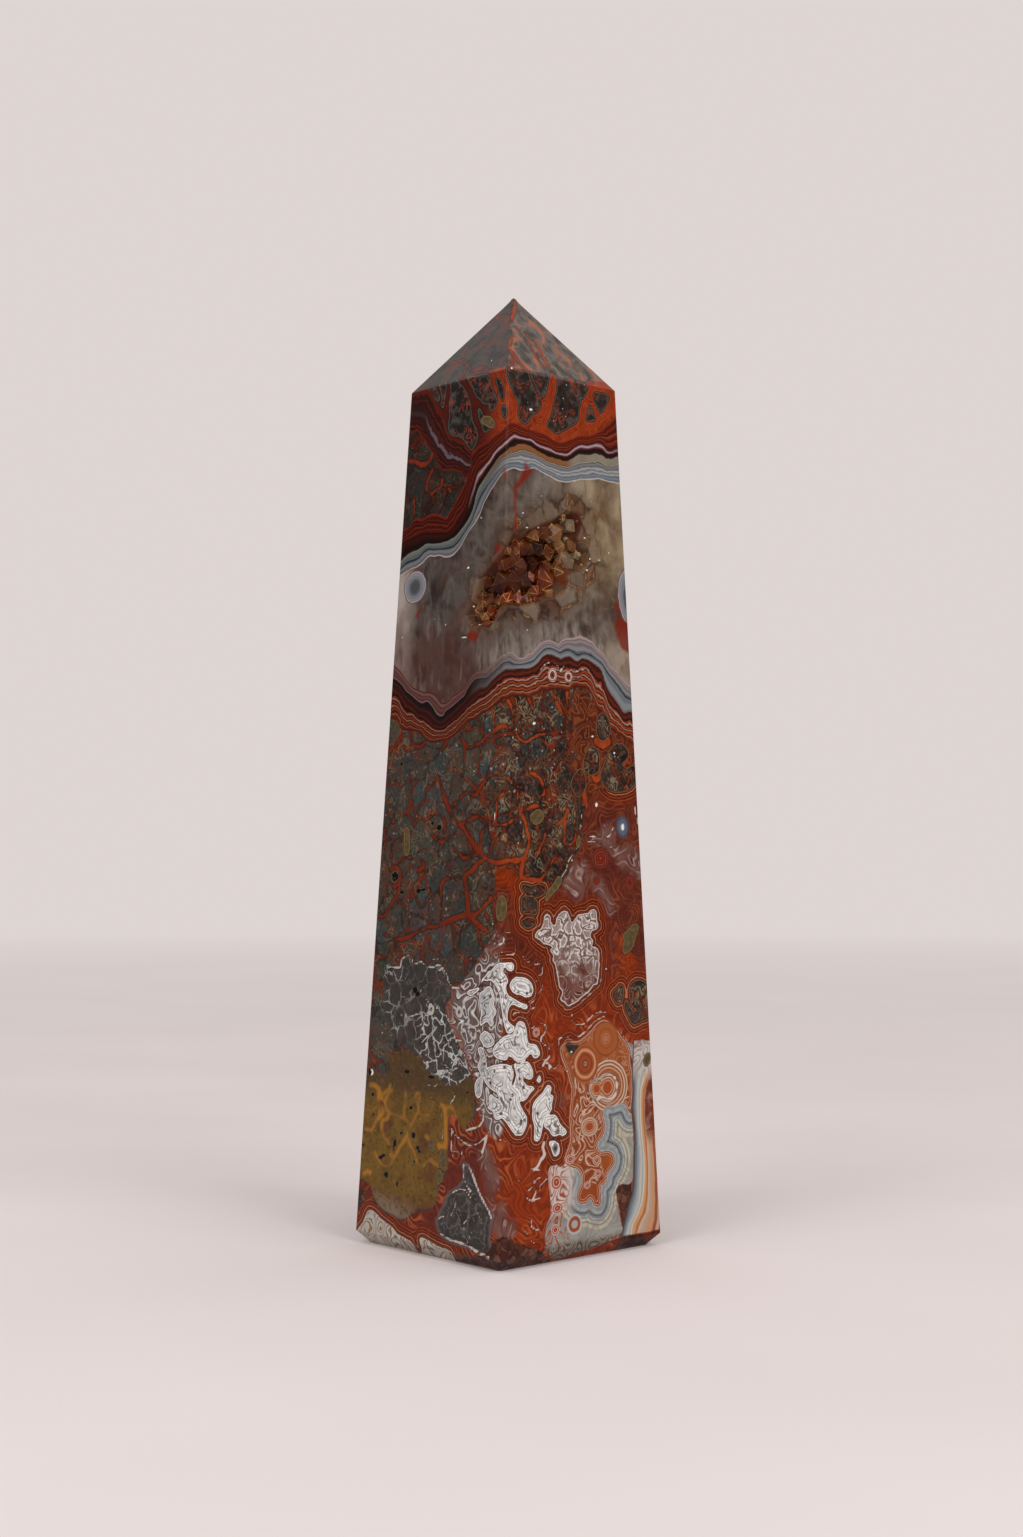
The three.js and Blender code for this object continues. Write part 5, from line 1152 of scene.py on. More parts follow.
class Paint:
    """One material, painted layer by layer with nodes. Every length is in millimetres."""

    def __init__(self, name, ground):
        """Start from a ground colour, and make nearly straight, bent and curled places for the textures."""
        self.material = bpy.data.materials.new(name)
        self.material.use_nodes = True
        self.tree = self.material.node_tree
        self.tree.nodes.clear()
        place = self.node("ShaderNodeTexCoord").outputs["Object"]
        place = self.vector("SCALE", place, scale=1 / MM)
        slow = self.node("ShaderNodeTexNoise", {"Vector": place, "Scale": 0.35, "Detail": 2.0}).outputs[1]
        quick = self.node("ShaderNodeTexNoise", {"Vector": place, "Scale": 0.9, "Detail": 2.0}).outputs[1]
        self.place = self.vector("MULTIPLY_ADD", quick, (0.3, 0.3, 0.3), place)
        self.bent = self.vector("MULTIPLY_ADD", slow, (2.4, 2.4, 2.4), place)
        self.curled = self.vector("MULTIPLY_ADD", quick, (1.6, 1.6, 1.6), place)
        self.height = self.node("ShaderNodeSeparateXYZ", {0: self.place}).outputs[2]
        self.colour = linear(ground)

    def node(self, kind, inputs=None, **settings):
        """A new node with its settings, and each input either linked or set."""
        made = self.tree.nodes.new(kind)
        for name, value in settings.items():
            setattr(made, name, value)
        for key, value in (inputs or {}).items():
            if isinstance(value, bpy.types.NodeSocket):
                self.tree.links.new(value, made.inputs[key])
            else:
                made.inputs[key].default_value = value
        return made

    def calc(self, operation, a, b=0.0, c=0.0):
        return self.node("ShaderNodeMath", {0: a, 1: b, 2: c}, operation=operation).outputs[0]

    def chain(self, operation, values):
        """One operation over several values, from the first to the last."""
        return reduce(lambda result, value: self.calc(operation, result, value), values)

    def least(self, *values):
        return self.chain("MINIMUM", values)

    def most(self, *values):
        return self.chain("MAXIMUM", values)

    def times(self, *values):
        return self.chain("MULTIPLY", values)

    def plus(self, *values):
        return self.chain("ADD", values)

    def minus(self, *values):
        return self.chain("SUBTRACT", values)

    def away(self, value, middle):
        """How far a value is from a middle one."""
        return self.calc("ABSOLUTE", self.minus(value, middle))

    def vector(self, operation, a, b=(0.0, 0.0, 0.0), c=(0.0, 0.0, 0.0), scale=1.0):
        return self.node("ShaderNodeVectorMath", {0: a, 1: b, 2: c, 3: scale}, operation=operation).outputs[0]

    def moved(self, place, along):
        """A place for a texture, shifted so that two textures don't look alike."""
        return self.node("ShaderNodeMapping", {"Vector": place or self.place, "Location": along}).outputs[0]

    def tall(self, place):
        """A place for textures that are drawn out upwards."""
        return self.node("ShaderNodeMapping", {"Vector": place, "Scale": (1.0, 1.0, 0.3)}).outputs[0]

    def read(self, name):
        """A pattern's value on the mesh."""
        return self.node("ShaderNodeAttribute", attribute_name=name).outputs["Fac"]

    def noise(self, size, detail=2.0, seed=0, place=None, warp=0.0):
        """Soft noise from 0 to 1 with features of about this size."""
        start = self.moved(place, (17.3 * seed, 5.1 * seed, 9.7 * seed))
        inputs = {"Vector": start, "Scale": 1 / size, "Detail": detail, "Distortion": warp}
        return self.node("ShaderNodeTexNoise", inputs).outputs[0]

    def cells(self, size, seed=0, feature="F1", place=None, output="Distance"):
        """Voronoi cells of about this size."""
        start = self.moved(place, (11.9 * seed, 7.7 * seed, 3.1 * seed))
        inputs = {"Vector": start, "Scale": 1 / size}
        return self.node("ShaderNodeTexVoronoi", inputs, feature=feature).outputs[output]

    def walls(self, size, seed=0, place=None):
        """How far it is to the walls between Voronoi cells."""
        return self.cells(size, seed, "DISTANCE_TO_EDGE", place)

    def tones(self, size, seed=0, place=None):
        """A number from 0 to 1 for every Voronoi cell."""
        colour = self.cells(size, seed, place=place, output="Color")
        return self.node("ShaderNodeSeparateColor", {0: colour}).outputs[0]

    def spread(self, value, low, high, to_low=0.0, to_high=1.0):
        """The value's share of the way from low to high, held at the ends."""
        inputs = {"Value": value, "From Min": low, "From Max": high, "To Min": to_low, "To Max": to_high}
        return self.node("ShaderNodeMapRange", inputs).outputs[0]

    def wobbled(self, value, size, amount, seed):
        """A value moved to and fro by noise, by up to about this amount."""
        noise = self.noise(size, seed=seed)
        return self.calc("MULTIPLY_ADD", noise, 4 * amount, self.minus(value, 2 * amount))

    def drawn(self, name):
        """A pattern's value on the mesh, its edges wandering a little."""
        return self.wobbled(self.read(name), *WANDER[name])

    def waves(self, size, count, seed, warp):
        """A value that goes from 0 to 1 again and again, from one contour of a smooth map to the next."""
        return self.calc("FRACT", self.times(self.noise(size, 0.0, seed, warp=warp), count))

    def lines(self, size, count, seed, warp, width):
        """Thin lines that wander like the contours of a map; width is a share of their spacing."""
        away = self.away(self.waves(size, count, seed, warp), 0.5)
        return self.spread(away, width / 2 + LINE_SOFTNESS, width / 2)

    def ramp(self, value, low, high, stops):
        """A colour ramp from low to high; a stop is (value, colour, alpha)."""
        ramp = self.node("ShaderNodeValToRGB", {0: self.spread(value, low, high)})
        elements = ramp.color_ramp.elements
        elements.remove(elements[1])
        for i, (at, colour, alpha) in enumerate(stops):
            position = min(max((at - low) / (high - low), 0.0), 1.0)
            if i == 0:
                elements[0].position = position
            element = elements[0] if i == 0 else elements.new(position)
            element.color = linear(colour)[:3] + (alpha,)
        return ramp

    def mix(self, share, under, over, blend="MIX"):
        """One colour over another, each a socket, a linear colour, or red, green and blue up to 255."""
        inputs = {0: share, 6: prepared(under), 7: prepared(over)}
        return self.node("ShaderNodeMix", inputs, data_type="RGBA", blend_type=blend).outputs[2]

    def shades(self, value, *colours):
        """A smooth run of colours as the value goes from 0 to 1."""
        last = len(colours) - 1
        stops = [(i / last, colour, 1.0) for i, colour in enumerate(colours)]
        return self.ramp(value, 0, 1, stops).outputs[0]

    def lay(self, colour, share):
        """A colour over what is painted so far."""
        self.colour = self.mix(share, self.colour, colour)

    def tint(self, colour, share):
        """What is painted so far, multiplied by a colour."""
        self.colour = self.mix(share, self.colour, colour, "MULTIPLY")

    def bands(self, value, steps, soft=0.05, share=None):
        """Stripes over what is painted so far. A step is (where it starts, its colour or None for clear)."""
        stops = []
        before, shown = next(colour for _, colour in steps if colour), 0.0
        for at, colour in steps:
            after = colour or before
            if not shown:
                before = after
            stops.append((at - soft / 2, before, shown))
            shown = 1.0 if colour else 0.0
            stops.append((at + soft / 2, after, shown))
            before = after
        ramp = self.ramp(value, stops[0][0] - 0.01, stops[-1][0] + 0.01, stops)
        alpha = ramp.outputs[1]
        if share is not None:
            alpha = self.times(alpha, share)
        self.lay(ramp.outputs[0], alpha)

    def finish(self, roughness, settings, bump=None):
        """The surface itself, and the finished material."""
        inputs = {"Base Color": self.colour, "Roughness": roughness, **settings}
        if bump is not None:
            relief = {"Height": bump, "Distance": MM, "Strength": 1.0}
            inputs["Normal"] = self.node("ShaderNodeBump", relief).outputs[0]
        surface = self.node("ShaderNodeBsdfPrincipled", inputs)
        self.node("ShaderNodeOutputMaterial", {0: surface.outputs[0]})
        return self.material


def paint_matrix(paint, across):
    """The dark broken stone: clasts of several tones, thin veins, pale specks and wandering threads."""
    lively = paint.spread(across, -5, 1, 0.45, 1.0)
    top = paint.spread(paint.height, 99.6, 98.4, 0.1, 1.0)
    lively = paint.times(lively, top)
    tone = paint.tones(3.6, place=paint.bent)
    left = paint.shades(tone, (56, 60, 55), (48, 53, 51), (64, 55, 48), (52, 64, 66), (60, 59, 50),
                        (42, 43, 41))
    right = paint.shades(tone, (48, 44, 39), (36, 33, 30), (60, 44, 37), (44, 50, 50), (30, 26, 24),
                         (56, 50, 40))
    paint.colour = paint.mix(paint.spread(across, -3, 2), left, right)
    paint.lay((70, 38, 29), paint.spread(paint.noise(2.6, 3, 2), 0.54, 0.7, 0, 0.5))
    paint.lay((74, 64, 42), paint.spread(paint.noise(2.2, 3, 5), 0.6, 0.76, 0, 0.55))
    paint.lay((60, 76, 80), paint.spread(paint.noise(1.6, 3, 6), 0.6, 0.74, 0, 0.6))
    grain = paint.noise(0.4, 4, 3)
    paint.lay((104, 100, 88), paint.times(lively, paint.spread(grain, 0.55, 0.72, 0, 0.6)))
    paint.lay((20, 16, 15), paint.times(lively, paint.spread(grain, 0.48, 0.32, 0, 0.75)))
    edge = paint.walls(3.6, place=paint.bent)
    wide = paint.spread(paint.noise(4, 1, 7), 0.42, 0.66, -0.02, 0.05)
    near = paint.minus(edge, wide)
    paint.lay((34, 19, 16), paint.times(top, paint.spread(near, 0.07, 0.01, 0, 0.8)))
    thin = paint.times(paint.spread(near, 0.018, -0.005, 0, 0.85), paint.spread(top, 0.1, 1.0, 0.3, 1.0))
    paint.lay(paint.shades(paint.noise(1.5, 2, 8), (88, 32, 19), (122, 47, 24)), thin)
    small = paint.walls(1.4, 2, paint.bent)
    busy = paint.spread(paint.noise(3, 1, 9), 0.44, 0.56, 0, 0.75)
    paint.lay((100, 42, 24), paint.times(paint.spread(small, 0.06, 0.02), busy, top))
    fibres = paint.times(paint.lines(2.2, 9, 14, 0.6, 0.2), paint.spread(paint.noise(2.6, 1, 15), 0.45, 0.55))
    paint.lay((104, 56, 32), paint.times(fibres, lively, 0.75))
    threads = paint.times(paint.lines(1.3, 5, 10, 0.8, 0.18),
                          paint.spread(paint.noise(2.2, 1, 12), 0.5, 0.58))
    paint.lay((142, 122, 92), paint.times(threads, lively, 0.6))
    lit = paint.times(paint.spread(paint.noise(2.0, 2, 11), 0.44, 0.56, 0.15, 1), lively)
    paint.lay((150, 156, 148), paint.times(paint.spread(paint.cells(0.8, 4), 0.17, 0.1, 0, 0.8), lit))
    paint.lay((204, 204, 196), paint.times(paint.spread(paint.cells(2.0, 13), 0.085, 0.05, 0, 0.9), lit))


def paint_point(paint, across):
    """The point: painted paler than the dark stone under it, a painted sheen for the sky's reflection in its
    polish that is lighter on the right facet, with soft streaks that run up to the tip.
    """
    shown = paint.spread(paint.height, SHOULDER_HEIGHT, SHOULDER_HEIGHT + 0.3)
    paint.tint((172, 160, 156), paint.spread(paint.height, 98.9, 98.5, 0, 0.9))
    # Painted sheen: a pale ground, lighter on the right facet than on the left, stands for the bright sky
    # reflected in the point's polish
    cloud = paint.spread(paint.noise(2.4, 4, 16, warp=0.4), 0.32, 0.68)
    left = paint.shades(cloud, (34, 29, 26), (63, 57, 51), (48, 43, 38), (73, 64, 55))
    right = paint.shades(cloud, (66, 56, 50), (112, 102, 94), (86, 74, 66), (118, 106, 96))
    side = paint.spread(across, -0.2, 0.2)
    paint.lay(paint.mix(side, left, right), paint.times(shown, 0.75))
    streak = paint.noise(1.5, 3, 17, paint.tall(paint.bent), 0.3)
    # The red and dark streaks are the stone's own; the red is painted lighter on the right facet as painted
    # sheen
    red = paint.mix(side, (96, 40, 26), (158, 90, 62))
    paint.lay(red, paint.times(shown, paint.spread(streak, 0.52, 0.62, 0, 0.8)))
    paint.lay((34, 31, 30), paint.times(shown, paint.spread(streak, 0.45, 0.36, 0, 0.6)))


def paint_veins(paint, across):
    """The drawn red veins, uneven in width, with dark sides, and the rusty haze."""
    warm = paint.drawn("warm")
    haze = paint.shades(paint.noise(1.3, 4, 5, warp=0.5), (34, 17, 13), (60, 24, 16), (94, 38, 20),
                        (66, 26, 17))
    paint.lay(haze, paint.spread(warm, 0.9, -0.7, 0, 0.9))
    threads = paint.times(paint.spread(warm, 0.3, -0.5), paint.lines(1.8, 7, 6, 0.8, 0.22))
    paint.lay((144, 76, 40), paint.times(threads, 0.5))
    vein = paint.plus(paint.drawn("vein"),
                      paint.spread(paint.noise(2.6, 1, 2), 0.35, 0.65, -0.03, 0.15))
    grain = paint.noise(0.9, 3, 3)
    dull = paint.shades(grain, (82, 26, 14), (108, 38, 19), (126, 50, 26))
    bright = paint.shades(grain, (108, 36, 17), (142, 56, 24), (166, 82, 38))
    paint.lay((36, 19, 15), paint.spread(vein, 0.26, 0.06, 0, 0.7))
    paint.lay(paint.mix(paint.spread(across, -5, 1), dull, bright), paint.spread(vein, 0.07, -0.06))


def paint_cell_field(paint, across):
    """The red ground between the dark cells under the point."""
    cell = paint.drawn("cell")
    field = paint.drawn("cell_field")
    shown = paint.spread(field, 0.1, -0.1)
    dull = paint.shades(paint.noise(1.4, 3, 4), (46, 13, 7), (66, 19, 10), (84, 28, 14))
    bright = paint.shades(paint.noise(1.4, 3, 4), (114, 36, 16), (144, 54, 22), (160, 70, 32))
    red = paint.mix(paint.spread(across, -4, -1), dull, bright)
    inside = paint.times(paint.spread(cell, 0.0, -0.3), shown)
    paint.lay(paint.mix(paint.spread(across, -2, 2), (26, 23, 22), (44, 37, 33)),
              paint.times(inside, 0.72))
    paint.lay((82, 84, 80), paint.times(inside, paint.spread(paint.noise(0.9, 3, 5), 0.48, 0.7, 0, 0.7)))
    paint.lay((24, 19, 18), paint.times(inside, paint.spread(paint.noise(1.3, 3, 6), 0.5, 0.64, 0, 0.75)))
    curls = paint.times(paint.lines(1.3, 5, 7, 0.8, 0.16),
                        paint.spread(paint.noise(1.8, 1, 8), 0.5, 0.58, 0, 0.8))
    paint.lay((128, 52, 34), paint.times(inside, curls))
    sparks = paint.spread(paint.cells(0.9, 9), 0.12, 0.07, 0, 0.8)
    paint.lay((176, 174, 164), paint.times(inside, sparks, paint.spread(across, -6, 0, 0.2, 1)))
    paint.lay(red, paint.times(paint.spread(cell, -0.03, 0.05), shown))
    between = paint.times(paint.spread(cell, 0.1, 0.3), shown)
    wavy = paint.times(paint.lines(2.2, 9, 18, 0.7, 0.3),
                       paint.spread(paint.noise(2.4, 1, 19), 0.4, 0.6, 0.1, 0.6))
    paint.lay((74, 22, 11), paint.times(between, wavy))
    paint.bands(cell, [
        (-0.14, (84, 88, 86)), (-0.05, (38, 22, 19)), (0.08, None), (0.3, (82, 25, 13)), (0.36, None),
        (0.55, (80, 25, 13)), (0.62, None)], 0.05, paint.times(shown, 0.7))


def paint_quartz(paint, upper, lower, across):
    """The cloudy grey quartz with painted glints, the facets of the crystals that its polish cuts, and the
    pocket's wall.
    """
    shown = paint.spread(paint.most(upper, lower), 0.05, -0.05)
    cloud = paint.noise(3.2, 4, 21, warp=0.5)
    soft = paint.spread(cloud, 0.3, 0.7)
    left = paint.shades(soft, (46, 37, 34), (60, 52, 48), (80, 73, 69), (54, 45, 42))
    right = paint.shades(soft, (56, 44, 37), (78, 67, 59), (106, 96, 87), (76, 62, 54))
    ground = paint.mix(paint.spread(across, -9, 4), left, right)
    high = paint.times(paint.spread(across, 6, 12), paint.spread(paint.height, 73, 79, 0, 0.85))
    ground = paint.mix(high, ground, paint.shades(soft, (108, 86, 60), (142, 122, 94), (170, 152, 122)))
    pale = paint.times(paint.spread(across, 13, 17), paint.spread(paint.height, 71.5, 68, 0, 0.85))
    ground = paint.mix(pale, ground, (158, 143, 126))
    edge = paint.times(paint.spread(across, -15.2, -17.6), paint.spread(across, -24, -20, 0, 0.95))
    ground = paint.mix(edge, ground, paint.shades(cloud, (132, 119, 112), (176, 166, 158)))
    light = paint.times(paint.spread(across, 1, 4), paint.spread(upper, -3.5, -0.6, 0, 0.2))
    ground = paint.mix(light, ground, (110, 102, 94))
    rosy = paint.spread(paint.plus(paint.height, paint.times(paint.noise(4, 2, 28), -8)), 69, 63, 0, 0.6)
    ground = paint.mix(paint.times(rosy, paint.spread(across, -1, -7, 0.3, 1)), ground, (80, 44, 36))
    warm = paint.spread(paint.noise(4, 2, 24), 0.52, 0.66, 0, 0.4)
    ground = paint.mix(warm, ground, (84, 58, 49))
    paint.lay(ground, shown)
    feather = paint.noise(0.9, 4, 22, paint.tall(paint.place), 0.4)
    paint.lay((138, 130, 122), paint.times(shown, paint.spread(feather, 0.56, 0.8, 0, 0.4)))
    over = paint.times(paint.spread(lower, -3.2, -0.6), paint.spread(across, -6, -1, 0, 0.6))
    paint.lay((142, 133, 124), paint.times(shown, over, paint.spread(feather, 0.42, 0.6)))
    paint.lay((40, 31, 28), paint.times(shown, paint.spread(feather, 0.44, 0.24, 0, 0.5)))
    # Painted glints: small pale specks on the quartz where its polish would catch the light
    specks = paint.spread(paint.cells(2.3, 27), 0.06, 0.03, 0, 0.85)
    paint.lay((196, 188, 174), paint.times(shown, specks))
    mouth = paint.drawn("mouth")
    reach = paint.minus(mouth, paint.spread(across, -2, 7, -0.3, 1.3))
    near = paint.times(shown, paint.spread(reach, 1.9, 0.1, 0, 0.95))
    tone = paint.tones(2.4, 25, paint.curled)
    facets = paint.shades(tone, (62, 38, 27), (104, 84, 67), (82, 52, 37), (120, 104, 87), (66, 46, 36),
                          (110, 66, 42))
    paint.lay(facets, paint.times(near, 0.72))
    wall = paint.walls(2.4, 25, paint.curled)
    paint.lay((40, 20, 12), paint.times(near, paint.spread(wall, 0.14, 0.0, 0, 0.8)))
    seam = paint.times(paint.spread(wall, 0.03, 0.012),
                       paint.spread(paint.noise(1.6, 1, 26), 0.5, 0.58, 0, 0.8))
    paint.lay((152, 108, 66), paint.times(near, seam))
    inside = paint.spread(paint.wobbled(paint.read("mouth"), 0.6, 0.12, 35), 0.1, -0.3)
    hollow = paint.shades(tone, (44, 21, 12), (84, 50, 30), (56, 28, 16), (106, 74, 48), (38, 18, 11),
                          (96, 44, 22))
    paint.lay(hollow, inside)


def paint_upper(paint, upper, across):
    """The bands over the quartz."""
    right = paint.spread(across, -4.5, 1.5)
    left = paint.minus(1.0, right)
    paint.bands(upper, [
        (-0.06, (158, 146, 142)), (0.12, (90, 89, 92)), (0.45, (108, 108, 110)), (0.76, (88, 92, 96)),
        (0.92, (34, 38, 41)), (1.14, (80, 86, 86)), (1.5, (94, 98, 92)), (1.82, (112, 114, 104)),
        (1.92, (52, 44, 38)), (2.02, None)], 0.06, left)
    paint.bands(upper, [
        (-0.08, (170, 160, 156)), (0.14, (96, 103, 111)), (0.6, (112, 118, 124)), (0.9, (90, 96, 104)),
        (1.08, (142, 142, 142)), (1.18, (104, 105, 108)), (1.26, (150, 148, 144)), (1.34, (96, 97, 100)),
        (1.46, (116, 114, 112)), (1.54, (74, 66, 62)), (1.58, (150, 140, 128)), (1.62, (84, 58, 42)),
        (1.66, (124, 80, 48)), (1.96, None)], 0.05, right)
    beige = paint.spread(paint.away(upper, 1.78), 0.18, 0.15)
    beige = paint.times(paint.spread(across, 9.0, 10.4), right, beige)
    paint.lay(paint.shades(paint.noise(1.6, 3, 14), (106, 98, 82), (136, 128, 110)), beige)
    paint.bands(upper, [
        (1.94, (46, 26, 20)), (2.04, (28, 17, 14)), (2.42, (50, 20, 15)), (2.72, (66, 22, 14)),
        (2.98, (50, 17, 12)), (3.12, (92, 29, 16)), (3.24, (128, 48, 24)), (3.29, (70, 22, 13)),
        (3.42, (104, 34, 18)), (3.48, (132, 52, 28)), (3.53, (64, 20, 12)), (3.66, (108, 34, 18)),
        (3.74, (70, 22, 13)), (3.86, (112, 36, 20)), (4.0, None)], 0.04)
    reds = paint.least(paint.spread(upper, 1.94, 2.1), paint.spread(upper, 4.0, 3.9), left)
    paint.tint((190, 168, 160), paint.times(reds, 0.9))
    mauve = paint.times(paint.spread(across, -6.5, -4.5), paint.spread(across, 17.5, 14.5, 0.5, 1))
    paint.bands(upper, [
        (2.42, (78, 34, 34)), (2.56, (112, 76, 80)), (2.66, (164, 142, 146)), (2.78, (138, 112, 118)),
        (2.86, (100, 62, 66)), (2.96, (62, 20, 15)), (3.04, None)], 0.07, mauve)


def paint_lens(paint, across):
    """The bands between the two fields of dark cells on the left face."""
    lens = paint.drawn("lens")
    shown = paint.times(paint.spread(across, -5.9, -6.4), paint.spread(across, -26, -23))
    paint.bands(lens, [
        (0.0, (84, 25, 13)), (0.16, (38, 12, 8)), (0.3, (94, 31, 16)), (0.36, (42, 13, 9)),
        (0.58, (70, 22, 13)), (0.66, (38, 13, 9)), (0.78, (44, 25, 25)), (0.88, (92, 75, 82)),
        (1.1, (46, 23, 23)), (1.2, (66, 20, 12)), (1.36, (38, 12, 8)), (1.5, (86, 29, 15)),
        (1.56, (44, 14, 9)), (1.78, (80, 23, 12)), (2.02, None)], 0.06, shown)
    middle = paint.spread(paint.away(lens, 1.05), 0.6, 0.3)
    dark = paint.times(middle, paint.spread(across, -12.8, -14.4, 0, 0.85))
    paint.lay(paint.shades(paint.noise(1.5, 3, 32), (28, 12, 10), (50, 21, 17)), paint.times(shown, dark))


def paint_lower(paint, lower, across):
    """The bands under the quartz."""
    right = paint.spread(across, -6, 2.5)
    left = paint.minus(1.0, right)
    paint.bands(lower, [
        (-0.1, (86, 42, 36)), (0.05, (126, 96, 92)), (0.26, (98, 64, 60)), (0.48, (112, 82, 79)),
        (0.6, (94, 62, 60)), (0.8, (132, 108, 107)), (0.94, (60, 38, 38)), (1.0, (32, 22, 24)),
        (1.34, (42, 29, 31)), (1.56, (74, 33, 26)), (1.8, (46, 26, 26)), (2.0, None)], 0.06, left)
    paint.bands(lower, [
        (-0.1, (150, 130, 128)), (0.1, (112, 98, 96)), (0.22, (136, 122, 120)), (0.34, (104, 98, 98)),
        (0.56, (122, 118, 120)), (0.8, (84, 86, 90)), (0.92, (44, 50, 54)), (1.06, (98, 103, 107)),
        (1.4, (120, 122, 124)), (1.8, (96, 99, 102)), (1.93, (100, 46, 30)), (2.0, None)], 0.05, right)
    paint.bands(lower, [
        (1.98, (60, 24, 17)), (2.1, (88, 33, 21)), (2.2, (40, 22, 19)), (2.3, (128, 48, 25)),
        (2.36, (150, 130, 118)), (2.4, (78, 32, 21)), (2.47, (138, 56, 28)), (2.53, (58, 26, 19)),
        (2.58, (158, 124, 100)), (2.62, (88, 34, 21)), (2.69, (142, 58, 30)), (2.74, (62, 27, 20)),
        (2.8, (146, 102, 72)), (2.84, (108, 40, 23)), (2.92, (70, 28, 20)), (3.0, None)], 0.03)
    within = paint.least(paint.spread(lower, -0.1, 0.0), paint.spread(lower, 3.0, 2.9), left)
    paint.tint((196, 178, 174), paint.times(within, 0.8))


def paint_jasper(paint, jasper, mauve, halo, across):
    """The red-brown stone and the fine lines that run round everything in it."""
    shown = paint.spread(jasper, 0.06, -0.06)
    cloud = paint.noise(3.5, 4, 41, warp=0.4)
    brown = paint.shades(cloud, (68, 27, 20), (84, 36, 27), (100, 46, 34), (80, 34, 25))
    red = paint.shades(cloud, (94, 26, 3), (120, 37, 6), (142, 50, 11), (112, 34, 5))
    ground = paint.mix(paint.spread(paint.height, 34, 27), brown, red)
    patch = paint.drawn("orange_patch")
    bright = paint.shades(paint.noise(1.3, 3, 121), (128, 37, 5), (154, 57, 15))
    ground = paint.mix(paint.spread(patch, 0.35, -0.25, 0, 0.85), ground, bright)
    low_left = paint.times(paint.spread(across, -1.5, -3.5), paint.spread(paint.height, 18, 15))
    ground = paint.mix(low_left, ground, paint.shades(cloud, (72, 23, 15), (98, 36, 25), (86, 33, 26)))
    ground = paint.mix(paint.times(paint.lines(3.4, 11, 43, 0.4, 0.4), 0.42), ground, (62, 20, 10))
    some = paint.times(paint.spread(paint.noise(4, 1, 44), 0.42, 0.56, 0.08, 0.85),
                      paint.spread(paint.height, 33, 26, 0.4, 1))
    ground = paint.mix(paint.times(paint.lines(3.0, 8, 45, 0.5, 0.16), some), ground, (162, 80, 42))
    paint.lay(ground, shown)
    lace = paint.times(shown, paint.spread(mauve, 0.5, -0.5))
    pale = paint.shades(paint.noise(2.6, 2, 48, warp=0.6), (72, 34, 27), (94, 56, 48), (114, 84, 77),
                        (86, 48, 40))
    paint.lay(pale, paint.times(lace, 0.9))
    uneven = paint.spread(paint.noise(2, 1, 49), 0.42, 0.6, 0.1, 0.85)
    paint.bands(paint.waves(2.8, 6, 46, 0.8), [
        (0.0, None), (0.3, (130, 100, 93)), (0.44, (166, 146, 139)), (0.56, (112, 77, 69)),
        (0.68, (68, 31, 25)), (0.8, None)], 0.1, paint.times(lace, uneven))
    grey = paint.times(shown, paint.spread(paint.drawn("grey_ground"), 0.4, -0.4))
    paint.lay(paint.shades(cloud, (70, 63, 59), (100, 95, 92), (124, 122, 120)), grey)
    paint.bands(paint.waves(2.2, 6, 47, 0.8), [
        (0.0, None), (0.32, (188, 188, 186)), (0.45, (220, 220, 218)), (0.58, (92, 82, 79)),
        (0.7, (50, 38, 35)), (0.8, None)], 0.08, paint.times(grey, 0.95))
    near = paint.times(shown, paint.spread(halo, 2.2, 0.8, 0, 0.85), paint.spread(grey, 0, 1, 1, 0.3))
    paint.bands(halo, [
        (-0.2, (54, 19, 11)), (0.12, (126, 56, 30)), (0.22, (74, 23, 10)), (0.36, (176, 114, 82)),
        (0.46, (94, 28, 8)), (0.72, (146, 66, 29)), (0.8, (82, 24, 7)), (1.06, (158, 84, 48)),
        (1.14, (106, 33, 8)), (1.5, (134, 52, 18)), (1.58, (96, 29, 8)), (1.95, (128, 47, 16)),
        (2.02, None)], 0.05, near)


def paint_orange(paint, orange):
    """The orange stone: plain round lobes, and cream lace between them."""
    shown = paint.spread(orange, 0.05, -0.05)
    lobe = paint.drawn("lobe")
    low = paint.spread(paint.height, 9, 6.5)
    plain = paint.shades(paint.noise(1.8, 3, 51), (112, 46, 11), (138, 64, 22), (154, 82, 36), (138, 65, 22))
    plain = paint.mix(low, plain, paint.shades(paint.noise(1.8, 3, 51), (122, 44, 18), (150, 66, 28)))
    paint.lay(plain, shown)
    lace = paint.times(shown, paint.spread(lobe, 0.95, 1.15), paint.spread(paint.height, 20.5, 18.5, 0.25, 1))
    paint.bands(paint.waves(2.5, 7, 53, 0.7), [
        (0.0, (126, 56, 28)), (0.22, (150, 78, 44)), (0.38, (100, 44, 24)), (0.46, (204, 172, 148)),
        (0.62, (112, 50, 27)), (0.72, (158, 92, 58)), (0.86, (126, 56, 28))], 0.07, lace)
    cream = paint.times(paint.lines(2.0, 7, 52, 0.9, 0.2), paint.spread(paint.noise(1.8, 1, 54), 0.5, 0.58))
    paint.lay((196, 164, 142), paint.times(lace, cream))
    rim = paint.times(orange, -1)
    paint.bands(rim, [(-0.02, (116, 50, 28)), (0.12, (192, 156, 132)), (0.22, (132, 62, 34)),
                      (0.4, (184, 134, 104)), (0.48, (136, 66, 38)), (0.6, None)], 0.05, 0.85)


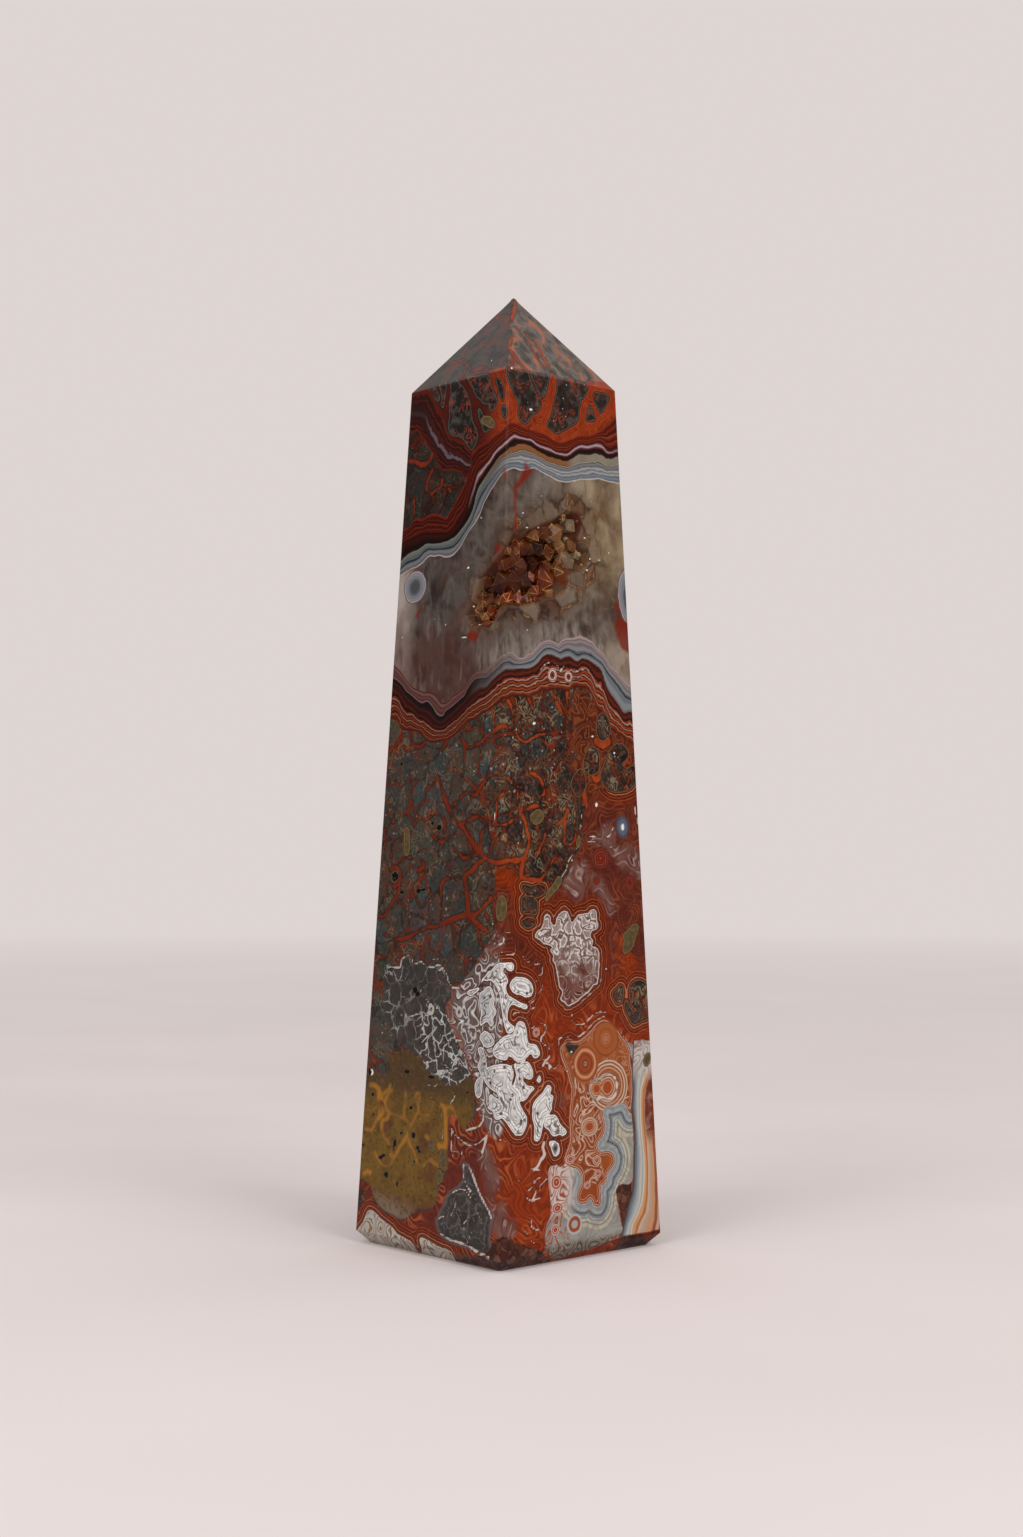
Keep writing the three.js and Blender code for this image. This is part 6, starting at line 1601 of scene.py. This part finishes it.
def paint_blue_grey(paint, blue, orange, across):
    """Blue-grey agate, banded along the outside of the orange stone."""
    shown = paint.times(paint.spread(blue, 0.06, -0.06), paint.spread(orange, -0.04, 0.04))
    paint.lay(paint.shades(paint.noise(2.4, 2, 61), (110, 106, 97), (142, 140, 133), (168, 163, 150)), shown)
    paint.bands(orange, [
        (0.0, (176, 170, 164)), (0.1, (134, 138, 140)), (0.5, (150, 154, 154)), (0.8, (112, 118, 122)),
        (0.93, (58, 68, 76)), (1.05, (116, 123, 127)), (1.3, (158, 160, 157)), (1.5, (118, 122, 120)),
        (1.62, (176, 172, 158)), (1.9, (132, 126, 110)), (2.1, (174, 166, 148)), (2.5, None)], 0.1, shown)
    pink = paint.times(shown, paint.spread(across, 11.6, 10.4), paint.spread(paint.height, 5.0, 6.4, 0, 0.9))
    paint.lay(paint.shades(paint.noise(1.6, 2, 62), (178, 152, 142), (212, 202, 194)), pink)
    loops = paint.times(shown, paint.spread(across, 10.6, 9.6), 0.95)
    paint.bands(paint.waves(1.9, 7, 64, 0.5), [
        (0.0, None), (0.4, (164, 74, 44)), (0.5, (138, 44, 18)), (0.66, (182, 124, 100)),
        (0.74, None)], 0.06, loops)
    paint.lay((118, 110, 106), paint.times(shown, paint.lines(2.6, 7, 63, 0.3, 0.2), 0.4))
    foot = paint.times(paint.spread(paint.height, 2.5, 1.9), paint.spread(blue, 0.5, 0.2))
    paint.bands(paint.waves(3.0, 8, 65, 0.3), [
        (0.0, (96, 84, 74)), (0.25, (62, 42, 34)), (0.4, (124, 118, 106)), (0.62, (88, 56, 42)),
        (0.75, (140, 130, 118)), (0.9, (96, 84, 74))], 0.1, foot)


def paint_white(paint, white, across):
    """White patches with a dark line round them, finer grey lines inside and small pores."""
    depth = paint.times(white, -1)
    low = paint.spread(paint.height, 5, 3, 0, 0.9)
    paint.bands(depth, [
        (-0.1, (66, 34, 28)), (-0.01, (150, 130, 124)), (0.04, WHITE), (0.15, (128, 116, 112)), (0.21, WHITE),
        (0.4, (190, 189, 190)), (0.47, (122, 114, 112)), (0.52, (222, 220, 217)), (0.8, (156, 151, 150)),
        (0.88, (206, 204, 201)), (1.3, (180, 180, 180)), (3.2, (206, 203, 199))],
        0.04, paint.spread(depth, -0.12, -0.07))
    inside = paint.spread(depth, 0.1, 0.25)
    strand = paint.times(paint.lines(2.0, 8, 71, 0.8, 0.18),
                         paint.spread(paint.noise(1.5, 1, 74), 0.42, 0.54, 0.1, 0.9))
    paint.lay((88, 70, 64), paint.times(inside, strand))
    paint.lay((168, 160, 156), paint.times(inside, paint.spread(paint.noise(0.9, 4, 72), 0.52, 0.7, 0, 0.7)))
    paint.lay((62, 40, 35), paint.times(inside, paint.spread(paint.cells(1.15, 73), 0.2, 0.13, 0, 0.9)))
    paint.tint((206, 208, 212), paint.times(inside, paint.spread(across, -0.5, -3.0)))
    foot = paint.times(paint.spread(depth, -0.05, 0.05), low)
    paint.lay(paint.shades(paint.noise(1.1, 3, 76), (140, 134, 122), (172, 168, 156), (196, 192, 182)), foot)
    paint.bands(paint.waves(2.6, 6, 75, 0.6), [
        (0.0, None), (0.2, (120, 78, 50)), (0.32, (150, 110, 82)), (0.4, (190, 184, 172)),
        (0.52, (146, 146, 144)), (0.62, (96, 56, 40)), (0.7, None)], 0.1, foot)


def paint_lacy(paint, lacy):
    """The white and mauve patch: white lumps above, and white strands on mauve below."""
    depth = paint.times(lacy, -1)
    shown = paint.spread(depth, -0.03, 0.03)
    uneven = paint.plus(paint.height, paint.spread(paint.noise(2.0, 1, 80), 0.3, 0.7, -2.5, 2.5))
    pale = paint.spread(uneven, 31, 35.5)
    less = paint.minus(1.0, pale)
    low = paint.shades(paint.noise(1.8, 2, 85, warp=0.5), (62, 27, 21), (90, 47, 39), (114, 74, 65),
                       (82, 42, 34))
    lumps = paint.shades(paint.noise(0.8, 3, 86), (108, 84, 77), (172, 158, 150))
    paint.lay(paint.mix(pale, low, lumps), shown)
    wall = paint.walls(1.5, 81, paint.curled)
    high = paint.times(shown, pale)
    paint.lay((206, 199, 194), paint.times(high, paint.spread(paint.away(wall, 0.14), 0.07, 0.03)))
    paint.lay((92, 62, 56), paint.times(high, paint.spread(wall, 0.06, 0.02, 0, 0.85)))
    paint.lay((84, 52, 46), paint.times(high, paint.spread(paint.cells(0.75, 82), 0.2, 0.13, 0, 0.85)))
    strands = paint.times(shown, less, paint.spread(paint.noise(1.6, 1, 84), 0.42, 0.56, 0.1, 0.9))
    paint.bands(paint.waves(2.0, 6, 83, 1.0), [
        (0.0, None), (0.36, (138, 106, 96)), (0.46, (184, 164, 154)), (0.56, (112, 74, 65)),
        (0.66, (56, 25, 19)), (0.8, None)], 0.1, strands)
    paint.bands(depth, [(-0.12, (56, 24, 19)), (-0.01, (190, 176, 169)), (0.14, (120, 92, 86)),
                        (0.22, None)], 0.05)


def paint_yellow(paint, yellow, gold, across):
    """The mustard stone with its gold veins."""
    shown = paint.spread(yellow, 0.15, -0.15)
    ground = paint.shades(paint.noise(2.6, 4, 91), (74, 54, 22), (94, 68, 26), (112, 83, 32), (92, 65, 25))
    ground = paint.mix(paint.spread(paint.height, 16.8, 18.6, 0, 0.75), ground, (66, 49, 34))
    corner = paint.spread(paint.plus(paint.height, paint.times(across, 0.35)), 1.2, -1.4)
    paler = paint.shades(paint.noise(1.4, 3, 96), (98, 78, 66), (140, 122, 108))
    foot = paint.mix(corner, (96, 54, 36), paler)
    ground = paint.mix(paint.spread(paint.height, 7.0, 5.0, 0, 0.75), ground, foot)
    paint.lay(ground, shown)
    paint.lay((52, 38, 22), paint.times(shown, paint.spread(paint.noise(0.45, 4, 92), 0.5, 0.74, 0, 0.75)))
    paint.lay((128, 98, 52), paint.times(shown, paint.spread(paint.noise(0.7, 4, 93), 0.55, 0.75, 0, 0.5)))
    paint.lay((84, 44, 32), paint.times(shown, paint.spread(paint.noise(3.4, 2, 94), 0.56, 0.68, 0, 0.6)))
    uneven = paint.plus(gold, paint.spread(paint.noise(1.8, 1, 95), 0.35, 0.65, -0.08, 0.1))
    paint.bands(uneven, [(-1, (156, 104, 34)), (-0.1, (136, 92, 34)), (0.04, (112, 78, 34)),
                         (0.18, None)], 0.12, shown)


def paint_crackled(paint, crackled, across):
    """Dark stone full of pale cracks."""
    shown = paint.spread(crackled, 0.1, -0.2)
    ground = paint.shades(paint.noise(1.6, 4, 101), (36, 33, 31), (48, 44, 41), (62, 57, 53), (42, 38, 36))
    paint.lay(ground, shown)
    paint.lay((84, 62, 60), paint.times(shown, paint.spread(paint.noise(3, 2, 105), 0.52, 0.66, 0, 0.5)))
    crack = paint.walls(1.9, 102, paint.curled)
    net = paint.times(paint.spread(across, -15.0, -13.0), paint.spread(paint.height, 28.5, 27.0))
    few = paint.spread(paint.noise(2.4, 1, 104), 0.46, 0.62, 0.08, 0.5)
    low = paint.spread(paint.height, 14, 10)
    some = paint.times(shown, paint.most(few, net), paint.spread(low, 0, 1, 1, 0.12))
    paint.lay((92, 90, 87), paint.times(some, paint.spread(crack, 0.13, 0.03, 0, 0.4)))
    paint.lay((190, 191, 188), paint.times(some, paint.spread(crack, 0.045, 0.015, 0, 0.95)))
    mottle = paint.times(shown, paint.spread(paint.noise(0.8, 4, 106, warp=0.8), 0.56, 0.74, 0, 0.7))
    paint.lay((112, 108, 108), paint.times(low, mottle))
    fine = paint.walls(0.7, 103, paint.curled)
    paint.lay((110, 108, 104), paint.times(some, paint.spread(fine, 0.06, 0.02, 0, 0.3)))
    paint.bands(crackled, [(-0.8, (52, 45, 44)), (-0.5, (78, 66, 66)), (-0.2, (112, 96, 96)),
                           (-0.06, (78, 52, 49)), (0.06, None)], 0.3, paint.times(low, 0.7))


def paint_pebbled(paint, pebbled):
    """Dark pebbled stone at the foot."""
    shown = paint.spread(pebbled, 0.1, -0.1)
    tone = paint.tones(0.8, 111)
    pebbles = paint.shades(tone, (48, 24, 19), (82, 42, 31), (104, 68, 54), (58, 32, 26), (92, 50, 37))
    paint.lay(pebbles, shown)
    edge = paint.spread(paint.walls(0.8, 111), 0.1, 0.03, 0, 0.6)
    paint.lay((30, 16, 13), paint.times(shown, edge))
    paint.lay((118, 104, 96), paint.times(shown, paint.spread(paint.noise(0.6, 4, 112), 0.6, 0.76, 0, 0.6)))


def paint_edge(paint, edge, across):
    """The upright bands beside the right-hand corner."""
    height = paint.height
    top = paint.wobbled(height, 1.4, 0.25, 142)
    there = paint.least(paint.spread(across, 12, 14), paint.spread(across, 33, 31),
                        paint.spread(height, EDGE_FOOT - 0.1, EDGE_FOOT + 0.1))
    below = paint.times(there, paint.spread(top, 23.7, 23.45))
    paint.bands(edge, [
        (-0.2, (70, 62, 56)), (0.04, (96, 103, 114)), (0.34, (124, 130, 137)), (0.62, (150, 154, 154)),
        (0.94, (178, 174, 166)), (1.4, (156, 157, 154)), (1.78, (194, 184, 164)), (2.05, (188, 142, 102)),
        (2.5, (164, 104, 62)), (2.85, (190, 158, 132)), (3.15, (168, 146, 132)), (3.45, (184, 134, 98)),
        (3.9, (138, 78, 52)), (4.3, (184, 148, 126)), (4.9, None)], 0.12, below)
    foot = paint.least(paint.spread(height, EDGE_FOOT + 0.1, EDGE_FOOT - 0.1), paint.spread(across, 18.5, 20))
    paint.tint((182, 160, 150), foot)
    outer = paint.times(paint.spread(edge, 2.75, 3.1), paint.spread(height, 11.5, 13.5))
    outer = paint.least(outer, there, paint.spread(edge, 5.2, 4.8))
    streaks = paint.shades(paint.noise(1.2, 3, 141, warp=0.8), (66, 26, 18), (112, 48, 30), (176, 154, 144))
    paint.lay(streaks, outer)
    inner = paint.times(paint.spread(edge, -0.1, 0.05), paint.spread(edge, 4.9, 4.6))
    corner = paint.times(inner, below, paint.spread(top, 19.0, 21.0))
    pale = paint.shades(paint.noise(1.5, 2, 143, warp=0.6), (126, 120, 116), (176, 174, 170), (198, 197, 193))
    paint.lay(pale, corner)
    paint.lay((150, 88, 60), paint.times(corner, paint.lines(2.2, 6, 144, 0.6, 0.16), 0.7))


def paint_rounds(paint, *names):
    """Sets of round markings."""
    for name in names:
        ring = paint.wobbled(paint.read(name), *RING_WANDER, RING_SEED + len(name))
        paint.bands(ring, RING_BANDS[name], 0.08)


def paint_islands(paint, matrix):
    """Dark cells that show the broken stone again."""
    island = paint.drawn("island")
    paint.lay(matrix, paint.spread(island, 0.04, -0.04))
    paint.bands(island, [(-0.05, (40, 26, 19)), (0.06, (122, 94, 64)), (0.14, (70, 34, 24)),
                         (0.2, None)], 0.05, 0.8)


def paint_details(paint, across):
    """The pale lines, fragments and rust, the pits in painted shade and the painted glints, and then the
    polished surface.
    """
    line = paint.plus(paint.drawn("pale_line"),
                      paint.spread(paint.noise(1.4, 1, 128), 0.35, 0.65, -0.02, 0.05))
    tone = paint.mix(paint.spread(across, -9, 0), (176, 172, 166), (206, 186, 174))
    paint.lay((52, 24, 20), paint.spread(line, 0.14, 0.03, 0, 0.55))
    paint.lay(tone, paint.spread(line, 0.04, -0.02, 0, 0.92))
    fragment = paint.drawn("fragment")
    chip = paint.shades(paint.noise(0.5, 3, 122), (44, 36, 24), (86, 72, 47), (126, 106, 72))
    paint.bands(fragment, [(-0.12, (112, 90, 58)), (0.04, (44, 22, 15)), (0.1, None)], 0.05)
    paint.lay(chip, paint.spread(fragment, -0.04, -0.14))
    rust = paint.drawn("rust")
    paint.lay((112, 30, 14), paint.spread(rust, 0.2, -0.25, 0, 0.85))
    # Painted shade: each pit is painted near black in the middle, as the shade inside a hollow
    pit = paint.drawn("pit")
    paint.bands(pit, [(0.0, (10, 8, 7)), (0.95, (84, 68, 44)), (1.2, None)], 0.1)
    glint = paint.drawn("glint")
    paint.lay((238, 232, 220), paint.spread(glint, 1.2, 0.8, 0, 0.95))
    rough = paint.spread(paint.noise(0.6, 3, 131), 0.35, 0.75, 0.07, 0.2)
    low = paint.times(paint.spread(paint.cells(1.2, 132), 0.16, 0.06, 0, -0.02),
                     paint.spread(paint.noise(3, 1, 133), 0.5, 0.6))
    return paint.finish(rough, {"IOR": QUARTZ_IOR, "Specular IOR Level": SHEEN}, low)


def paint_ground(name, pointed=False):
    """A new paint with the broken stone and its veins, and what the other painters ask of it."""
    paint = Paint(name, (60, 50, 45))
    across = paint.drawn("across")
    paint_matrix(paint, across)
    matrix = paint.colour
    if pointed:
        paint_point(paint, across)
    paint_veins(paint, across)
    return paint, across, matrix


def paint_red_stone(paint, across):
    """The red-brown stone, with what it needs to know of the patches in it."""
    white = paint.drawn("white")
    lacy = paint.drawn("lacy")
    island = paint.drawn("island")
    jasper = paint.drawn("jasper")
    mauve = paint.drawn("mauve")
    paint_jasper(paint, jasper, mauve, paint.least(white, lacy, island), across)


def top_material():
    """The point, the dark cells under it, the upper bands and the quartz round the pocket."""
    paint, across, _ = paint_ground("agate_top", True)
    paint_cell_field(paint, across)
    upper = paint.drawn("upper")
    lower = paint.drawn("lower")
    paint_quartz(paint, upper, lower, across)
    paint_upper(paint, upper, across)
    paint_lens(paint, across)
    paint_rounds(paint, "slate")
    return paint_details(paint, across)


def middle_material():
    """The quartz's foot, the lower bands, the broken stone and the upper part of the red-brown stone."""
    paint, across, matrix = paint_ground("agate_middle")
    upper = paint.drawn("upper")
    lower = paint.drawn("lower")
    paint_quartz(paint, upper, lower, across)
    paint_lower(paint, lower, across)
    paint_red_stone(paint, across)
    paint_islands(paint, matrix)
    paint_rounds(paint, "eye", "night", "pupil")
    return paint_details(paint, across)


def low_material():
    """The lower third, with the foot of the broken stone and all the patches."""
    paint, across, matrix = paint_ground("agate_low")
    paint_red_stone(paint, across)
    yellow = paint.drawn("yellow")
    paint_yellow(paint, yellow, paint.drawn("gold"), across)
    paint_crackled(paint, paint.drawn("crackled"), across)
    paint_pebbled(paint, paint.drawn("pebbled"))
    orange = paint.drawn("orange")
    paint_orange(paint, orange)
    paint_rounds(paint, "arch")
    paint_blue_grey(paint, paint.drawn("blue_grey"), orange, across)
    paint_islands(paint, matrix)
    paint_edge(paint, paint.drawn("edge"), across)
    paint_rounds(paint, "target", "peach", "pair", "bud", "loop")
    paint_white(paint, paint.drawn("white"), across)
    paint_rounds(paint, "drop")
    paint_lacy(paint, paint.drawn("lacy"))
    return paint_details(paint, across)


def crystal_corners(tip, axis, radius, draw):
    """A quartz crystal's corners: a ring in the rock, a ring under the point, and its tip."""
    side = np.cross(axis, (0.3, 0.2, 1.0))
    side /= np.linalg.norm(side)
    other = np.cross(axis, side)
    turn = draw.uniform(0, math.pi)
    root = []
    rim = []
    for i in range(CRYSTAL_SIDES):
        angle = turn + math.tau * i / CRYSTAL_SIDES
        reach = radius * draw.uniform(0.85, 1.1)
        away = (side * math.cos(angle) + other * math.sin(angle)) * reach
        drop = radius * CRYSTAL_DROPS[i % 2] * draw.uniform(0.85, 1.15)
        rim.append(tip + away - axis * drop)
        root.append(tip + away * CRYSTAL_ROOT - axis * CRYSTAL_LENGTH)
    return root + rim + [tip]


def under_polish(corner):
    """The same corner, moved in where it would stand out of the polished front faces."""
    inner = side_at(corner[2]) / 2 - CRYSTAL_COVER
    lean = lean_at(corner[2])
    return np.array((min(corner[0], lean + inner), max(corner[1], lean - inner), corner[2]))


def small_tone(across, height, draw):
    """A small crystal's tone: smoky and clear to the right, orange below there, mixed low down, else dark."""
    if across > 7.6 and height > 76.3:
        return draw.choice((0.55, 0.62, 0.9, 1.0))
    if across > 3.8 and height < 76.5:
        return draw.choice((0.35, 0.72, 0.78, 0.84))
    if height < 73.2:
        return draw.choice((0.2, 0.35, 0.45, 0.55, 0.78, 0.86))
    return draw.choice((0.05, 0.1, 0.18, 0.28, 0.36, 0.62))


def taken(across, height):
    """Whether a place is too near the middle of a drawn crystal for a small one."""
    return any(math.hypot(across - row[0], height - row[1]) < CLEARANCE * row[2] for row in CRYSTALS)


def plan_crystals(draw):
    """The rows of all the pocket's crystals: the drawn ones, and small ones strewn between them."""
    planned = list(CRYSTALS)
    mouth = distance_to(POCKET, True)
    while len(planned) < len(CRYSTALS) + SMALL_CRYSTALS:
        across = draw.uniform(*SMALL_ACROSS)
        height = draw.uniform(*SMALL_HEIGHT)
        column = np.searchsorted(TURNS, across / side_at(height))
        edge = mouth[np.searchsorted(HEIGHTS, height), column]
        if edge > 0.1 or taken(across, height):
            continue
        radius = draw.uniform(*SMALL_RADIUS)
        below = 0.1 + draw.uniform(0.0, 0.3) + float(pocket_depth(edge)) * draw.uniform(0.2, 0.7)
        lean_across, lean_up = draw.uniform(-SMALL_LEAN, SMALL_LEAN, 2)
        tone = small_tone(across, height, draw)
        planned.append((across, height, radius, below, lean_across, lean_up, tone))
    return planned


def bevel_edges(mesh):
    """Narrow bevels along all of a mesh's edges, marked as its rim, which the crystal material paints as
    highlights.
    """
    shape = bmesh.new()
    shape.from_mesh(mesh)
    bmesh.ops.recalc_face_normals(shape, faces=shape.faces)
    rim = shape.faces.layers.float.new("rim")
    made = bmesh.ops.bevel(shape, geom=shape.edges, offset=CRYSTAL_BEVEL * MM, segments=1, affect="EDGES")
    for face in made["faces"]:
        face[rim] = 1.0
    shape.to_mesh(mesh)
    shape.free()


def make_crystals():
    """The pocket's crystals in one piece, each with its tone."""
    draw = np.random.default_rng(SMALL_SEED)
    vertices = []
    faces = []
    tones = []
    for across, height, radius, below, lean_across, lean_up, tone in plan_crystals(draw):
        point, _ = skin_at(np.array(across / side_at(height)), np.array(height))
        out = pocket_way(np.array(across))
        along = np.array((-out[1], out[0], 0))
        axis = out + along * lean_across + np.array((0, 0, lean_up))
        axis /= np.linalg.norm(axis)
        low = len(vertices)
        high = low + CRYSTAL_SIDES
        tip = high + CRYSTAL_SIDES
        corners = crystal_corners(point - out * below, axis, radius, draw)
        vertices += [under_polish(corner) for corner in corners]
        tones += [tone] * len(corners)
        for i in range(CRYSTAL_SIDES):
            j = (i + 1) % CRYSTAL_SIDES
            faces += [(low + i, low + j, high + j, high + i), (high + i, high + j, tip)]
        faces.append(tuple(range(low, high))[::-1])
    made = add_mesh("pocket_crystals", vertices, faces, smooth=False)
    made.data.attributes.new("tone", "FLOAT", "POINT").data.foreach_set("value", tones)
    bevel_edges(made.data)
    return made


def crystal_material():
    """Rust-stained quartz, with painted highlights along its edges."""
    paint = Paint("stained_quartz_crystals", (58, 34, 22))
    tone = paint.drawn("tone")
    tones = [
        (0.0, (34, 12, 2)), (0.16, (60, 23, 4)), (0.3, (84, 33, 8)), (0.45, (98, 52, 21)),
        (0.58, (122, 84, 50)), (0.72, (108, 46, 14)), (0.84, (118, 39, 7)), (0.9, (116, 100, 78)),
        (1.0, (144, 131, 106))]
    paint.colour = paint.ramp(tone, 0, 1, [(at, colour, 1.0) for at, colour in tones]).outputs[0]
    amber = paint.spread(tone, 0.3, 0.55)
    stain = paint.times(paint.spread(tone, 0.9, 0.84, 0.15, 1),
                        paint.spread(paint.noise(1.6, 3, 2), 0.42, 0.65))
    paint.tint((176, 100, 60), stain)
    paint.lay((180, 112, 50), paint.times(amber, paint.spread(paint.noise(1.1, 2, 3), 0.58, 0.74, 0, 0.35)))
    # Painted highlights: the narrow rim faces along the crystals' edges are painted pale gold, more on the
    # amber ones, as if they caught the light
    rim = paint.times(paint.read("rim"), paint.spread(paint.noise(1.2, 2, 5), 0.45, 0.62, 0, 0.8))
    paint.lay((216, 166, 104), paint.times(rim, paint.spread(amber, 0, 1, 0.22, 1)))
    rough = paint.spread(paint.noise(0.4, 2, 4), 0.3, 0.8, 0.12, 0.35)
    gloss = {"IOR": QUARTZ_IOR, "Transmission Weight": 0.2, "Specular IOR Level": CRYSTAL_SHEEN}
    return paint.finish(rough, gloss)


def floor_material():
    """Pale and plain, and of the background's own brightness far away, so that no horizon shows."""
    paint = Paint("pale_floor", (226, 216, 214))
    paint.lay((216, 205, 203), paint.noise(60, 2, 1))
    away = paint.node("ShaderNodeVectorMath", {0: paint.place}, operation="LENGTH").outputs["Value"]
    far = paint.spread(away, *FLOOR_FADE)
    paint.colour = paint.mix(far, paint.colour, (0.0, 0.0, 0.0, 1.0))
    glow = {"Emission Color": BACKGROUND, "Emission Strength": far, "Specular IOR Level": 0.0}
    return paint.finish(0.6, glow)


def add_floor():
    """A wide round floor under the tower."""
    disc = bmesh.new()
    bmesh.ops.create_circle(disc, cap_ends=True, segments=FLOOR_SIDES, radius=FLOOR_RADIUS)
    mesh = bpy.data.meshes.new("floor")
    disc.to_mesh(mesh)
    disc.free()
    floor = bpy.data.objects.new("floor", mesh)
    bpy.context.scene.collection.objects.link(floor)
    floor.data.materials.append(floor_material())


def add_light(name, azimuth, power):
    """A square soft light aimed at the tower's middle."""
    light = bpy.data.lights.new(name, "AREA")
    light.shape = "SQUARE"
    light.size = LIGHT_SIZE
    light.energy = power
    made = bpy.data.objects.new(name, light)
    bpy.context.scene.collection.objects.link(made)
    turn = math.radians(azimuth)
    rise = math.radians(LIGHT_RISE)
    way = Vector((math.sin(turn) * math.cos(rise), -math.cos(turn) * math.cos(rise), math.sin(rise)))
    made.location = way * LIGHT_DISTANCE + Vector((0, 0, HEIGHT / 2 * MM))
    made.rotation_euler = way.to_track_quat("Z", "Y").to_euler()


def light_world():
    """A pale studio: light from above, dim round the sides, and the floor's own colour behind everything."""
    world = bpy.data.worlds.new("studio")
    world.use_nodes = True
    bpy.context.scene.world = world
    tree = world.node_tree
    tree.nodes.clear()
    place = tree.nodes.new("ShaderNodeTexCoord")
    split = tree.nodes.new("ShaderNodeSeparateXYZ")
    ramp = tree.nodes.new("ShaderNodeValToRGB")
    path = tree.nodes.new("ShaderNodeLightPath")
    mix = tree.nodes.new("ShaderNodeMix")
    back = tree.nodes.new("ShaderNodeBackground")
    out = tree.nodes.new("ShaderNodeOutputWorld")
    ramp.color_ramp.elements[0].position = SKY_START
    ramp.color_ramp.elements[0].color = SKY_DIM
    ramp.color_ramp.elements[1].position = SKY_FULL
    ramp.color_ramp.elements[1].color = SKY_BRIGHT
    mix.data_type = "RGBA"
    mix.inputs[7].default_value = BACKGROUND
    tree.links.new(place.outputs["Generated"], split.inputs[0])
    tree.links.new(split.outputs[2], ramp.inputs[0])
    tree.links.new(path.outputs["Is Camera Ray"], mix.inputs[0])
    tree.links.new(ramp.outputs[0], mix.inputs[6])
    tree.links.new(mix.outputs[2], back.inputs[0])
    tree.links.new(back.outputs[0], out.inputs[0])


def add_camera():
    """A camera where the photograph was taken from."""
    camera = bpy.data.cameras.new("camera")
    camera.lens = LENS
    camera.sensor_width = SENSOR_WIDTH
    camera.clip_start = CLIP_START
    made = bpy.data.objects.new("camera", camera)
    bpy.context.scene.collection.objects.link(made)
    sine = math.sin(VIEW_TURN)
    cosine = math.cos(VIEW_TURN)
    x = sine * VIEW_DISTANCE + cosine * VIEW_ASIDE
    y = sine * VIEW_ASIDE - cosine * VIEW_DISTANCE
    made.location = Vector((x, y, VIEW_HEIGHT)) * MM
    made.rotation_euler = (math.pi / 2 + VIEW_UP, 0, VIEW_TURN)
    bpy.context.scene.camera = made


add_camera()
light_world()
for light_name, (light_azimuth, light_power) in LIGHTS.items():
    add_light(light_name, light_azimuth, light_power)
add_floor()
bpy.context.scene.view_settings.view_transform = "Standard"

stone = make_stone()
for material in (low_material(), middle_material(), top_material()):
    stone.data.materials.append(material)
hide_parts("agate_tower")
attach(stone, "root")

crust = make_crystals()
crust.data.materials.append(crystal_material())
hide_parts("crystal_crust")
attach(crust, "root")
